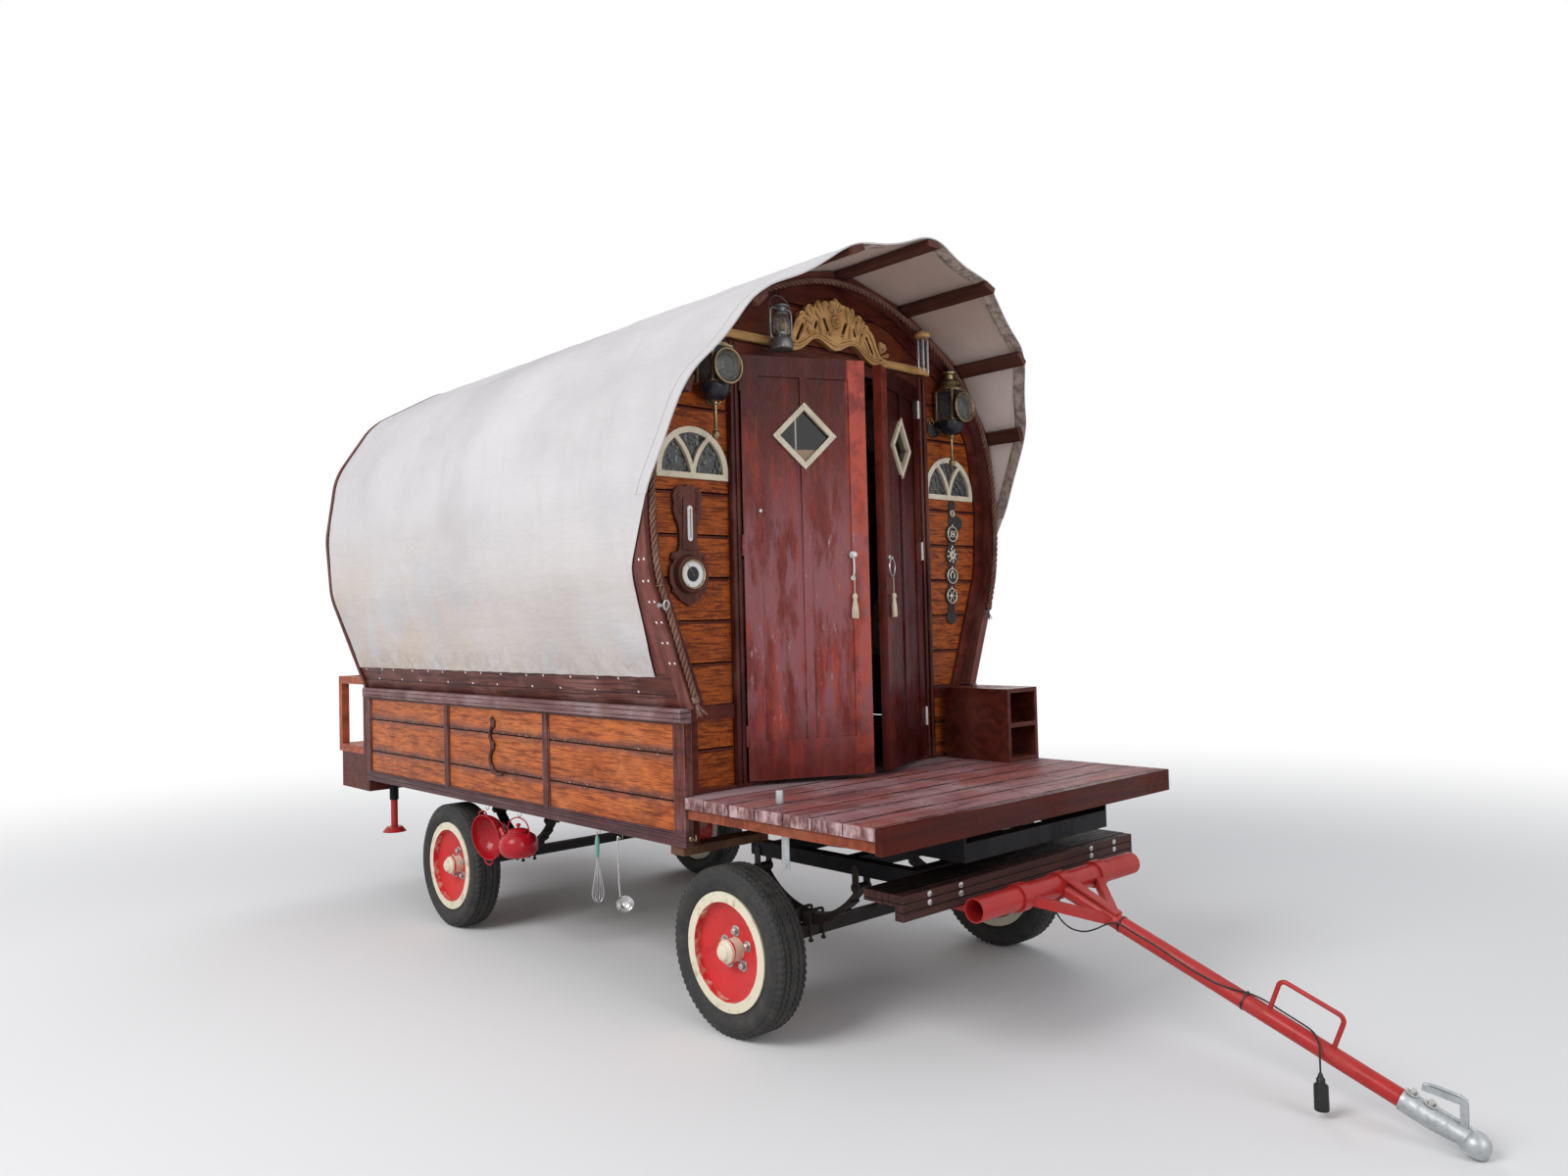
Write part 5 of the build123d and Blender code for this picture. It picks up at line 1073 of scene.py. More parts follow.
def cover_point(share, along, out=0.0, front=None):
    """A place on the stretched canvas: share across, 0 to 1, and metres back from the hood's edge
    where front is given, or the share of the length from the back."""
    flat, normal = along_line(bow_points, share)
    end = wall_face + hood_reach(flat.y)
    x = end - front if front is not None else cover_back + along * (end - cover_back)
    clear = min(1.0, max(0.0, (abs(x - bow_places[-1]) - 0.052) / 0.12))
    over_bows = clear if x > bow_places[-1] else sag_between(x, bow_places)
    hood_sag = 0.009 * min(1.0, max(0.0, (x - bow_places[-1] - 0.03) / 0.45))
    sag = (0.007 * over_bows + hood_sag) * sag_between(share, purlin_shares)
    edge = min(1.0, max(0.0, (flat.y - canvas_low) / 0.1))
    folds = fabric_noise(Vector((x * 1.3 + share * 5.0, share * 7.0 - x * 1.1, 3.0)), 3)
    creases = fabric_noise(Vector((x * 3.1 + share * 16.0, x * 0.9 - share * 5.5, 9.0)), 4)
    pinch = cos(2 * pi * x / 0.155) * max(0.0, 1 - (flat.y - canvas_low) / 0.16)
    lift = out - sag + edge * (0.15 + 0.85 * clear) * (0.005 * folds + 0.0036 * abs(creases)) + 0.0026 * pinch
    place = flat + normal * (0.0062 + lift)
    return Vector((x, place.x, place.y))


def fabric_noise(at, octaves):
    """Soft folds between about -1 and 1."""
    return noise.fractal(at, 0.9, 2.0, octaves, noise_basis="PERLIN_ORIGINAL")


def laid_grid(across, along, place, name):
    """A grid laid over places given by two shares, the first across the wagon, the second along it."""
    grid = new_primitive("grid", x_subdivisions=along, y_subdivisions=across, size=1)
    for point in grid.data.vertices:
        point.co = place(point.co.y + 0.5, point.co.x + 0.5)
    reshape(outwards)
    grid.name = name
    return grid


def facing_out(sheet, middle):
    """Flips a sheet whose faces look towards the middle."""
    face = sheet.data.polygons[len(sheet.data.polygons) // 2]
    if face.normal.dot(face.center - middle) < 0:
        only(sheet)
        reshape((bpy.ops.mesh.flip_normals, {}))
    return sheet


cotton, tree, shader = blank_material("cotton_canvas")
spot = spot_in(tree)
split = axes(tree, spot)
height = split["Z"]
cloth_uv = part(tree, "ShaderNodeUVMap", uv_map="UVMap").outputs[0]
thread_waves = 3140.0
threads = drawn_out(tree, cloth_uv, (thread_waves, thread_waves, 1))
thread_split = axes(tree, threads)
weave = times(tree, maths(tree, "SINE", thread_split["X"]), maths(tree, "SINE", thread_split["Y"]))
slubs = cloud(tree, drawn_out(tree, cloth_uv, (240.0, 12.0, 1)), 1.0, 3.0, 0.6)
cotton_colour = blend(tree, ramp(tree, cloud(tree, spot, 1.3, 4.0, 0.55), 0.35, 0.7), (0.625, 0.605, 0.612),
    (0.52, 0.5, 0.508))
# Warmer patches towards the bottom of the cover, strongest at the back.
low_warm_patches = times(tree, ramp(tree, height, 2.35, 1.5), ramp(tree, cloud(tree, spot, 2.2, 5.0, 0.6), 0.32, 0.58))
low_back_warm_patches = times(tree, low_warm_patches, ramp(tree, split["X"], -0.3, -2.5, 0.35, 1.0))
cotton_colour = blend(tree, times(tree, low_back_warm_patches, 0.75), cotton_colour, (0.6, 0.46, 0.35))
grime = times(tree, ramp(tree, height, 1.6, 1.425), ramp(tree, cloud(tree, spot, 16.0, 6.0, 0.7), 0.35, 0.7))
cotton_colour = blend(tree, times(tree, grime, 0.5), cotton_colour, (0.33, 0.25, 0.2))
runs = cloud(tree, drawn_out(tree, spot, (9.0, 2.0, 0.7)), 1.4, 5.0, 0.65)
cotton_colour = blend(tree, ramp(tree, runs, 0.52, 0.78, 0.0, 0.3), cotton_colour, (0.5, 0.455, 0.43))
cotton_colour = blend(tree, ramp(tree, slubs, 0.4, 0.75, 0.0, 0.16), cotton_colour, (0.52, 0.49, 0.46))
feed(shader, "Base Color", cotton_colour)
feed(shader, "Roughness", 0.9)
feed(shader, "Sheen Weight", 0.12)
feed(shader, "Sheen Roughness", 0.5)
feed(shader, "Specular IOR Level", 0.25)
diagonal = part(tree, "ShaderNodeMapping", {"Vector": spot, "Rotation": (0, radians(38), 0),
    "Scale": (1.0, 1.6, 5.5)}).outputs[0]
crinkle = cloud(tree, diagonal, 2.1, 5.0, 0.55)
sharp = maths(tree, "ABSOLUTE", scaled(tree, cloud(tree, drawn_out(tree, spot, (2.2, 3.0, 2.6)), 2.6, 3.0, 0.5),
    2.0, -1.0))
fine = scaled(tree, weave, 0.012, scaled(tree, slubs, 0.03))
relief(tree, shader, scaled(tree, ramp(tree, sharp, 0.0, 0.12), 0.1, scaled(tree, crinkle, 1.0, fine)), 0.42,
    0.02)

cover = laid_grid(150, 260, cover_point, "canvas_cover")
facing_out(cover, Vector((-1.0, 0, 2.2)))
cover_uv = cover.data.uv_layers["UVMap"]
for loop in cover_uv.data:
    loop.uv = (loop.uv[0] * 3.86, loop.uv[1] * bow_lengths[-1])
lining = cotton.copy()
lining.name = "lining_painted_light_and_shade"
tree = lining.node_tree
height = axes(tree, spot_in(tree))["Z"]
# Painted light and shade: the lining is multiplied brighter below 2.7 m, as light shining through the canvas,
# and darker towards the ridge, as shade.
shaded = blend(tree, ramp(tree, height, 2.7, 3.15), (1.58, 1.42, 1.3), (0.92, 0.72, 0.6))
repaint(lining, 1.0, shaded, "MULTIPLY")
cloth = cover.modifiers.new("cloth", "SOLIDIFY")
cloth.thickness, cloth.offset, cloth.material_offset = 0.0022, 0.0, 1
cover.data.materials.append(cotton)
cover.data.materials.append(lining)
finished(cover, "canvas_cover", None, "wagon", smooth=60)

hem_width, seam_in, stitch_pitch = 0.068, 0.0075, 0.009
hem_low_share = 0.15
hood_hem = laid_grid(150, 6, lambda share, along: cover_point(hem_low_share + share * (1 - 2 * hem_low_share),
    0, 0.0012, front=hem_width * (1 - along) - 0.0012 * along), "hood_hem")
facing_out(hood_hem, Vector((0.2, 0, 2.2)))
hem_length = bow_lengths[-1] * (1 - 2 * hem_low_share)
for loop in hood_hem.data.uv_layers["UVMap"].data:
    loop.uv = (loop.uv[0] * hem_width, loop.uv[1] * hem_length)
doubled = hood_hem.modifiers.new("doubled", "SOLIDIFY")
doubled.thickness, doubled.offset, doubled.material_offset = 0.0062, -0.6, 1
hem_cotton = cotton.copy()
hem_cotton.name = "stitched_hem"
tree = hem_cotton.node_tree
hem_uv = part(tree, "ShaderNodeUVMap", uv_map="UVMap").outputs[0]
hem_split = axes(tree, hem_uv)
to_seam = maths(tree, "ABSOLUTE", scaled(tree, hem_split["X"], 1.0, -seam_in))
on_seam = ramp(tree, to_seam, 0.0026, 0.0012)
dash = ramp(tree, maths(tree, "SINE", scaled(tree, hem_split["Y"], 2 * pi / stitch_pitch)), -0.2, 0.2, 0.45,
    1.0)
repaint(hem_cotton, times(tree, times(tree, on_seam, dash), 0.85), (0.085, 0.06, 0.05))
hem_lining = hem_cotton.copy()
hem_lining.name = "hem_lining_painted_crease_shade"
tree = hem_lining.node_tree
# Painted shade: the hem's inner face is tinted warm and darkened in a noise pattern of creases.
crease_shade_mask = cloud(tree, spot_in(tree), 26.0, 6.0, 0.7)
crease_shade_tone = blend(tree, ramp(tree, crease_shade_mask, 0.4, 0.62), (0.98, 0.83, 0.71), (0.46, 0.37, 0.31))
repaint(hem_lining, 1.0, crease_shade_tone, "MULTIPLY")
hood_hem.data.materials.append(hem_cotton)
hood_hem.data.materials.append(hem_lining)
finished(hood_hem, "hood_hem", None, "wagon", smooth=60)
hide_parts("canopy")


# Jamb mouldings: ogee strips down both sides of the doorway, their varnish worn white on the beads
jamb_varnish = wooden("jamb_varnish", (0.085, 0.013, 0.009), (0.028, 0.005, 0.004), (0.38, 0.17, 0.13),
    (0.012, 0.005, 0.004), stretch=(9.0, 9.0, 0.9), patches=0.35, rough=0.34)


def moulding(y, width, proud, low, high, face=0.538):
    """An upright moulding with a round nose, from its plan outline."""
    strip = new_primitive("circle", vertices=16, radius=1, fill_type="NGON")
    for number, point in enumerate(strip.data.vertices):
        turn = 2 * pi * number / 16
        point.co = (face + proud * max(0.0, cos(turn)) ** 0.55, y + width / 2 * sin(turn), low)
    reshape(pushed(0, 0, high - low), outwards)
    return strip


mouldings = []
for side in (-1, 1):
    mouldings += [moulding(side * 0.642, 0.026, 0.02, 0.945, 2.86),
        moulding(side * 0.614, 0.02, 0.013, 0.945, 2.86)]
finished(mouldings, "jamb_mouldings", jamb_varnish, "wagon", smooth=50)


# Carriage lamps: brass corner posts and glazing on a black bowl, a bull's-eye lens in a brass ring on
# the front, a stepped brass roof and a stem with a ball below, bracketed from the wall
aged_brass = painted("aged_brass", (0.34, 0.265, 0.15), (0.17, 0.13, 0.075), (0.6, 0.52, 0.35),
    (0.05, 0.035, 0.018), chips=0.6, patches=0.6, metallic=0.9, rough=0.34, patch_scale=30.0, edge_width=0.002)
lamp_glass, tree, shader = blank_material("lamp_glass")
feed(shader, "Base Color", (0.9, 0.92, 0.88, 1))
feed(shader, "Transmission Weight", 0.97)
feed(shader, "IOR", 1.28)
spot = spot_in(tree)
feed(shader, "Roughness", ramp(tree, cloud(tree, spot, 40.0, 4.0, 0.6), 0.35, 0.75, 0.01, 0.12))


def lamp(side):
    """The pieces of one carriage lamp: brass, black iron and glass."""
    x, y = 0.608, side * 0.781
    half = 0.0565
    lens_at = (x + 0.0575, y, 2.708)
    brass, black, glass = [], [], []
    for dx in (-1, 1):
        for dy in (-1, 1):
            at = (x + dx * (half - 0.005), y + dy * (half - 0.005))
            brass.append(board((at[0] - 0.006, at[1] - 0.006, 2.645), (at[0] + 0.006, at[1] + 0.006, 2.806),
                0.0015))
    for z in (2.645, 2.798):
        for dx, dy in ((1, 0), (-1, 0), (0, 1), (0, -1)):
            low = (x + dx * half - (0.0035 if dx else half), y + dy * half - (0.0035 if dy else half), z)
            high = (x + dx * half + (0.0035 if dx else half), y + dy * half + (0.0035 if dy else half),
                z + 0.009)
            brass.append(board(low, high, 0.001))
    for dy in (-1, 1):
        pane = board((x - half + 0.006, y + dy * (half - 0.006) - 0.001, 2.652), (x + half - 0.006,
            y + dy * (half - 0.006) + 0.001, 2.8), 0.0005)
        glass.append(pane)
    black.append(board((x - half + 0.001, y - half + 0.006, 2.65), (x - half + 0.004, y + half - 0.006, 2.802),
        0.001))
    black.append(board((x + half - 0.004, y - half + 0.006, 2.65), (x + half - 0.001, y + half - 0.006, 2.802),
        0.001))
    bowl = [(0.0, 2.5735), (0.018, 2.5735), (0.034, 2.578), (0.05, 2.59), (0.06, 2.606), (0.0655, 2.625),
        (0.0665, 2.643), (0.0665, 2.647), (0.0, 2.647)]
    black.append(turned(bowl, (x, y, 0), steps=40))
    roof = [(0.0, 2.804), (0.064, 2.804), (0.066, 2.81), (0.062, 2.817), (0.05, 2.826), (0.047, 2.834),
        (0.052, 2.839), (0.05, 2.845), (0.034, 2.856), (0.027, 2.862), (0.0265, 2.884), (0.039, 2.889),
        (0.0405, 2.896), (0.034, 2.903), (0.014, 2.91), (0.0065, 2.914), (0.0085, 2.92), (0.0, 2.927)]
    brass.append(turned(roof, (x, y, 0), steps=40))
    ring = [(0.048, 0.0), (0.051, 0.004), (0.06, 0.022), (0.072, 0.029), (0.0768, 0.032), (0.0772, 0.037),
        (0.074, 0.0402), (0.0695, 0.0395), (0.067, 0.035), (0.06, 0.026), (0.048, 0.008), (0.048, 0.0)]
    brass.append(turned(ring, lens_at, forwards, steps=48))
    lens = [(0.0, 0.047), (0.016, 0.0464), (0.027, 0.045), (0.0285, 0.0436), (0.031, 0.0446), (0.046, 0.0408),
        (0.0475, 0.0394), (0.05, 0.04), (0.062, 0.0352), (0.068, 0.032), (0.068, 0.0305), (0.0, 0.0305)]
    dish = [(0.0, 0.0065), (0.0465, 0.0065), (0.064, 0.03), (0.0655, 0.029), (0.0475, 0.004), (0.0, 0.004)]
    black.append(turned(dish, lens_at, forwards, steps=48))
    glass.append(turned(lens, lens_at, forwards, steps=48))
    burner = [(0.0, 2.647), (0.022, 2.647), (0.024, 2.662), (0.014, 2.668), (0.01, 2.69), (0.006, 2.7),
        (0.0, 2.702)]
    brass.append(turned(burner, (x, y, 0), steps=24))
    stem = [(0.0, 2.4125), (0.01, 2.415), (0.0165, 2.424), (0.0175, 2.433), (0.014, 2.444), (0.0085, 2.45),
        (0.011, 2.456), (0.0075, 2.461), (0.007, 2.556), (0.012, 2.562), (0.012, 2.568), (0.02, 2.574),
        (0.0, 2.576)]
    brass.append(turned(stem, (x, y, 0), steps=24))
    rose = (0.5255, y - side * 0.052, 2.61)
    black.append(turned([(0.0, 0.018), (0.024, 0.016), (0.034, 0.01), (0.038, 0.0)], rose, forwards, steps=36))
    brass.append(turned([(0.037, 0.0), (0.042, 0.002), (0.044, 0.007), (0.0415, 0.012), (0.037, 0.01)], rose,
        forwards, steps=36))
    arm = [(0.535, rose[1], 2.61), (0.555, rose[1], 2.606), (0.575, y - side * 0.03, 2.6), (0.6, y, 2.6)]
    black.append(loop_rod(arm, 0.009))
    scroll = []
    for step in range(22):
        turn = step * 0.42
        reach = 0.028 * (1 - step / 26)
        scroll.append((0.556, y - side * (0.098 + reach * cos(turn)), 2.64 + reach * sin(turn)))
    brass.append(loop_rod(scroll, 0.0022))
    return brass, black, glass


lamp_brass, lamp_black, lamp_panes = (right + left for right, left in zip(lamp(-1), lamp(1)))
brass_work = finished(lamp_brass, "lamp_brass", aged_brass, "wagon")
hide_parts("lamps")
finished(lamp_black, "lamp_bowls", japanned, "wagon")
finished(lamp_panes, "lamp_panes", lamp_glass, "wagon")


# Carving on the crest: sprays of rounded leaves round a flower, a bead along the lower edge and a
# stalk with a bud at each end, cut from the same board and open between the sprays
crest_face = 0.5595
rail_z = 2.895


def carved_leaf(y, up, turn, length, width, depth=0.017):
    """A leaf from a rounded blank: narrow foot, broad round tip and a sunk middle vein."""
    leaf = new_primitive("uv_sphere", segments=16, ring_count=9, radius=0.5)
    for point in leaf.data.vertices:
        across, out, along = -point.co.x * 2, point.co.y * 2, point.co.z + 0.5
        round_it = max(1e-6, hypot(across, out))
        vein = 0.3 + 0.7 * min(1.0, abs(across) / round_it * 1.7)
        point.co = (out * depth * vein * (0.65 + 0.5 * along), across * width / 2 * (0.55 + 0.8 * along),
            along * length)
    leaf.matrix_world = Matrix.Translation((crest_face, y, rail_z + up)) @ Matrix.Rotation(-radians(turn), 4,
        "X")
    return leaf


def scroll_rod(points, radius=0.006, side=1, closed=False):
    return loop_rod([(crest_face + 0.001, side * y, rail_z + up) for y, up in points], radius, closed=closed)


def curl(y, up, reach, first, turns=2.3, way=1):
    """Places along a closing spiral."""
    steps = int(turns * 12)
    turned_by = [(1 - 0.85 * step / steps, first + way * 2 * pi * turns * step / steps)
        for step in range(steps)]
    return [(y + reach * close * cos(turn), up + reach * close * sin(turn)) for close, turn in turned_by]


carving = [carved_leaf(0, 0.188, turn, length, 0.03, 0.022) for turn, length in ((-56, 0.056), (-28, 0.068),
    (0, 0.076), (28, 0.068), (56, 0.056))]
carving += [carved_leaf(0, 0.15, 45 * k + 22, 0.033, 0.022, 0.02) for k in range(8)]
carving.append(turned([(0.0, 0.026), (0.006, 0.024), (0.011, 0.016), (0.012, 0.0)],
    (crest_face, 0, rail_z + 0.15), forwards, steps=20))
carving.append(carved_leaf(0, 0.03, 0, 0.082, 0.09, 0.01))
carving.append(scroll_rod([(0.038 * cos(k * pi / 8), 0.15 + 0.038 * sin(k * pi / 8)) for k in range(16)],
    0.0042, closed=True))
lower_bead = [(0.0, 0.03), (0.05, 0.044), (0.122, 0.07), (0.175, 0.04), (0.215, 0.012), (0.262, -0.006),
    (0.345, -0.004)]
stalk = [(0.2, 0.15), (0.232, 0.142), (0.258, 0.108), (0.272, 0.068), (0.29, 0.034), (0.316, 0.014),
    (0.35, 0.006)]
inner_stalk = [(0.186, 0.116), (0.204, 0.088), (0.226, 0.046), (0.246, 0.02), (0.268, 0.01)]
spray_leaves = ((0.086, 0.15, -4, 0.088, 0.026), (0.088, 0.15, 20, 0.09, 0.027),
    (0.092, 0.146, 45, 0.074, 0.025), (0.14, 0.122, 14, 0.084, 0.026), (0.142, 0.12, 38, 0.086, 0.027),
    (0.146, 0.116, 63, 0.07, 0.024), (0.094, 0.062, 6, 0.084, 0.024), (0.16, 0.05, 24, 0.08, 0.026),
    (0.02, 0.078, 66, 0.04, 0.018), (0.3, 0.046, 12, 0.058, 0.024), (0.304, 0.04, 44, 0.062, 0.022),
    (0.312, 0.028, 76, 0.058, 0.02))
for side in (-1, 1):
    for lift, radius in ((0.006, 0.0068), (0.021, 0.0046)):
        carving.append(scroll_rod([(y, z + lift) for y, z in lower_bead], radius, side))
    carving += [scroll_rod(stalk, 0.009, side), scroll_rod(inner_stalk, 0.0066, side)]
    carving += [scroll_rod(curl(0.048, 0.08, 0.015, 2.4), 0.0042, side),
        scroll_rod(curl(0.12, 0.086, 0.013, 0.6, way=-1), 0.0038, side)]
    carving += [carved_leaf(side * y, up, side * turn, length, width,
        0.019) for y, up, turn, length, width in spray_leaves]
    carving.append(turned([(0.0, 0.019), (0.008, 0.016), (0.013, 0.008), (0.014, 0.0)], (crest_face,
        side * 0.326, rail_z + 0.082), forwards, steps=20))
    for lift in (0.012, -0.012):
        carving.append(scroll_rod([(0.36, lift), (0.5, lift), (0.67, lift)], 0.0035, side))
finished(carving, "crest_carving", carving_varnish, "wagon", smooth=60)


# Barometer: a carved dark banjo case with a white thermometer and an enamelled dial, hung on the
# right-hand wall boards
case_stain = wooden("case_stain", (0.14, 0.044, 0.032), (0.046, 0.014, 0.012), (0.26, 0.12, 0.09),
    (0.01, 0.005, 0.004), stretch=(9.0, 9.0, 2.0), rough=0.4, wear=0.7, edge_width=0.003)


def plate(outline, face, thickness, rounding=0.002):
    """A flat piece on an upright plane: its outline, (y, z) points, and its thickness forwards."""
    piece = new_primitive("circle", vertices=len(outline), radius=1, fill_type="NGON")
    for point, (y, z) in zip(piece.data.vertices, outline):
        point.co = (face, y, z)
    reshape(pushed(thickness, 0, 0), outwards)
    softened = piece.modifiers.new("softened", "BEVEL")
    softened.width, softened.segments, softened.limit_method = rounding, 2, "ANGLE"
    apply_all(piece)
    return piece


def knob(size, place, segments=12, rings=6, radius=0.5):
    piece = new_primitive("uv_sphere", segments=segments, ring_count=rings, radius=radius)
    piece.scale, piece.location = size, place
    return piece


def both_sides(half, middle=0.0):
    """An outline from its right half, listed from the top down."""
    return [(middle + y, z) for y, z in half] + [(middle - y, z) for y, z in reversed(half) if y]


case_y = -0.886
case_half = [(0.0, 2.224), (0.016, 2.212), (0.032, 2.216), (0.052, 2.212), (0.07, 2.196), (0.079, 2.168),
    (0.071, 2.142), (0.078, 2.118), (0.07, 2.088), (0.056, 2.062), (0.047, 2.03), (0.046, 1.965), (0.056, 1.94),
    (0.086, 1.934), (0.094, 1.914), (0.078, 1.898), (0.096, 1.88), (0.104, 1.845), (0.1, 1.806), (0.086, 1.79),
    (0.092, 1.772), (0.07, 1.76), (0.048, 1.738), (0.02, 1.722), (0.0, 1.712)]
case = [plate(both_sides(case_half, case_y), 0.5245, 0.018, 0.004)]
case.append(plate(both_sides([(0.0, 2.17), (0.03, 2.165), (0.034, 2.06), (0.04, 1.95), (0.0, 1.945)], case_y),
    0.54, 0.01, 0.003))
case.append(turned([(0.0, 0.02), (0.058, 0.02), (0.066, 0.026), (0.074, 0.024), (0.082, 0.012), (0.084, 0.0)],
    (0.541, case_y, 1.845), forwards, steps=48))
for side in (-1, 1):
    for step in range(5):
        z = 2.195 - step * 0.022
        y = case_y + side * (0.052 - abs(step - 1.5) * 0.004)
        case.append(knob((0.012, 0.024, 0.02), (0.5425, y, z)))
    case += [knob((0.014, 0.02, 0.022), (0.5425, case_y + side * 0.078, z)) for z in (1.915, 1.775)]
finished(case, "barometer_case", case_stain, "wagon")
enamel = painted("white_enamel", (0.78, 0.78, 0.76), (0.66, 0.66, 0.63), (0.3, 0.27, 0.22), (0.2, 0.17, 0.13),
    chips=0.3, patches=0.3, rough=0.28, bump=0.05)
scale_outline = [(0.013 * cos(t), 2.058 + 0.062 * (1 if sin(t) > 0 else -1) + 0.013 * sin(t))
    for t in map(radians, range(5, 360, 10))]
white_parts = [plate([(case_y + y, z) for y, z in scale_outline], 0.55, 0.004, 0.001)]
dial_at = (0.5615, case_y, 1.845)
white_parts.append(turned([(0.031, 0.003), (0.032, 0.005), (0.054, 0.005), (0.056, 0.003), (0.056, 0.0),
    (0.031, 0.0)], dial_at, forwards, steps=48))
finished(white_parts, "barometer_enamel", enamel, "wagon")
dark_parts = [turned([(0.0, 0.004), (0.02, 0.004), (0.031, 0.002), (0.032, 0.0), (0.0, 0.0)], dial_at, forwards,
    steps=32)]
for number in range(25):
    turn = radians(-150 + number * 12.5)
    mark = board((-0.0004, -0.0006, 0.047), (0.0006, 0.0006, 0.053), 0.0002)
    mark.matrix_world = Matrix.Translation((dial_at[0] + 0.0052, dial_at[1],
        dial_at[2])) @ Matrix.Rotation(turn, 4, "X")
    dark_parts.append(mark)
for step in range(12):
    z = 2.004 + step * 0.0095
    dark_parts.append(board((0.5538, case_y - 0.007, z), (0.5546, case_y - 0.002, z + 0.001), 0.0002))
dark_parts.append(loop_rod([(0.555, case_y + 0.002, 1.998), (0.555, case_y + 0.002, 2.06),
    (0.555, case_y + 0.002, 2.118)], 0.0016))
finished(dark_parts, "barometer_marks", japanned, "wagon")
bezel = turned([(0.055, 0.003), (0.057, 0.009), (0.061, 0.01), (0.064, 0.006), (0.0645, 0.0), (0.055, 0.0)],
    dial_at, forwards, steps=48)
hand = board((-0.0005, -0.0012, -0.012), (0.0006, 0.0012, 0.046), 0.0004)
hand.matrix_world = Matrix.Translation((dial_at[0] + 0.0062, dial_at[1],
    dial_at[2])) @ Matrix.Rotation(radians(35), 4, "X")
finished([bezel, hand], "barometer_bezel", aged_brass, "wagon")


# Rope: three strands of tarred rope laid round the front bow's face, held by staples, its ends
# frayed out below whippings
# The rope's crevice darkening, near black with a short reach, is painted shade between the strands.
hemp = painted("tarred_hemp", (0.175, 0.085, 0.06), (0.29, 0.175, 0.125), (0.48, 0.35, 0.27),
    (0.014, 0.006, 0.005), chips=0.7, patches=0.6, crevice_dirt_and_shade=1.0, rough=0.85, bump=0.6, edge_width=0.003,
    patch_scale=9.0, grain_scale=420.0, crevice_reach=0.008)
rope_x = 0.612
rope_half = [(1.107, 1.852), (1.129, 2.199), (1.07, 2.575), (0.851, 2.897), (0.435, 3.136)]
rope_turns = [(-0.926, 1.334), (-1.064, 1.734)] + [(-y, z) for y, z in rope_half] + [(0.0, 3.241)]
rope_turns += rope_half[::-1] + [(1.05, 1.694)]
route = curved("rope_route", [(rope_x, y, z) for y, z in rope_turns], turns=24, capped=False)
route_line = [point.co.copy() for point in bpy.data.meshes.new_from_object(route).vertices]
bpy.data.objects.remove(route)
route_far = [0.0]
for before, after in zip(route_line, route_line[1:]):
    route_far.append(route_far[-1] + (after - before).length)
rope_strands = []
rope_steps = int(route_far[-1] / 0.0062)
for strand in range(3):
    points, number = [], 0
    for step in range(rope_steps + 1):
        far = route_far[-1] * step / rope_steps
        while number < len(route_far) - 2 and route_far[number + 1] < far:
            number += 1
        share = (far - route_far[number]) / (route_far[number + 1] - route_far[number])
        at = route_line[number].lerp(route_line[number + 1], share)
        run = (route_line[number + 1] - route_line[number]).normalized()
        across = run.cross(ahead).normalized()
        turn = 2 * pi * (far / 0.088 + strand / 3)
        points.append(at + 0.0079 * (cos(turn) * ahead + sin(turn) * across))
    rope_strands.append(loop_rod(points, 0.0062, turns=1))


def whipping(at, along, radius, length):
    """Turns of twine bound round a rope's end."""
    outline = [(0.0, 0.0)]
    for turn in range(int(length / 0.003)):
        outline += [(radius, turn * 0.003), (radius + 0.0012, turn * 0.003 + 0.0015)]
    return turned(outline + [(radius, length), (0.0, length)], at, along, steps=18)


def frayed(at, down, reach, count, seed, thick=0.0011):
    """Loose yarns spreading from a rope's end."""
    chance = random.Random(seed)
    side = down.cross(ahead).normalized()
    yarns = []
    for _ in range(count):
        spread = side * chance.uniform(-0.5, 0.5) + Vector((chance.uniform(0.0, 0.5), 0, 0))
        far = reach * chance.uniform(0.7, 1.0)
        bend = side * chance.uniform(-0.2, 0.2)
        start = at + side * chance.uniform(-0.006, 0.006)
        yarns.append(loop_rod([start, start + (down + bend + 0.4 * spread) * far * 0.55,
            start + (down + spread * 0.9) * far], thick, turns=4))
    return yarns


for line, seed in ((route_line, 3), (route_line[::-1], 8)):
    down = (line[0] - line[3]).normalized()
    rope_strands.append(whipping(line[0] - down * 0.006, down, 0.0142, 0.024))
    rope_strands += frayed(line[0] + down * 0.018, down, 0.062, 26, seed)
for share in (0.09, 0.2, 0.3, 0.4, 0.6, 0.7, 0.8, 0.91):
    at = route_line[int(share * (len(route_line) - 1))]
    after = route_line[int(share * (len(route_line) - 1)) + 1]
    side = (after - at).cross(ahead).normalized()
    points = [at + side * s * 0.0125 + Vector((x - rope_x, 0, 0)) for s, x in ((-1.2, 0.598), (-1.2, 0.619),
        (0, 0.6275), (1.2, 0.619), (1.2, 0.598))]
    rope_strands.append(loop_rod(points, 0.0016))
finished(rope_strands, "bow_rope", hemp, "wagon", smooth=60)
eye = [(0.6, -1.074 + 0.012 * cos(t * 0.7), 1.716 + 0.02 * sin(t * 0.7)) for t in range(9)]
rope_eye = loop_rod([(0.632 - 0.001 * t, y, z) for t, (x, y, z) in enumerate(eye)], 0.0034, closed=True)
rope_eye_post = turned([(0.0, 0.024), (0.0042, 0.024), (0.0042, 0.004), (0.011, 0.003), (0.011, 0.0)],
    (0.598, -1.086, 1.716), forwards, steps=16)
finished([rope_eye, rope_eye_post], "rope_eye", galvanised, "wagon")


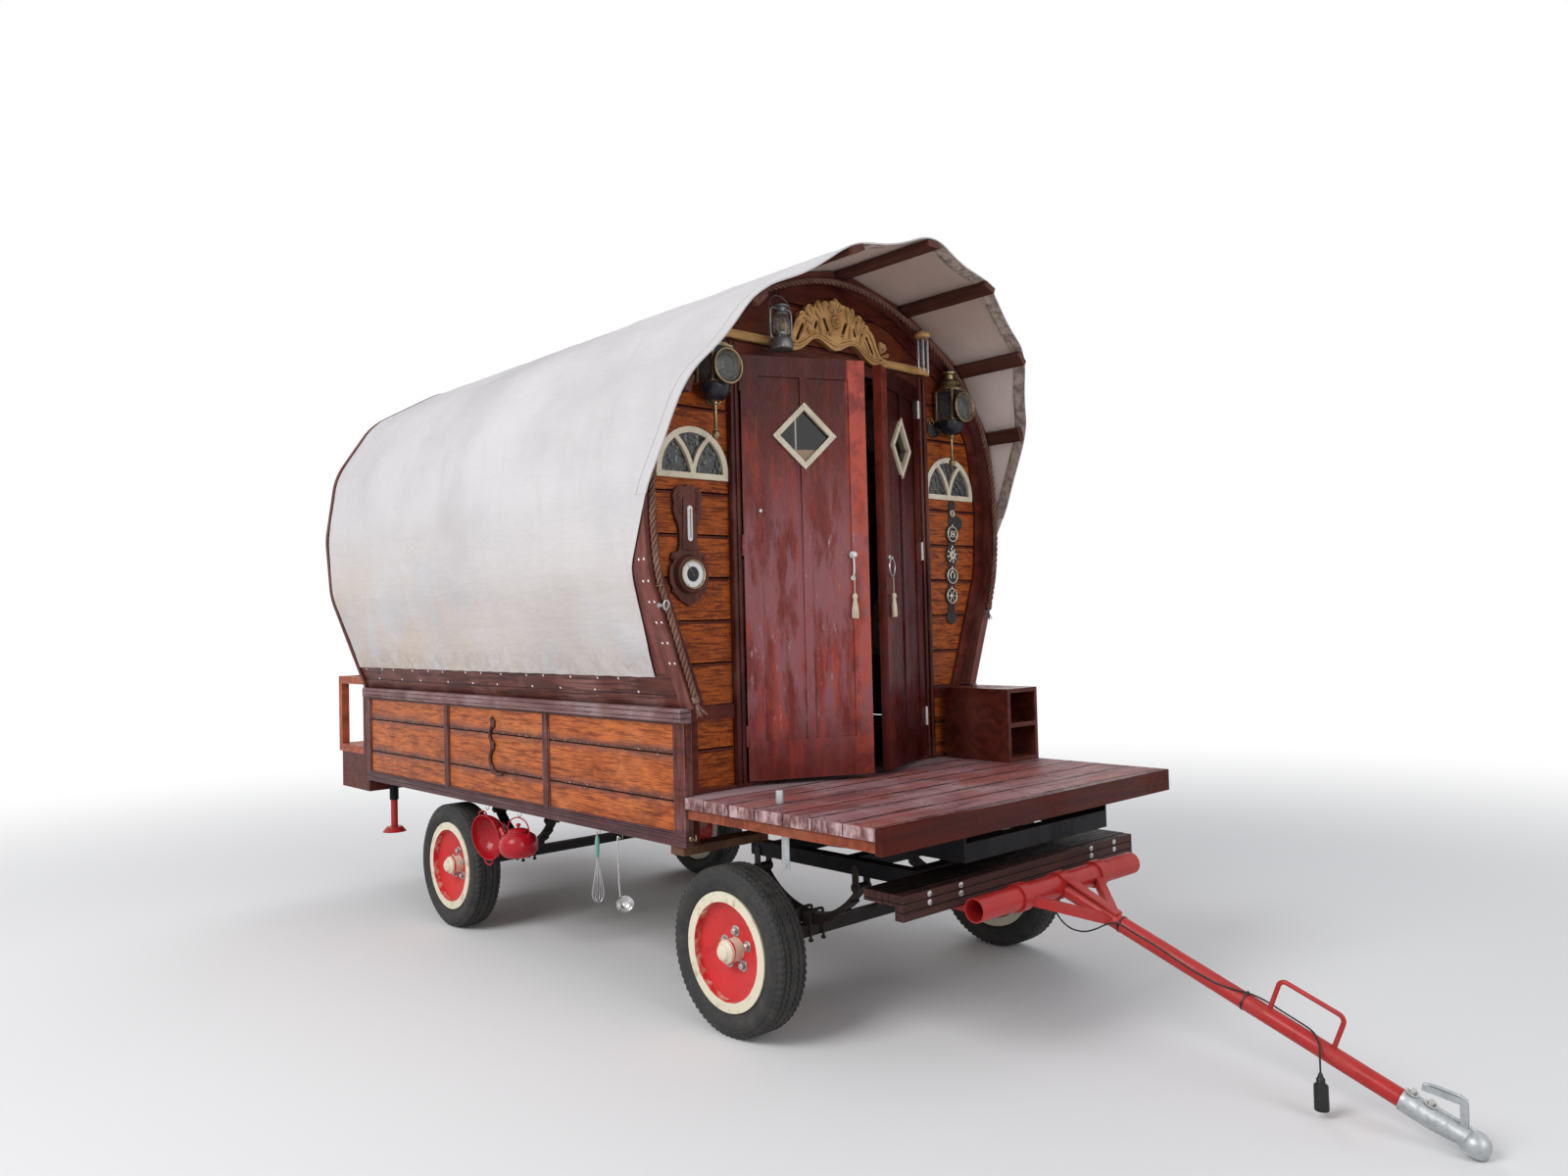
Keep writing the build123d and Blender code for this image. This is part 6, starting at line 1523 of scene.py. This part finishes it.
# Side casings: the boards between the canvas edge and the front bow, with pairs of nails up them
def casing_point(share, along):
    flat, normal = along_line(bow_points, share * 0.15)
    return Vector((0.38 + along * 0.1485, *(flat - normal * 0.0005)))


casings = []
nails = []
for side in (-1, 1):
    strip = laid_grid(24, 1, casing_point, "casing")
    if side > 0:
        for point in strip.data.vertices:
            point.co.y *= -1
    facing_out(strip, Vector((0.45, 0, 1.7)))
    thick = strip.modifiers.new("thick", "SOLIDIFY")
    thick.thickness, thick.offset = 0.02, -1.0
    apply_all(strip)
    casings.append(strip)
    for step in range(6):
        flat, out = along_line(bow_points, 0.012 + step * 0.0175)
        away = Vector((0, -side * out.x, out.y))
        for x in (0.548, 0.583):
            at = Vector((x - 0.004 * (step % 2), -side * flat.x, flat.y)) + away * 0.0002
            nails.append(turned([(0.0, 0.002), (0.004, 0.0015), (0.0058, 0.0)], at, away, steps=10))
finished(casings, "bow_casings", bow_stain, "wagon")
for side in (-1, 1):
    lean = Vector((0, side * 0.939, -0.344))
    for row, (low, count) in enumerate(((0.118, 14), (0.062, 10))):
        for step in range(count):
            x = -2.6 + (step + 0.5 * row) * (2.98 / count) + 0.03 * sin(step * 2.3)
            foot = Vector((x, side * (0.935 + 0.366 * low), 1.29 + low))
            nails.append(turned([(0.0, 0.0022), (0.0042, 0.0016), (0.006, 0.0)], foot + lean * 0.0002, lean,
                steps=10))
finished(nails, "canvas_nails", enamel, "wagon")


# Horse brasses: five cast brasses on rounds of black leather down a strap, by the left fan window
harness_leather = painted("harness_leather", (0.013, 0.011, 0.012), (0.03, 0.024, 0.023), (0.08, 0.05, 0.035),
    (0.05, 0.04, 0.03), chips=0.6, bump=0.5, patch_scale=14.0, grain_scale=320.0)
strap_x = 0.5255
worn_brass = painted("worn_brass", (0.66, 0.6, 0.5), (0.46, 0.41, 0.33), (0.8, 0.74, 0.62), (0.1, 0.08, 0.06),
    metallic=0.9, rough=0.32)


def leather_round(y, z, radius):
    return turned([(0.0, 0.004), (radius - 0.002, 0.004), (radius, 0.002), (radius, 0.0), (0.0, 0.0)],
        (strap_x + 0.0025, y, z), forwards, steps=32)


def brass_ring(y, z, radius, wire, lift=0.009):
    points = [(strap_x + lift, y + radius * cos(k * pi / 8), z + radius * sin(k * pi / 8)) for k in range(16)]
    return loop_rod(points, wire, closed=True)


def brass_bar(y, z, turn, low, high, wire):
    run = (cos(turn), sin(turn))
    ends = [(strap_x + 0.009, y + run[0] * reach, z + run[1] * reach) for reach in (low, (low + high) / 2,
        high)]
    return loop_rod(ends, wire)


strap_line = [(0.866, 2.225), (0.858, 2.05), (0.851, 1.88), (0.838, 1.64)]
leather = []
for (high_y, high_z), (low_y, low_z) in zip(strap_line, strap_line[1:]):
    outline = [(high_y - 0.025, high_z), (high_y + 0.025, high_z), (low_y + 0.025, low_z - 0.002),
        (low_y - 0.025, low_z - 0.002)]
    leather.append(plate(outline, strap_x, 0.0035, 0.001))
leather += [leather_round(0.837, 1.64, 0.038), leather_round(0.866, 2.228, 0.024),
    leather_round(0.905, 2.13, 0.04)]
brasses = [brass_ring(0.862, 2.181, 0.017, 0.0028), brass_ring(0.862, 2.181, 0.009, 0.0018)]
for number, (y, z, radius) in enumerate(((0.859, 2.073, 0.042), (0.854, 1.962, 0.042), (0.849, 1.854, 0.042),
        (0.841, 1.75, 0.041))):
    leather.append(leather_round(y, z, radius + 0.007))
    if number != 1:
        brasses.append(brass_ring(y, z, radius - 0.003, 0.0034))
    if number == 0:
        brasses += [brass_bar(y, z, radians(a), -0.031, 0.031, 0.0026) for a in (35, 145)]
        brasses.append(brass_ring(y, z, 0.015, 0.0024))
    elif number == 1:
        brasses.append(brass_ring(y, z, 0.019, 0.003))
        for k in range(8):
            brasses.append(brass_bar(y, z, k * pi / 4 + 0.2, 0.006, 0.035, 0.0032))
            brasses.append(turned([(0.0, 0.004), (0.0045, 0.002), (0.0055, 0.0)], (strap_x + 0.007,
                y + 0.035 * cos(k * pi / 4 + 0.2), z + 0.035 * sin(k * pi / 4 + 0.2)), forwards, steps=10))
    elif number == 2:
        horseshoe = [(strap_x + 0.009, y + 0.017 * sin(t), z + 0.003 - 0.02 * cos(t)) for t in (0.7, 1.3, 2.0,
            2.7, 3.14, 3.6, 4.3, 5.0, 5.58)]
        brasses += [loop_rod(horseshoe, 0.0036), brass_bar(y, z, pi / 2, 0.018, 0.032, 0.003)]
    else:
        brasses += [brass_bar(y, z, radians(a), 0.01, 0.031, 0.0026) for a in (0, 60, 120, 180, 240, 300)]
        brasses.append(turned([(0.0, 0.006), (0.009, 0.004), (0.012, 0.0)], (strap_x + 0.006, y, z), forwards,
            steps=20))
    brasses.append(brass_bar(y, z, pi / 2, radius - 0.002, radius + 0.008, 0.0036))
finished(leather, "brass_strap", harness_leather, "wagon")
finished(brasses, "horse_brasses", worn_brass, "wagon", smooth=50)


# Door trim: zinc screws in the window frames, a white screw cap, white hinge knuckles, a china pull on
# the right leaf and a wire ring on the left one, each with a cream tassel
ajar = radians(24.5)


def on_leaf(side, along, z, out):
    """A place on a leaf, from its hinge line, its height and how far it stands out of its face."""
    hinge = Vector((0.545, side * 0.594, z))
    run = Vector((sin(ajar), -side * cos(ajar), 0))
    return hinge + run * along + leaf_out(side) * out


def leaf_out(side):
    return Vector((cos(ajar), side * sin(ajar), 0))


tassel_cotton = painted("tassel_cotton", (0.68, 0.6, 0.44), (0.56, 0.47, 0.32), (0.76, 0.7, 0.56),
    (0.22, 0.16, 0.1), patches=0.5, rough=0.9, bump=0.5, patch_scale=12.0)


def tassel(top, seed, length=0.115):
    """A knotted head over a bound neck and a skirt of twisted yarns."""
    chance = random.Random(seed)
    head = [(0.0, 0.0), (0.004, -0.001), (0.0095, -0.006), (0.0125, -0.014), (0.0115, -0.022), (0.008, -0.027)]
    neck = [(0.0086 + 0.0011 * (k % 2), -0.028 - 0.0014 * k) for k in range(7)]
    pieces = [turned(head + neck + [(0.0, -0.038)], top, steps=24)]
    for yarn in range(30):
        turn = 2 * pi * yarn / 30 + chance.uniform(-0.06, 0.06)
        flare = 0.0135 * chance.uniform(0.8, 1.1)
        drop = length * chance.uniform(0.93, 1.0)
        way = Vector((cos(turn), sin(turn), 0))
        points = [Vector(top) + way * r + Vector((0, 0, z)) for r, z in ((0.0065, -0.034), (0.0105, -0.05),
            (flare, -drop * 0.8), (flare * 0.96, -drop))]
        pieces.append(loop_rod(points, 0.00165, turns=3))
    return pieces


sleeves = []
for side, body in ((-1, "door_right"), (1, "door_left")):
    screws = []
    for way_y, way_z in ((0, 1), (1, 0), (0, -1), (-1, 0)):
        along, z = 0.2945 + way_y * 0.138, 2.46 + way_z * 0.138
        screws.append(turned([(0.0, 0.0016), (0.0036, 0.0012), (0.0048, 0.0)], on_leaf(side, along, z, 0.0062),
            leaf_out(side), steps=12))
    finished(screws, f"{body}_frame_screws", zinc, body)
    for low, high in ((1.1, 1.19), (1.93, 2.02), (2.65, 2.74)) if side > 0 else ():
        knuckle = [(0.0, low), (0.0068, low), (0.008, low + 0.002)]
        for joint in (1, 2):
            z = low + (high - low) * joint / 3
            knuckle += [(0.008, z - 0.001), (0.0072, z), (0.008, z + 0.001)]
        knuckle += [(0.008, high - 0.002), (0.0068, high), (0.0045, high + 0.002), (0.0, high + 0.004)]
        sleeves.append(turned(knuckle, (0.5465, side * 0.5955, 0), steps=20))
finished(sleeves, "door_hinge_knuckles", enamel, "wagon")
pull = turned([(0.0, 0.03), (0.009, 0.029), (0.0135, 0.023), (0.011, 0.015), (0.006, 0.01), (0.006, 0.004),
    (0.015, 0.003), (0.016, 0.0)], on_leaf(-1, 0.512, 1.93, 0.0), leaf_out(-1), steps=24)
drop_ring = [on_leaf(-1, 0.512, 1.915, 0.013), on_leaf(-1, 0.512, 1.88, 0.017),
    on_leaf(-1, 0.512, 1.845, 0.013), on_leaf(-1, 0.512, 1.828, 0.006)]
pull_plate = turned([(0.0, 0.004), (0.01, 0.004), (0.012, 0.0)], on_leaf(-1, 0.512, 1.826, 0.0), leaf_out(-1),
    steps=20)
finished([pull, loop_rod(drop_ring, 0.0042), pull_plate], "china_pull", enamel, "door_right")
stray_screw = turned([(0.0, 0.0055), (0.006, 0.0045), (0.0085, 0.0)], on_leaf(-1, 0.085, 2.126, 0.0),
    leaf_out(-1), steps=20)
finished(stray_screw, "white_screw_cap", enamel, "door_right")
ring_points = []
for k in range(12):
    turn = 2 * pi * k / 12
    ring_points.append(on_leaf(1, 0.531 + 0.04 * sin(turn), 1.876 + 0.042 * cos(turn), 0.01))
ring = loop_rod(ring_points, 0.0032, closed=True)
ring_boss = turned([(0.0, 0.016), (0.006, 0.015), (0.007, 0.006), (0.014, 0.004), (0.016, 0.0)],
    on_leaf(1, 0.531, 1.92, 0.0), leaf_out(1), steps=20)
finished([ring, ring_boss], "wire_ring", zinc, "door_left")
in_tassel = 0.055
for side, body, top, knot, seed in ((-1, "door_right", on_leaf(-1, 0.512, 1.846, 0.0165),
        on_leaf(-1, 0.512, 1.758, 0.0165), 5), (1, "door_left", on_leaf(1, 0.531, 1.83, 0.015),
        on_leaf(1, 0.531, 1.76, 0.015), 6)):
    low_end = knot - Vector((0, 0, in_tassel))
    hanging = curved(f"{body}_tassel_cord", [top.lerp(low_end, share) for share in (0.0, 0.3, 0.7, 1.0)],
        0.0019)
    hanging.data.materials.append(tassel_cotton)
    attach(hanging, body)
    yarn = finished(tassel(knot, seed), f"{body}_tassel", tassel_cotton, body, smooth=50)


# Lantern and chime: a grey hurricane lantern on a hook left of the crest, and six silver tubes
# below a turned brown cap on the right
dull_tin = painted("dull_tin", (0.22, 0.225, 0.23), (0.15, 0.145, 0.14), (0.34, 0.34, 0.34),
    (0.06, 0.045, 0.03), chips=0.6, patches=0.6, metallic=0.75, patch_scale=25.0, edge_width=0.002)
lantern_x, lantern_y = 0.648, -0.432
tank = [(0.0, 2.834), (0.05, 2.834), (0.054, 2.838), (0.054, 2.872), (0.048, 2.882), (0.034, 2.888),
    (0.026, 2.896), (0.03, 2.902), (0.03, 2.908), (0.0, 2.908)]
hood = [(0.0, 2.988), (0.031, 2.988), (0.034, 2.992), (0.03, 2.999), (0.026, 3.002), (0.026, 3.018),
    (0.036, 3.022), (0.037, 3.028), (0.028, 3.036), (0.012, 3.042), (0.0, 3.043)]
tin = [turned(tank, (lantern_x, lantern_y, 0), steps=32), turned(hood, (lantern_x, lantern_y, 0), steps=32)]
tin.append(turned([(0.0, 0.01), (0.009, 0.009), (0.01, 0.0)], (lantern_x + 0.02, lantern_y - 0.03, 2.88),
    steps=16))
for side in (-1, 1):
    tube = [(lantern_x, lantern_y + side * r, z) for r, z in ((0.044, 2.876), (0.061, 2.885), (0.063, 2.915),
        (0.063, 2.985), (0.06, 3.012), (0.034, 3.018), (0.024, 3.012))]
    tin.append(loop_rod(tube, 0.0052))
for turn in (20, 65, 115, 160, 200, 245, 295, 340):
    way = (cos(radians(turn)), sin(radians(turn)))
    wire = [(lantern_x + r * way[0], lantern_y + r * way[1], z) for r, z in ((0.029, 2.905), (0.041, 2.922),
        (0.043, 2.948), (0.037, 2.972), (0.031, 2.99))]
    tin.append(loop_rod(wire, 0.0012))
for z, radius in ((2.934, 0.0435), (2.962, 0.0415)):
    tin.append(loop_rod([(lantern_x + radius * cos(k * pi / 8), lantern_y + radius * sin(k * pi / 8),
        z) for k in range(16)], 0.0012, closed=True))
bail = [(lantern_x, lantern_y - 0.066, 2.985), (lantern_x - 0.006, lantern_y - 0.066, 3.045),
    (lantern_x - 0.016, lantern_y, 3.088), (lantern_x - 0.006, lantern_y + 0.066, 3.045),
    (lantern_x, lantern_y + 0.066, 2.985)]
tin.append(loop_rod(bail, 0.0018))
finished(tin, "lantern_tin", dull_tin, "wagon")
globe = [(0.027, 2.905), (0.036, 2.918), (0.0395, 2.94), (0.0375, 2.962), (0.029, 2.988), (0.027, 2.988),
    (0.0355, 2.962), (0.0375, 2.94), (0.034, 2.918), (0.025, 2.905), (0.027, 2.905)]
finished(turned(globe, (lantern_x, lantern_y, 0), steps=32), "lantern_globe", lamp_glass, "wagon")
lantern_hook = [(0.5985, lantern_y, 3.098), (0.612, lantern_y, 3.096), (0.628, lantern_y, 3.076),
    (0.64, lantern_y, 3.077), (0.645, lantern_y, 3.09)]
chime_x, chime_y = 0.6415, 0.532
chime_hook = [(x, chime_y, z) for x, z in ((0.5985, 3.058), (0.612, 3.06), (0.622, 3.076), (0.6315, 3.072))]
finished([loop_rod(lantern_hook, 0.0026), loop_rod(chime_hook, 0.0022)], "hanging_hooks", black_iron, "wagon")
cap = [(0.0, 3.072), (0.01, 3.07), (0.014, 3.064), (0.03, 3.06), (0.038, 3.052), (0.04, 3.044), (0.036, 3.036),
    (0.03, 3.034), (0.0, 3.034)]
chime_cap = turned(cap, (chime_x, chime_y, 0), steps=28)
finished(chime_cap, "chime_cap", carving_varnish, "wagon")
tubes = []
for number in range(6):
    turn = 2 * pi * number / 6 + 0.3
    at = (chime_x + 0.026 * cos(turn), chime_y + 0.026 * sin(turn), 0)
    low = 2.853 + 0.012 * ((number * 5) % 6)
    tubes.append(turned([(0.0052, low), (0.006, low), (0.006, 3.016), (0.0052, 3.018), (0.0, 3.016)], at,
        steps=14))
    tubes.append(loop_rod([(at[0], at[1], 3.015), (at[0] * 0.999, at[1], 3.026),
        (chime_x + 0.9 * (at[0] - chime_x), chime_y + 0.9 * (at[1] - chime_y), 3.036)], 0.0009))
finished(tubes, "chime_tubes", galvanised, "wagon")


# Beads: a half-round bead under each joint of the front wall boards, and a moulded bead round the
# inside of each side bay
beads = []
for number in range(13):
    z = wall_start + wall_pitch * number - 0.0085
    if number in (2, 8) or z < 0.95:
        continue
    share = min(range(len(bow_points) // 2), key=lambda k: abs(bow_points[k].y - max(z, 1.43)))
    outer = -bow_points[share].x - 0.055 if z > 1.43 else 0.905
    inner = 0.0 if z > 2.85 else 0.662
    spans = ((-outer, -inner), (inner, outer)) if inner else ((-outer, outer),)
    for low, high in spans:
        beads.append(loop_rod([(0.5235, low, z), (0.5235, (low + high) / 2, z), (0.5235, high, z)], 0.0058))
finished(beads, "wall_beads", wall_maroon, "wagon", smooth=60)
bay_beads = []
for side in (-1, 1):
    for low, high in ((-2.603, -1.595), (-1.555, -0.547), (-0.507, 0.501)):
        y = side * 0.9515
        a, b, c, d = (low + 0.005, y, 0.777), (high - 0.005, y, 0.777), (high - 0.005, y, 1.227), (low + 0.005,
            y, 1.227)
        for first, last in ((a, b), (b, c), (c, d), (d, a)):
            middle = tuple((p + q) / 2 for p, q in zip(first, last))
            bay_beads.append(loop_rod([first, middle, last], 0.0058))
finished(bay_beads, "bay_beads", frame_stain, "wagon", smooth=60)


# Side ornament and hooks: a wavy wrought hook on the right panel, cup hooks under its bottom rail
# and the kitchen things hung from them
wave = [(-1.062, 1.176), (-1.04, 1.15), (-1.088, 1.092), (-1.046, 1.036), (-1.086, 0.968), (-1.058, 0.916),
    (-1.0, 0.886), (-0.948, 0.902)]
rusty_iron = painted("rusty_iron", (0.07, 0.024, 0.018), (0.15, 0.06, 0.04), (0.26, 0.13, 0.085),
    (0.035, 0.016, 0.012), chips=0.8, rough=0.6, bump=0.4, patch_scale=16.0)
ornament = [loop_rod([(x, -0.9585, z) for x, z in wave], 0.0085)]
ornament += [knob((0.016, 0.0075, 0.024), (x, -0.958, z), 14, 8, 1) for x, z in wave[1:-1:2]]
ornament.append(turned([(0.0, 0.006), (0.006, 0.005), (0.01, 0.0)], (-1.058, -0.951, 1.18), (0, -1, 0),
    steps=16))
finished(ornament, "side_hook", rusty_iron, "wagon")
hooks = []
hook_places = ((-1.15, -0.93), (-0.815, -0.93), (-0.098, -0.935), (0.082, -0.935))
for x, y in hook_places:
    hooks.append(loop_rod([(x, y, 0.7225), (x, y, 0.706), (x, y, 0.698), (x, y - 0.012, 0.692),
        (x, y - 0.019, 0.703), (x, y - 0.016, 0.712)], 0.0018))
    hooks.append(turned([(0.0, 0.003), (0.005, 0.002), (0.007, 0.0)], (x, y, 0.7222), (0, 0, -1), steps=14))
hooks.append(loop_rod([(0.573, -0.93, 0.757), (0.59, -0.93, 0.757), (0.602, -0.93, 0.752),
    (0.606, -0.93, 0.764), (0.602, -0.93, 0.776)], 0.003))
hooks.append(turned([(0.0, 0.004), (0.01, 0.003), (0.012, 0.0)], (0.573, -0.93, 0.757), forwards, steps=18))
finished(hooks, "cup_hooks", aged_brass, "wagon")
kitchen_red = painted("kitchen_red", (0.42, 0.008, 0.016), (0.34, 0.016, 0.022), (0.05, 0.03, 0.03),
    (0.16, 0.03, 0.03), rough=0.22, bump=0.06, edge_width=0.0015, patch_scale=12.0)
sieve = new_primitive("uv_sphere", segments=40, ring_count=26, radius=0.118)
reshape((bpy.ops.mesh.bisect, {"plane_co": (0, 0, 0.001), "plane_no": upwards, "clear_outer": True}))
for face in sieve.data.polygons:
    ring_number = int(degrees(acos(max(-1, min(1, -face.center.z / face.center.length)))) // 6.93)
    sector = int((degrees(atan2(face.center.y, face.center.x)) + 360) // 9 % 40)
    face.select = 3 <= ring_number <= 10 and (sector + ring_number) % 2 == 0
bpy.ops.object.mode_set(mode="EDIT")
bpy.ops.mesh.inset(thickness=0.0048, use_individual=True)
bpy.ops.mesh.delete(type="FACE")
bpy.ops.object.mode_set(mode="OBJECT")
sieve.modifiers.new("rounder", "SUBSURF").levels = 1
sieve.modifiers["rounder"].render_levels = 1
shell = sieve.modifiers.new("shell", "SOLIDIFY")
shell.thickness, shell.offset = 0.0014, 0.0
apply_all(sieve)
sieve.scale = (1, 1, 0.82)
bpy.ops.object.transform_apply(scale=True)
colander = [sieve]
rim_line = [(0.119 * cos(k * pi / 12), 0.119 * sin(k * pi / 12), 0.0) for k in range(24)]
colander.append(loop_rod(rim_line, 0.0032, closed=True))
for side in (-1, 1):
    grip = [(side * r, y, z) for r, y, z in ((0.116, -0.034, 0.0), (0.136, -0.03, 0.0), (0.146, 0.0, 0.0),
        (0.136, 0.03, 0.0), (0.116, 0.034, 0.0))]
    colander.append(loop_rod(grip, 0.0042))
colander.append(turned([(0.05, -0.098), (0.056, -0.108), (0.054, -0.108), (0.048, -0.097), (0.05, -0.098)],
    (0, 0, 0), steps=40))
colander = joined(colander)
colander.matrix_world = (Matrix.Translation((-1.15, -0.951, 0.551)) @ Matrix.Rotation(radians(8), 4,
    "Z") @ Matrix.Rotation(radians(97), 4, "X") @ Matrix.Rotation(radians(90), 4, "Z"))
finished(colander, "red_colander", kitchen_red, "wagon", smooth=50)
kettle = [turned([(0.0, 0.0), (0.066, 0.0), (0.076, 0.004), (0.092, 0.026), (0.097, 0.052), (0.093, 0.078),
    (0.082, 0.1), (0.064, 0.114), (0.052, 0.119), (0.05, 0.123), (0.054, 0.125), (0.05, 0.131), (0.026, 0.138),
    (0.008, 0.14), (0.006, 0.146), (0.012, 0.152), (0.011, 0.16), (0.0, 0.164)], (0, 0, 0), steps=48)]
spout = turned([(0.0, 0.0), (0.02, 0.0), (0.019, 0.03), (0.0135, 0.07), (0.0115, 0.098), (0.0085, 0.098),
    (0.0095, 0.08), (0.0, 0.06)], (0.072, 0, 0.05), (0.62, 0, 0.78), steps=24)
bail = [(r, 0, z) for r, z in ((-0.074, 0.104), (-0.082, 0.128), (-0.062, 0.176), (0.0, 0.196), (0.062, 0.176),
    (0.082, 0.128), (0.074, 0.104))]
kettle += [spout, loop_rod(bail, 0.0034)]
for side in (-1, 1):
    kettle.append(turned([(0.0, 0.006), (0.008, 0.005), (0.01, 0.0)], (side * 0.0765, 0, 0.103),
        (side * 0.8, 0, 0.6), steps=14))
kettle = joined(kettle)
kettle.matrix_world = Matrix.Translation((-0.815, -0.948, 0.501)) @ Matrix.Rotation(radians(12), 4, "Z")
finished(kettle, "red_kettle", kitchen_red, "wagon", smooth=50)
bright_steel = painted("bright_steel", (0.62, 0.62, 0.62), (0.45, 0.45, 0.44), (0.7, 0.7, 0.7),
    (0.2, 0.17, 0.14), metallic=0.95, rough=0.24, chips=0.3)
whisk_x, whisk_y = -0.098, -0.951
green_paint = painted("green_paint", (0.16, 0.4, 0.33), (0.12, 0.31, 0.26), (0.45, 0.3, 0.18),
    (0.06, 0.05, 0.04), chips=0.6, rough=0.35)
grip = [(0.0, 0.594), (0.006, 0.594), (0.0075, 0.6), (0.0085, 0.615), (0.01, 0.64), (0.0105, 0.662),
    (0.0085, 0.68), (0.006, 0.688), (0.0045, 0.69), (0.0, 0.69)]
finished(turned(grip, (whisk_x, whisk_y, 0), steps=24), "whisk_handle", green_paint, "wagon")
steel = [loop_rod([(whisk_x, whisk_y, 0.689), (whisk_x, whisk_y - 0.006, 0.698), (whisk_x, whisk_y, 0.708),
    (whisk_x, whisk_y + 0.006, 0.698), (whisk_x, whisk_y, 0.689)], 0.0014)]
for number in range(4):
    turn = pi * number / 4
    way = (cos(turn), sin(turn))
    half = [(0.004, 0.598), (0.006, 0.56), (0.021, 0.48), (0.03, 0.43), (0.02, 0.398)]
    wire = [(r, z) for r, z in half] + [(0.0, 0.392)] + [(-r, z) for r, z in reversed(half)]
    steel.append(loop_rod([(whisk_x + r * way[0], whisk_y + r * way[1], z) for r, z in wire], 0.0011))
ladle_x, ladle_y = 0.082, -0.951
stem = [(ladle_x, ladle_y + 0.004, 0.7), (ladle_x, ladle_y - 0.006, 0.716), (ladle_x, ladle_y - 0.012, 0.7),
    (ladle_x, ladle_y - 0.01, 0.64), (ladle_x + 0.004, ladle_y - 0.01, 0.5),
    (ladle_x + 0.01, ladle_y - 0.01, 0.455), (ladle_x + 0.014, ladle_y - 0.008, 0.428)]
steel.append(loop_rod(stem, 0.0034))
bowl = [(0.0, -0.033), (0.016, -0.029), (0.029, -0.018), (0.0365, 0.0), (0.0378, 0.0008), (0.0375, 0.0),
    (0.0302, -0.0188), (0.0168, -0.0303), (0.0, -0.0345)]
dipper = turned(bowl, (0, 0, 0), steps=36)
dipper.matrix_world = Matrix.Translation((ladle_x + 0.046, ladle_y - 0.01, 0.424)) @ Matrix.Rotation(
    radians(48), 4, "Y") @ Matrix.Rotation(radians(25), 4, "X")
steel.append(dipper)
finished(steel, "whisk_and_ladle", bright_steel, "wagon", smooth=50)


# Outriggers: short timber beams that carry the body's front corners from the chassis rails
outriggers = [board((0.455, side * 0.7175 - 0.2325, 0.6845), (0.545, side * 0.7175 + 0.2325, 0.7215), 0.004, 3,
    0.0012, 4) for side in (-1, 1)]
finished(outriggers, "timber_outriggers", floor_boards, "wagon")
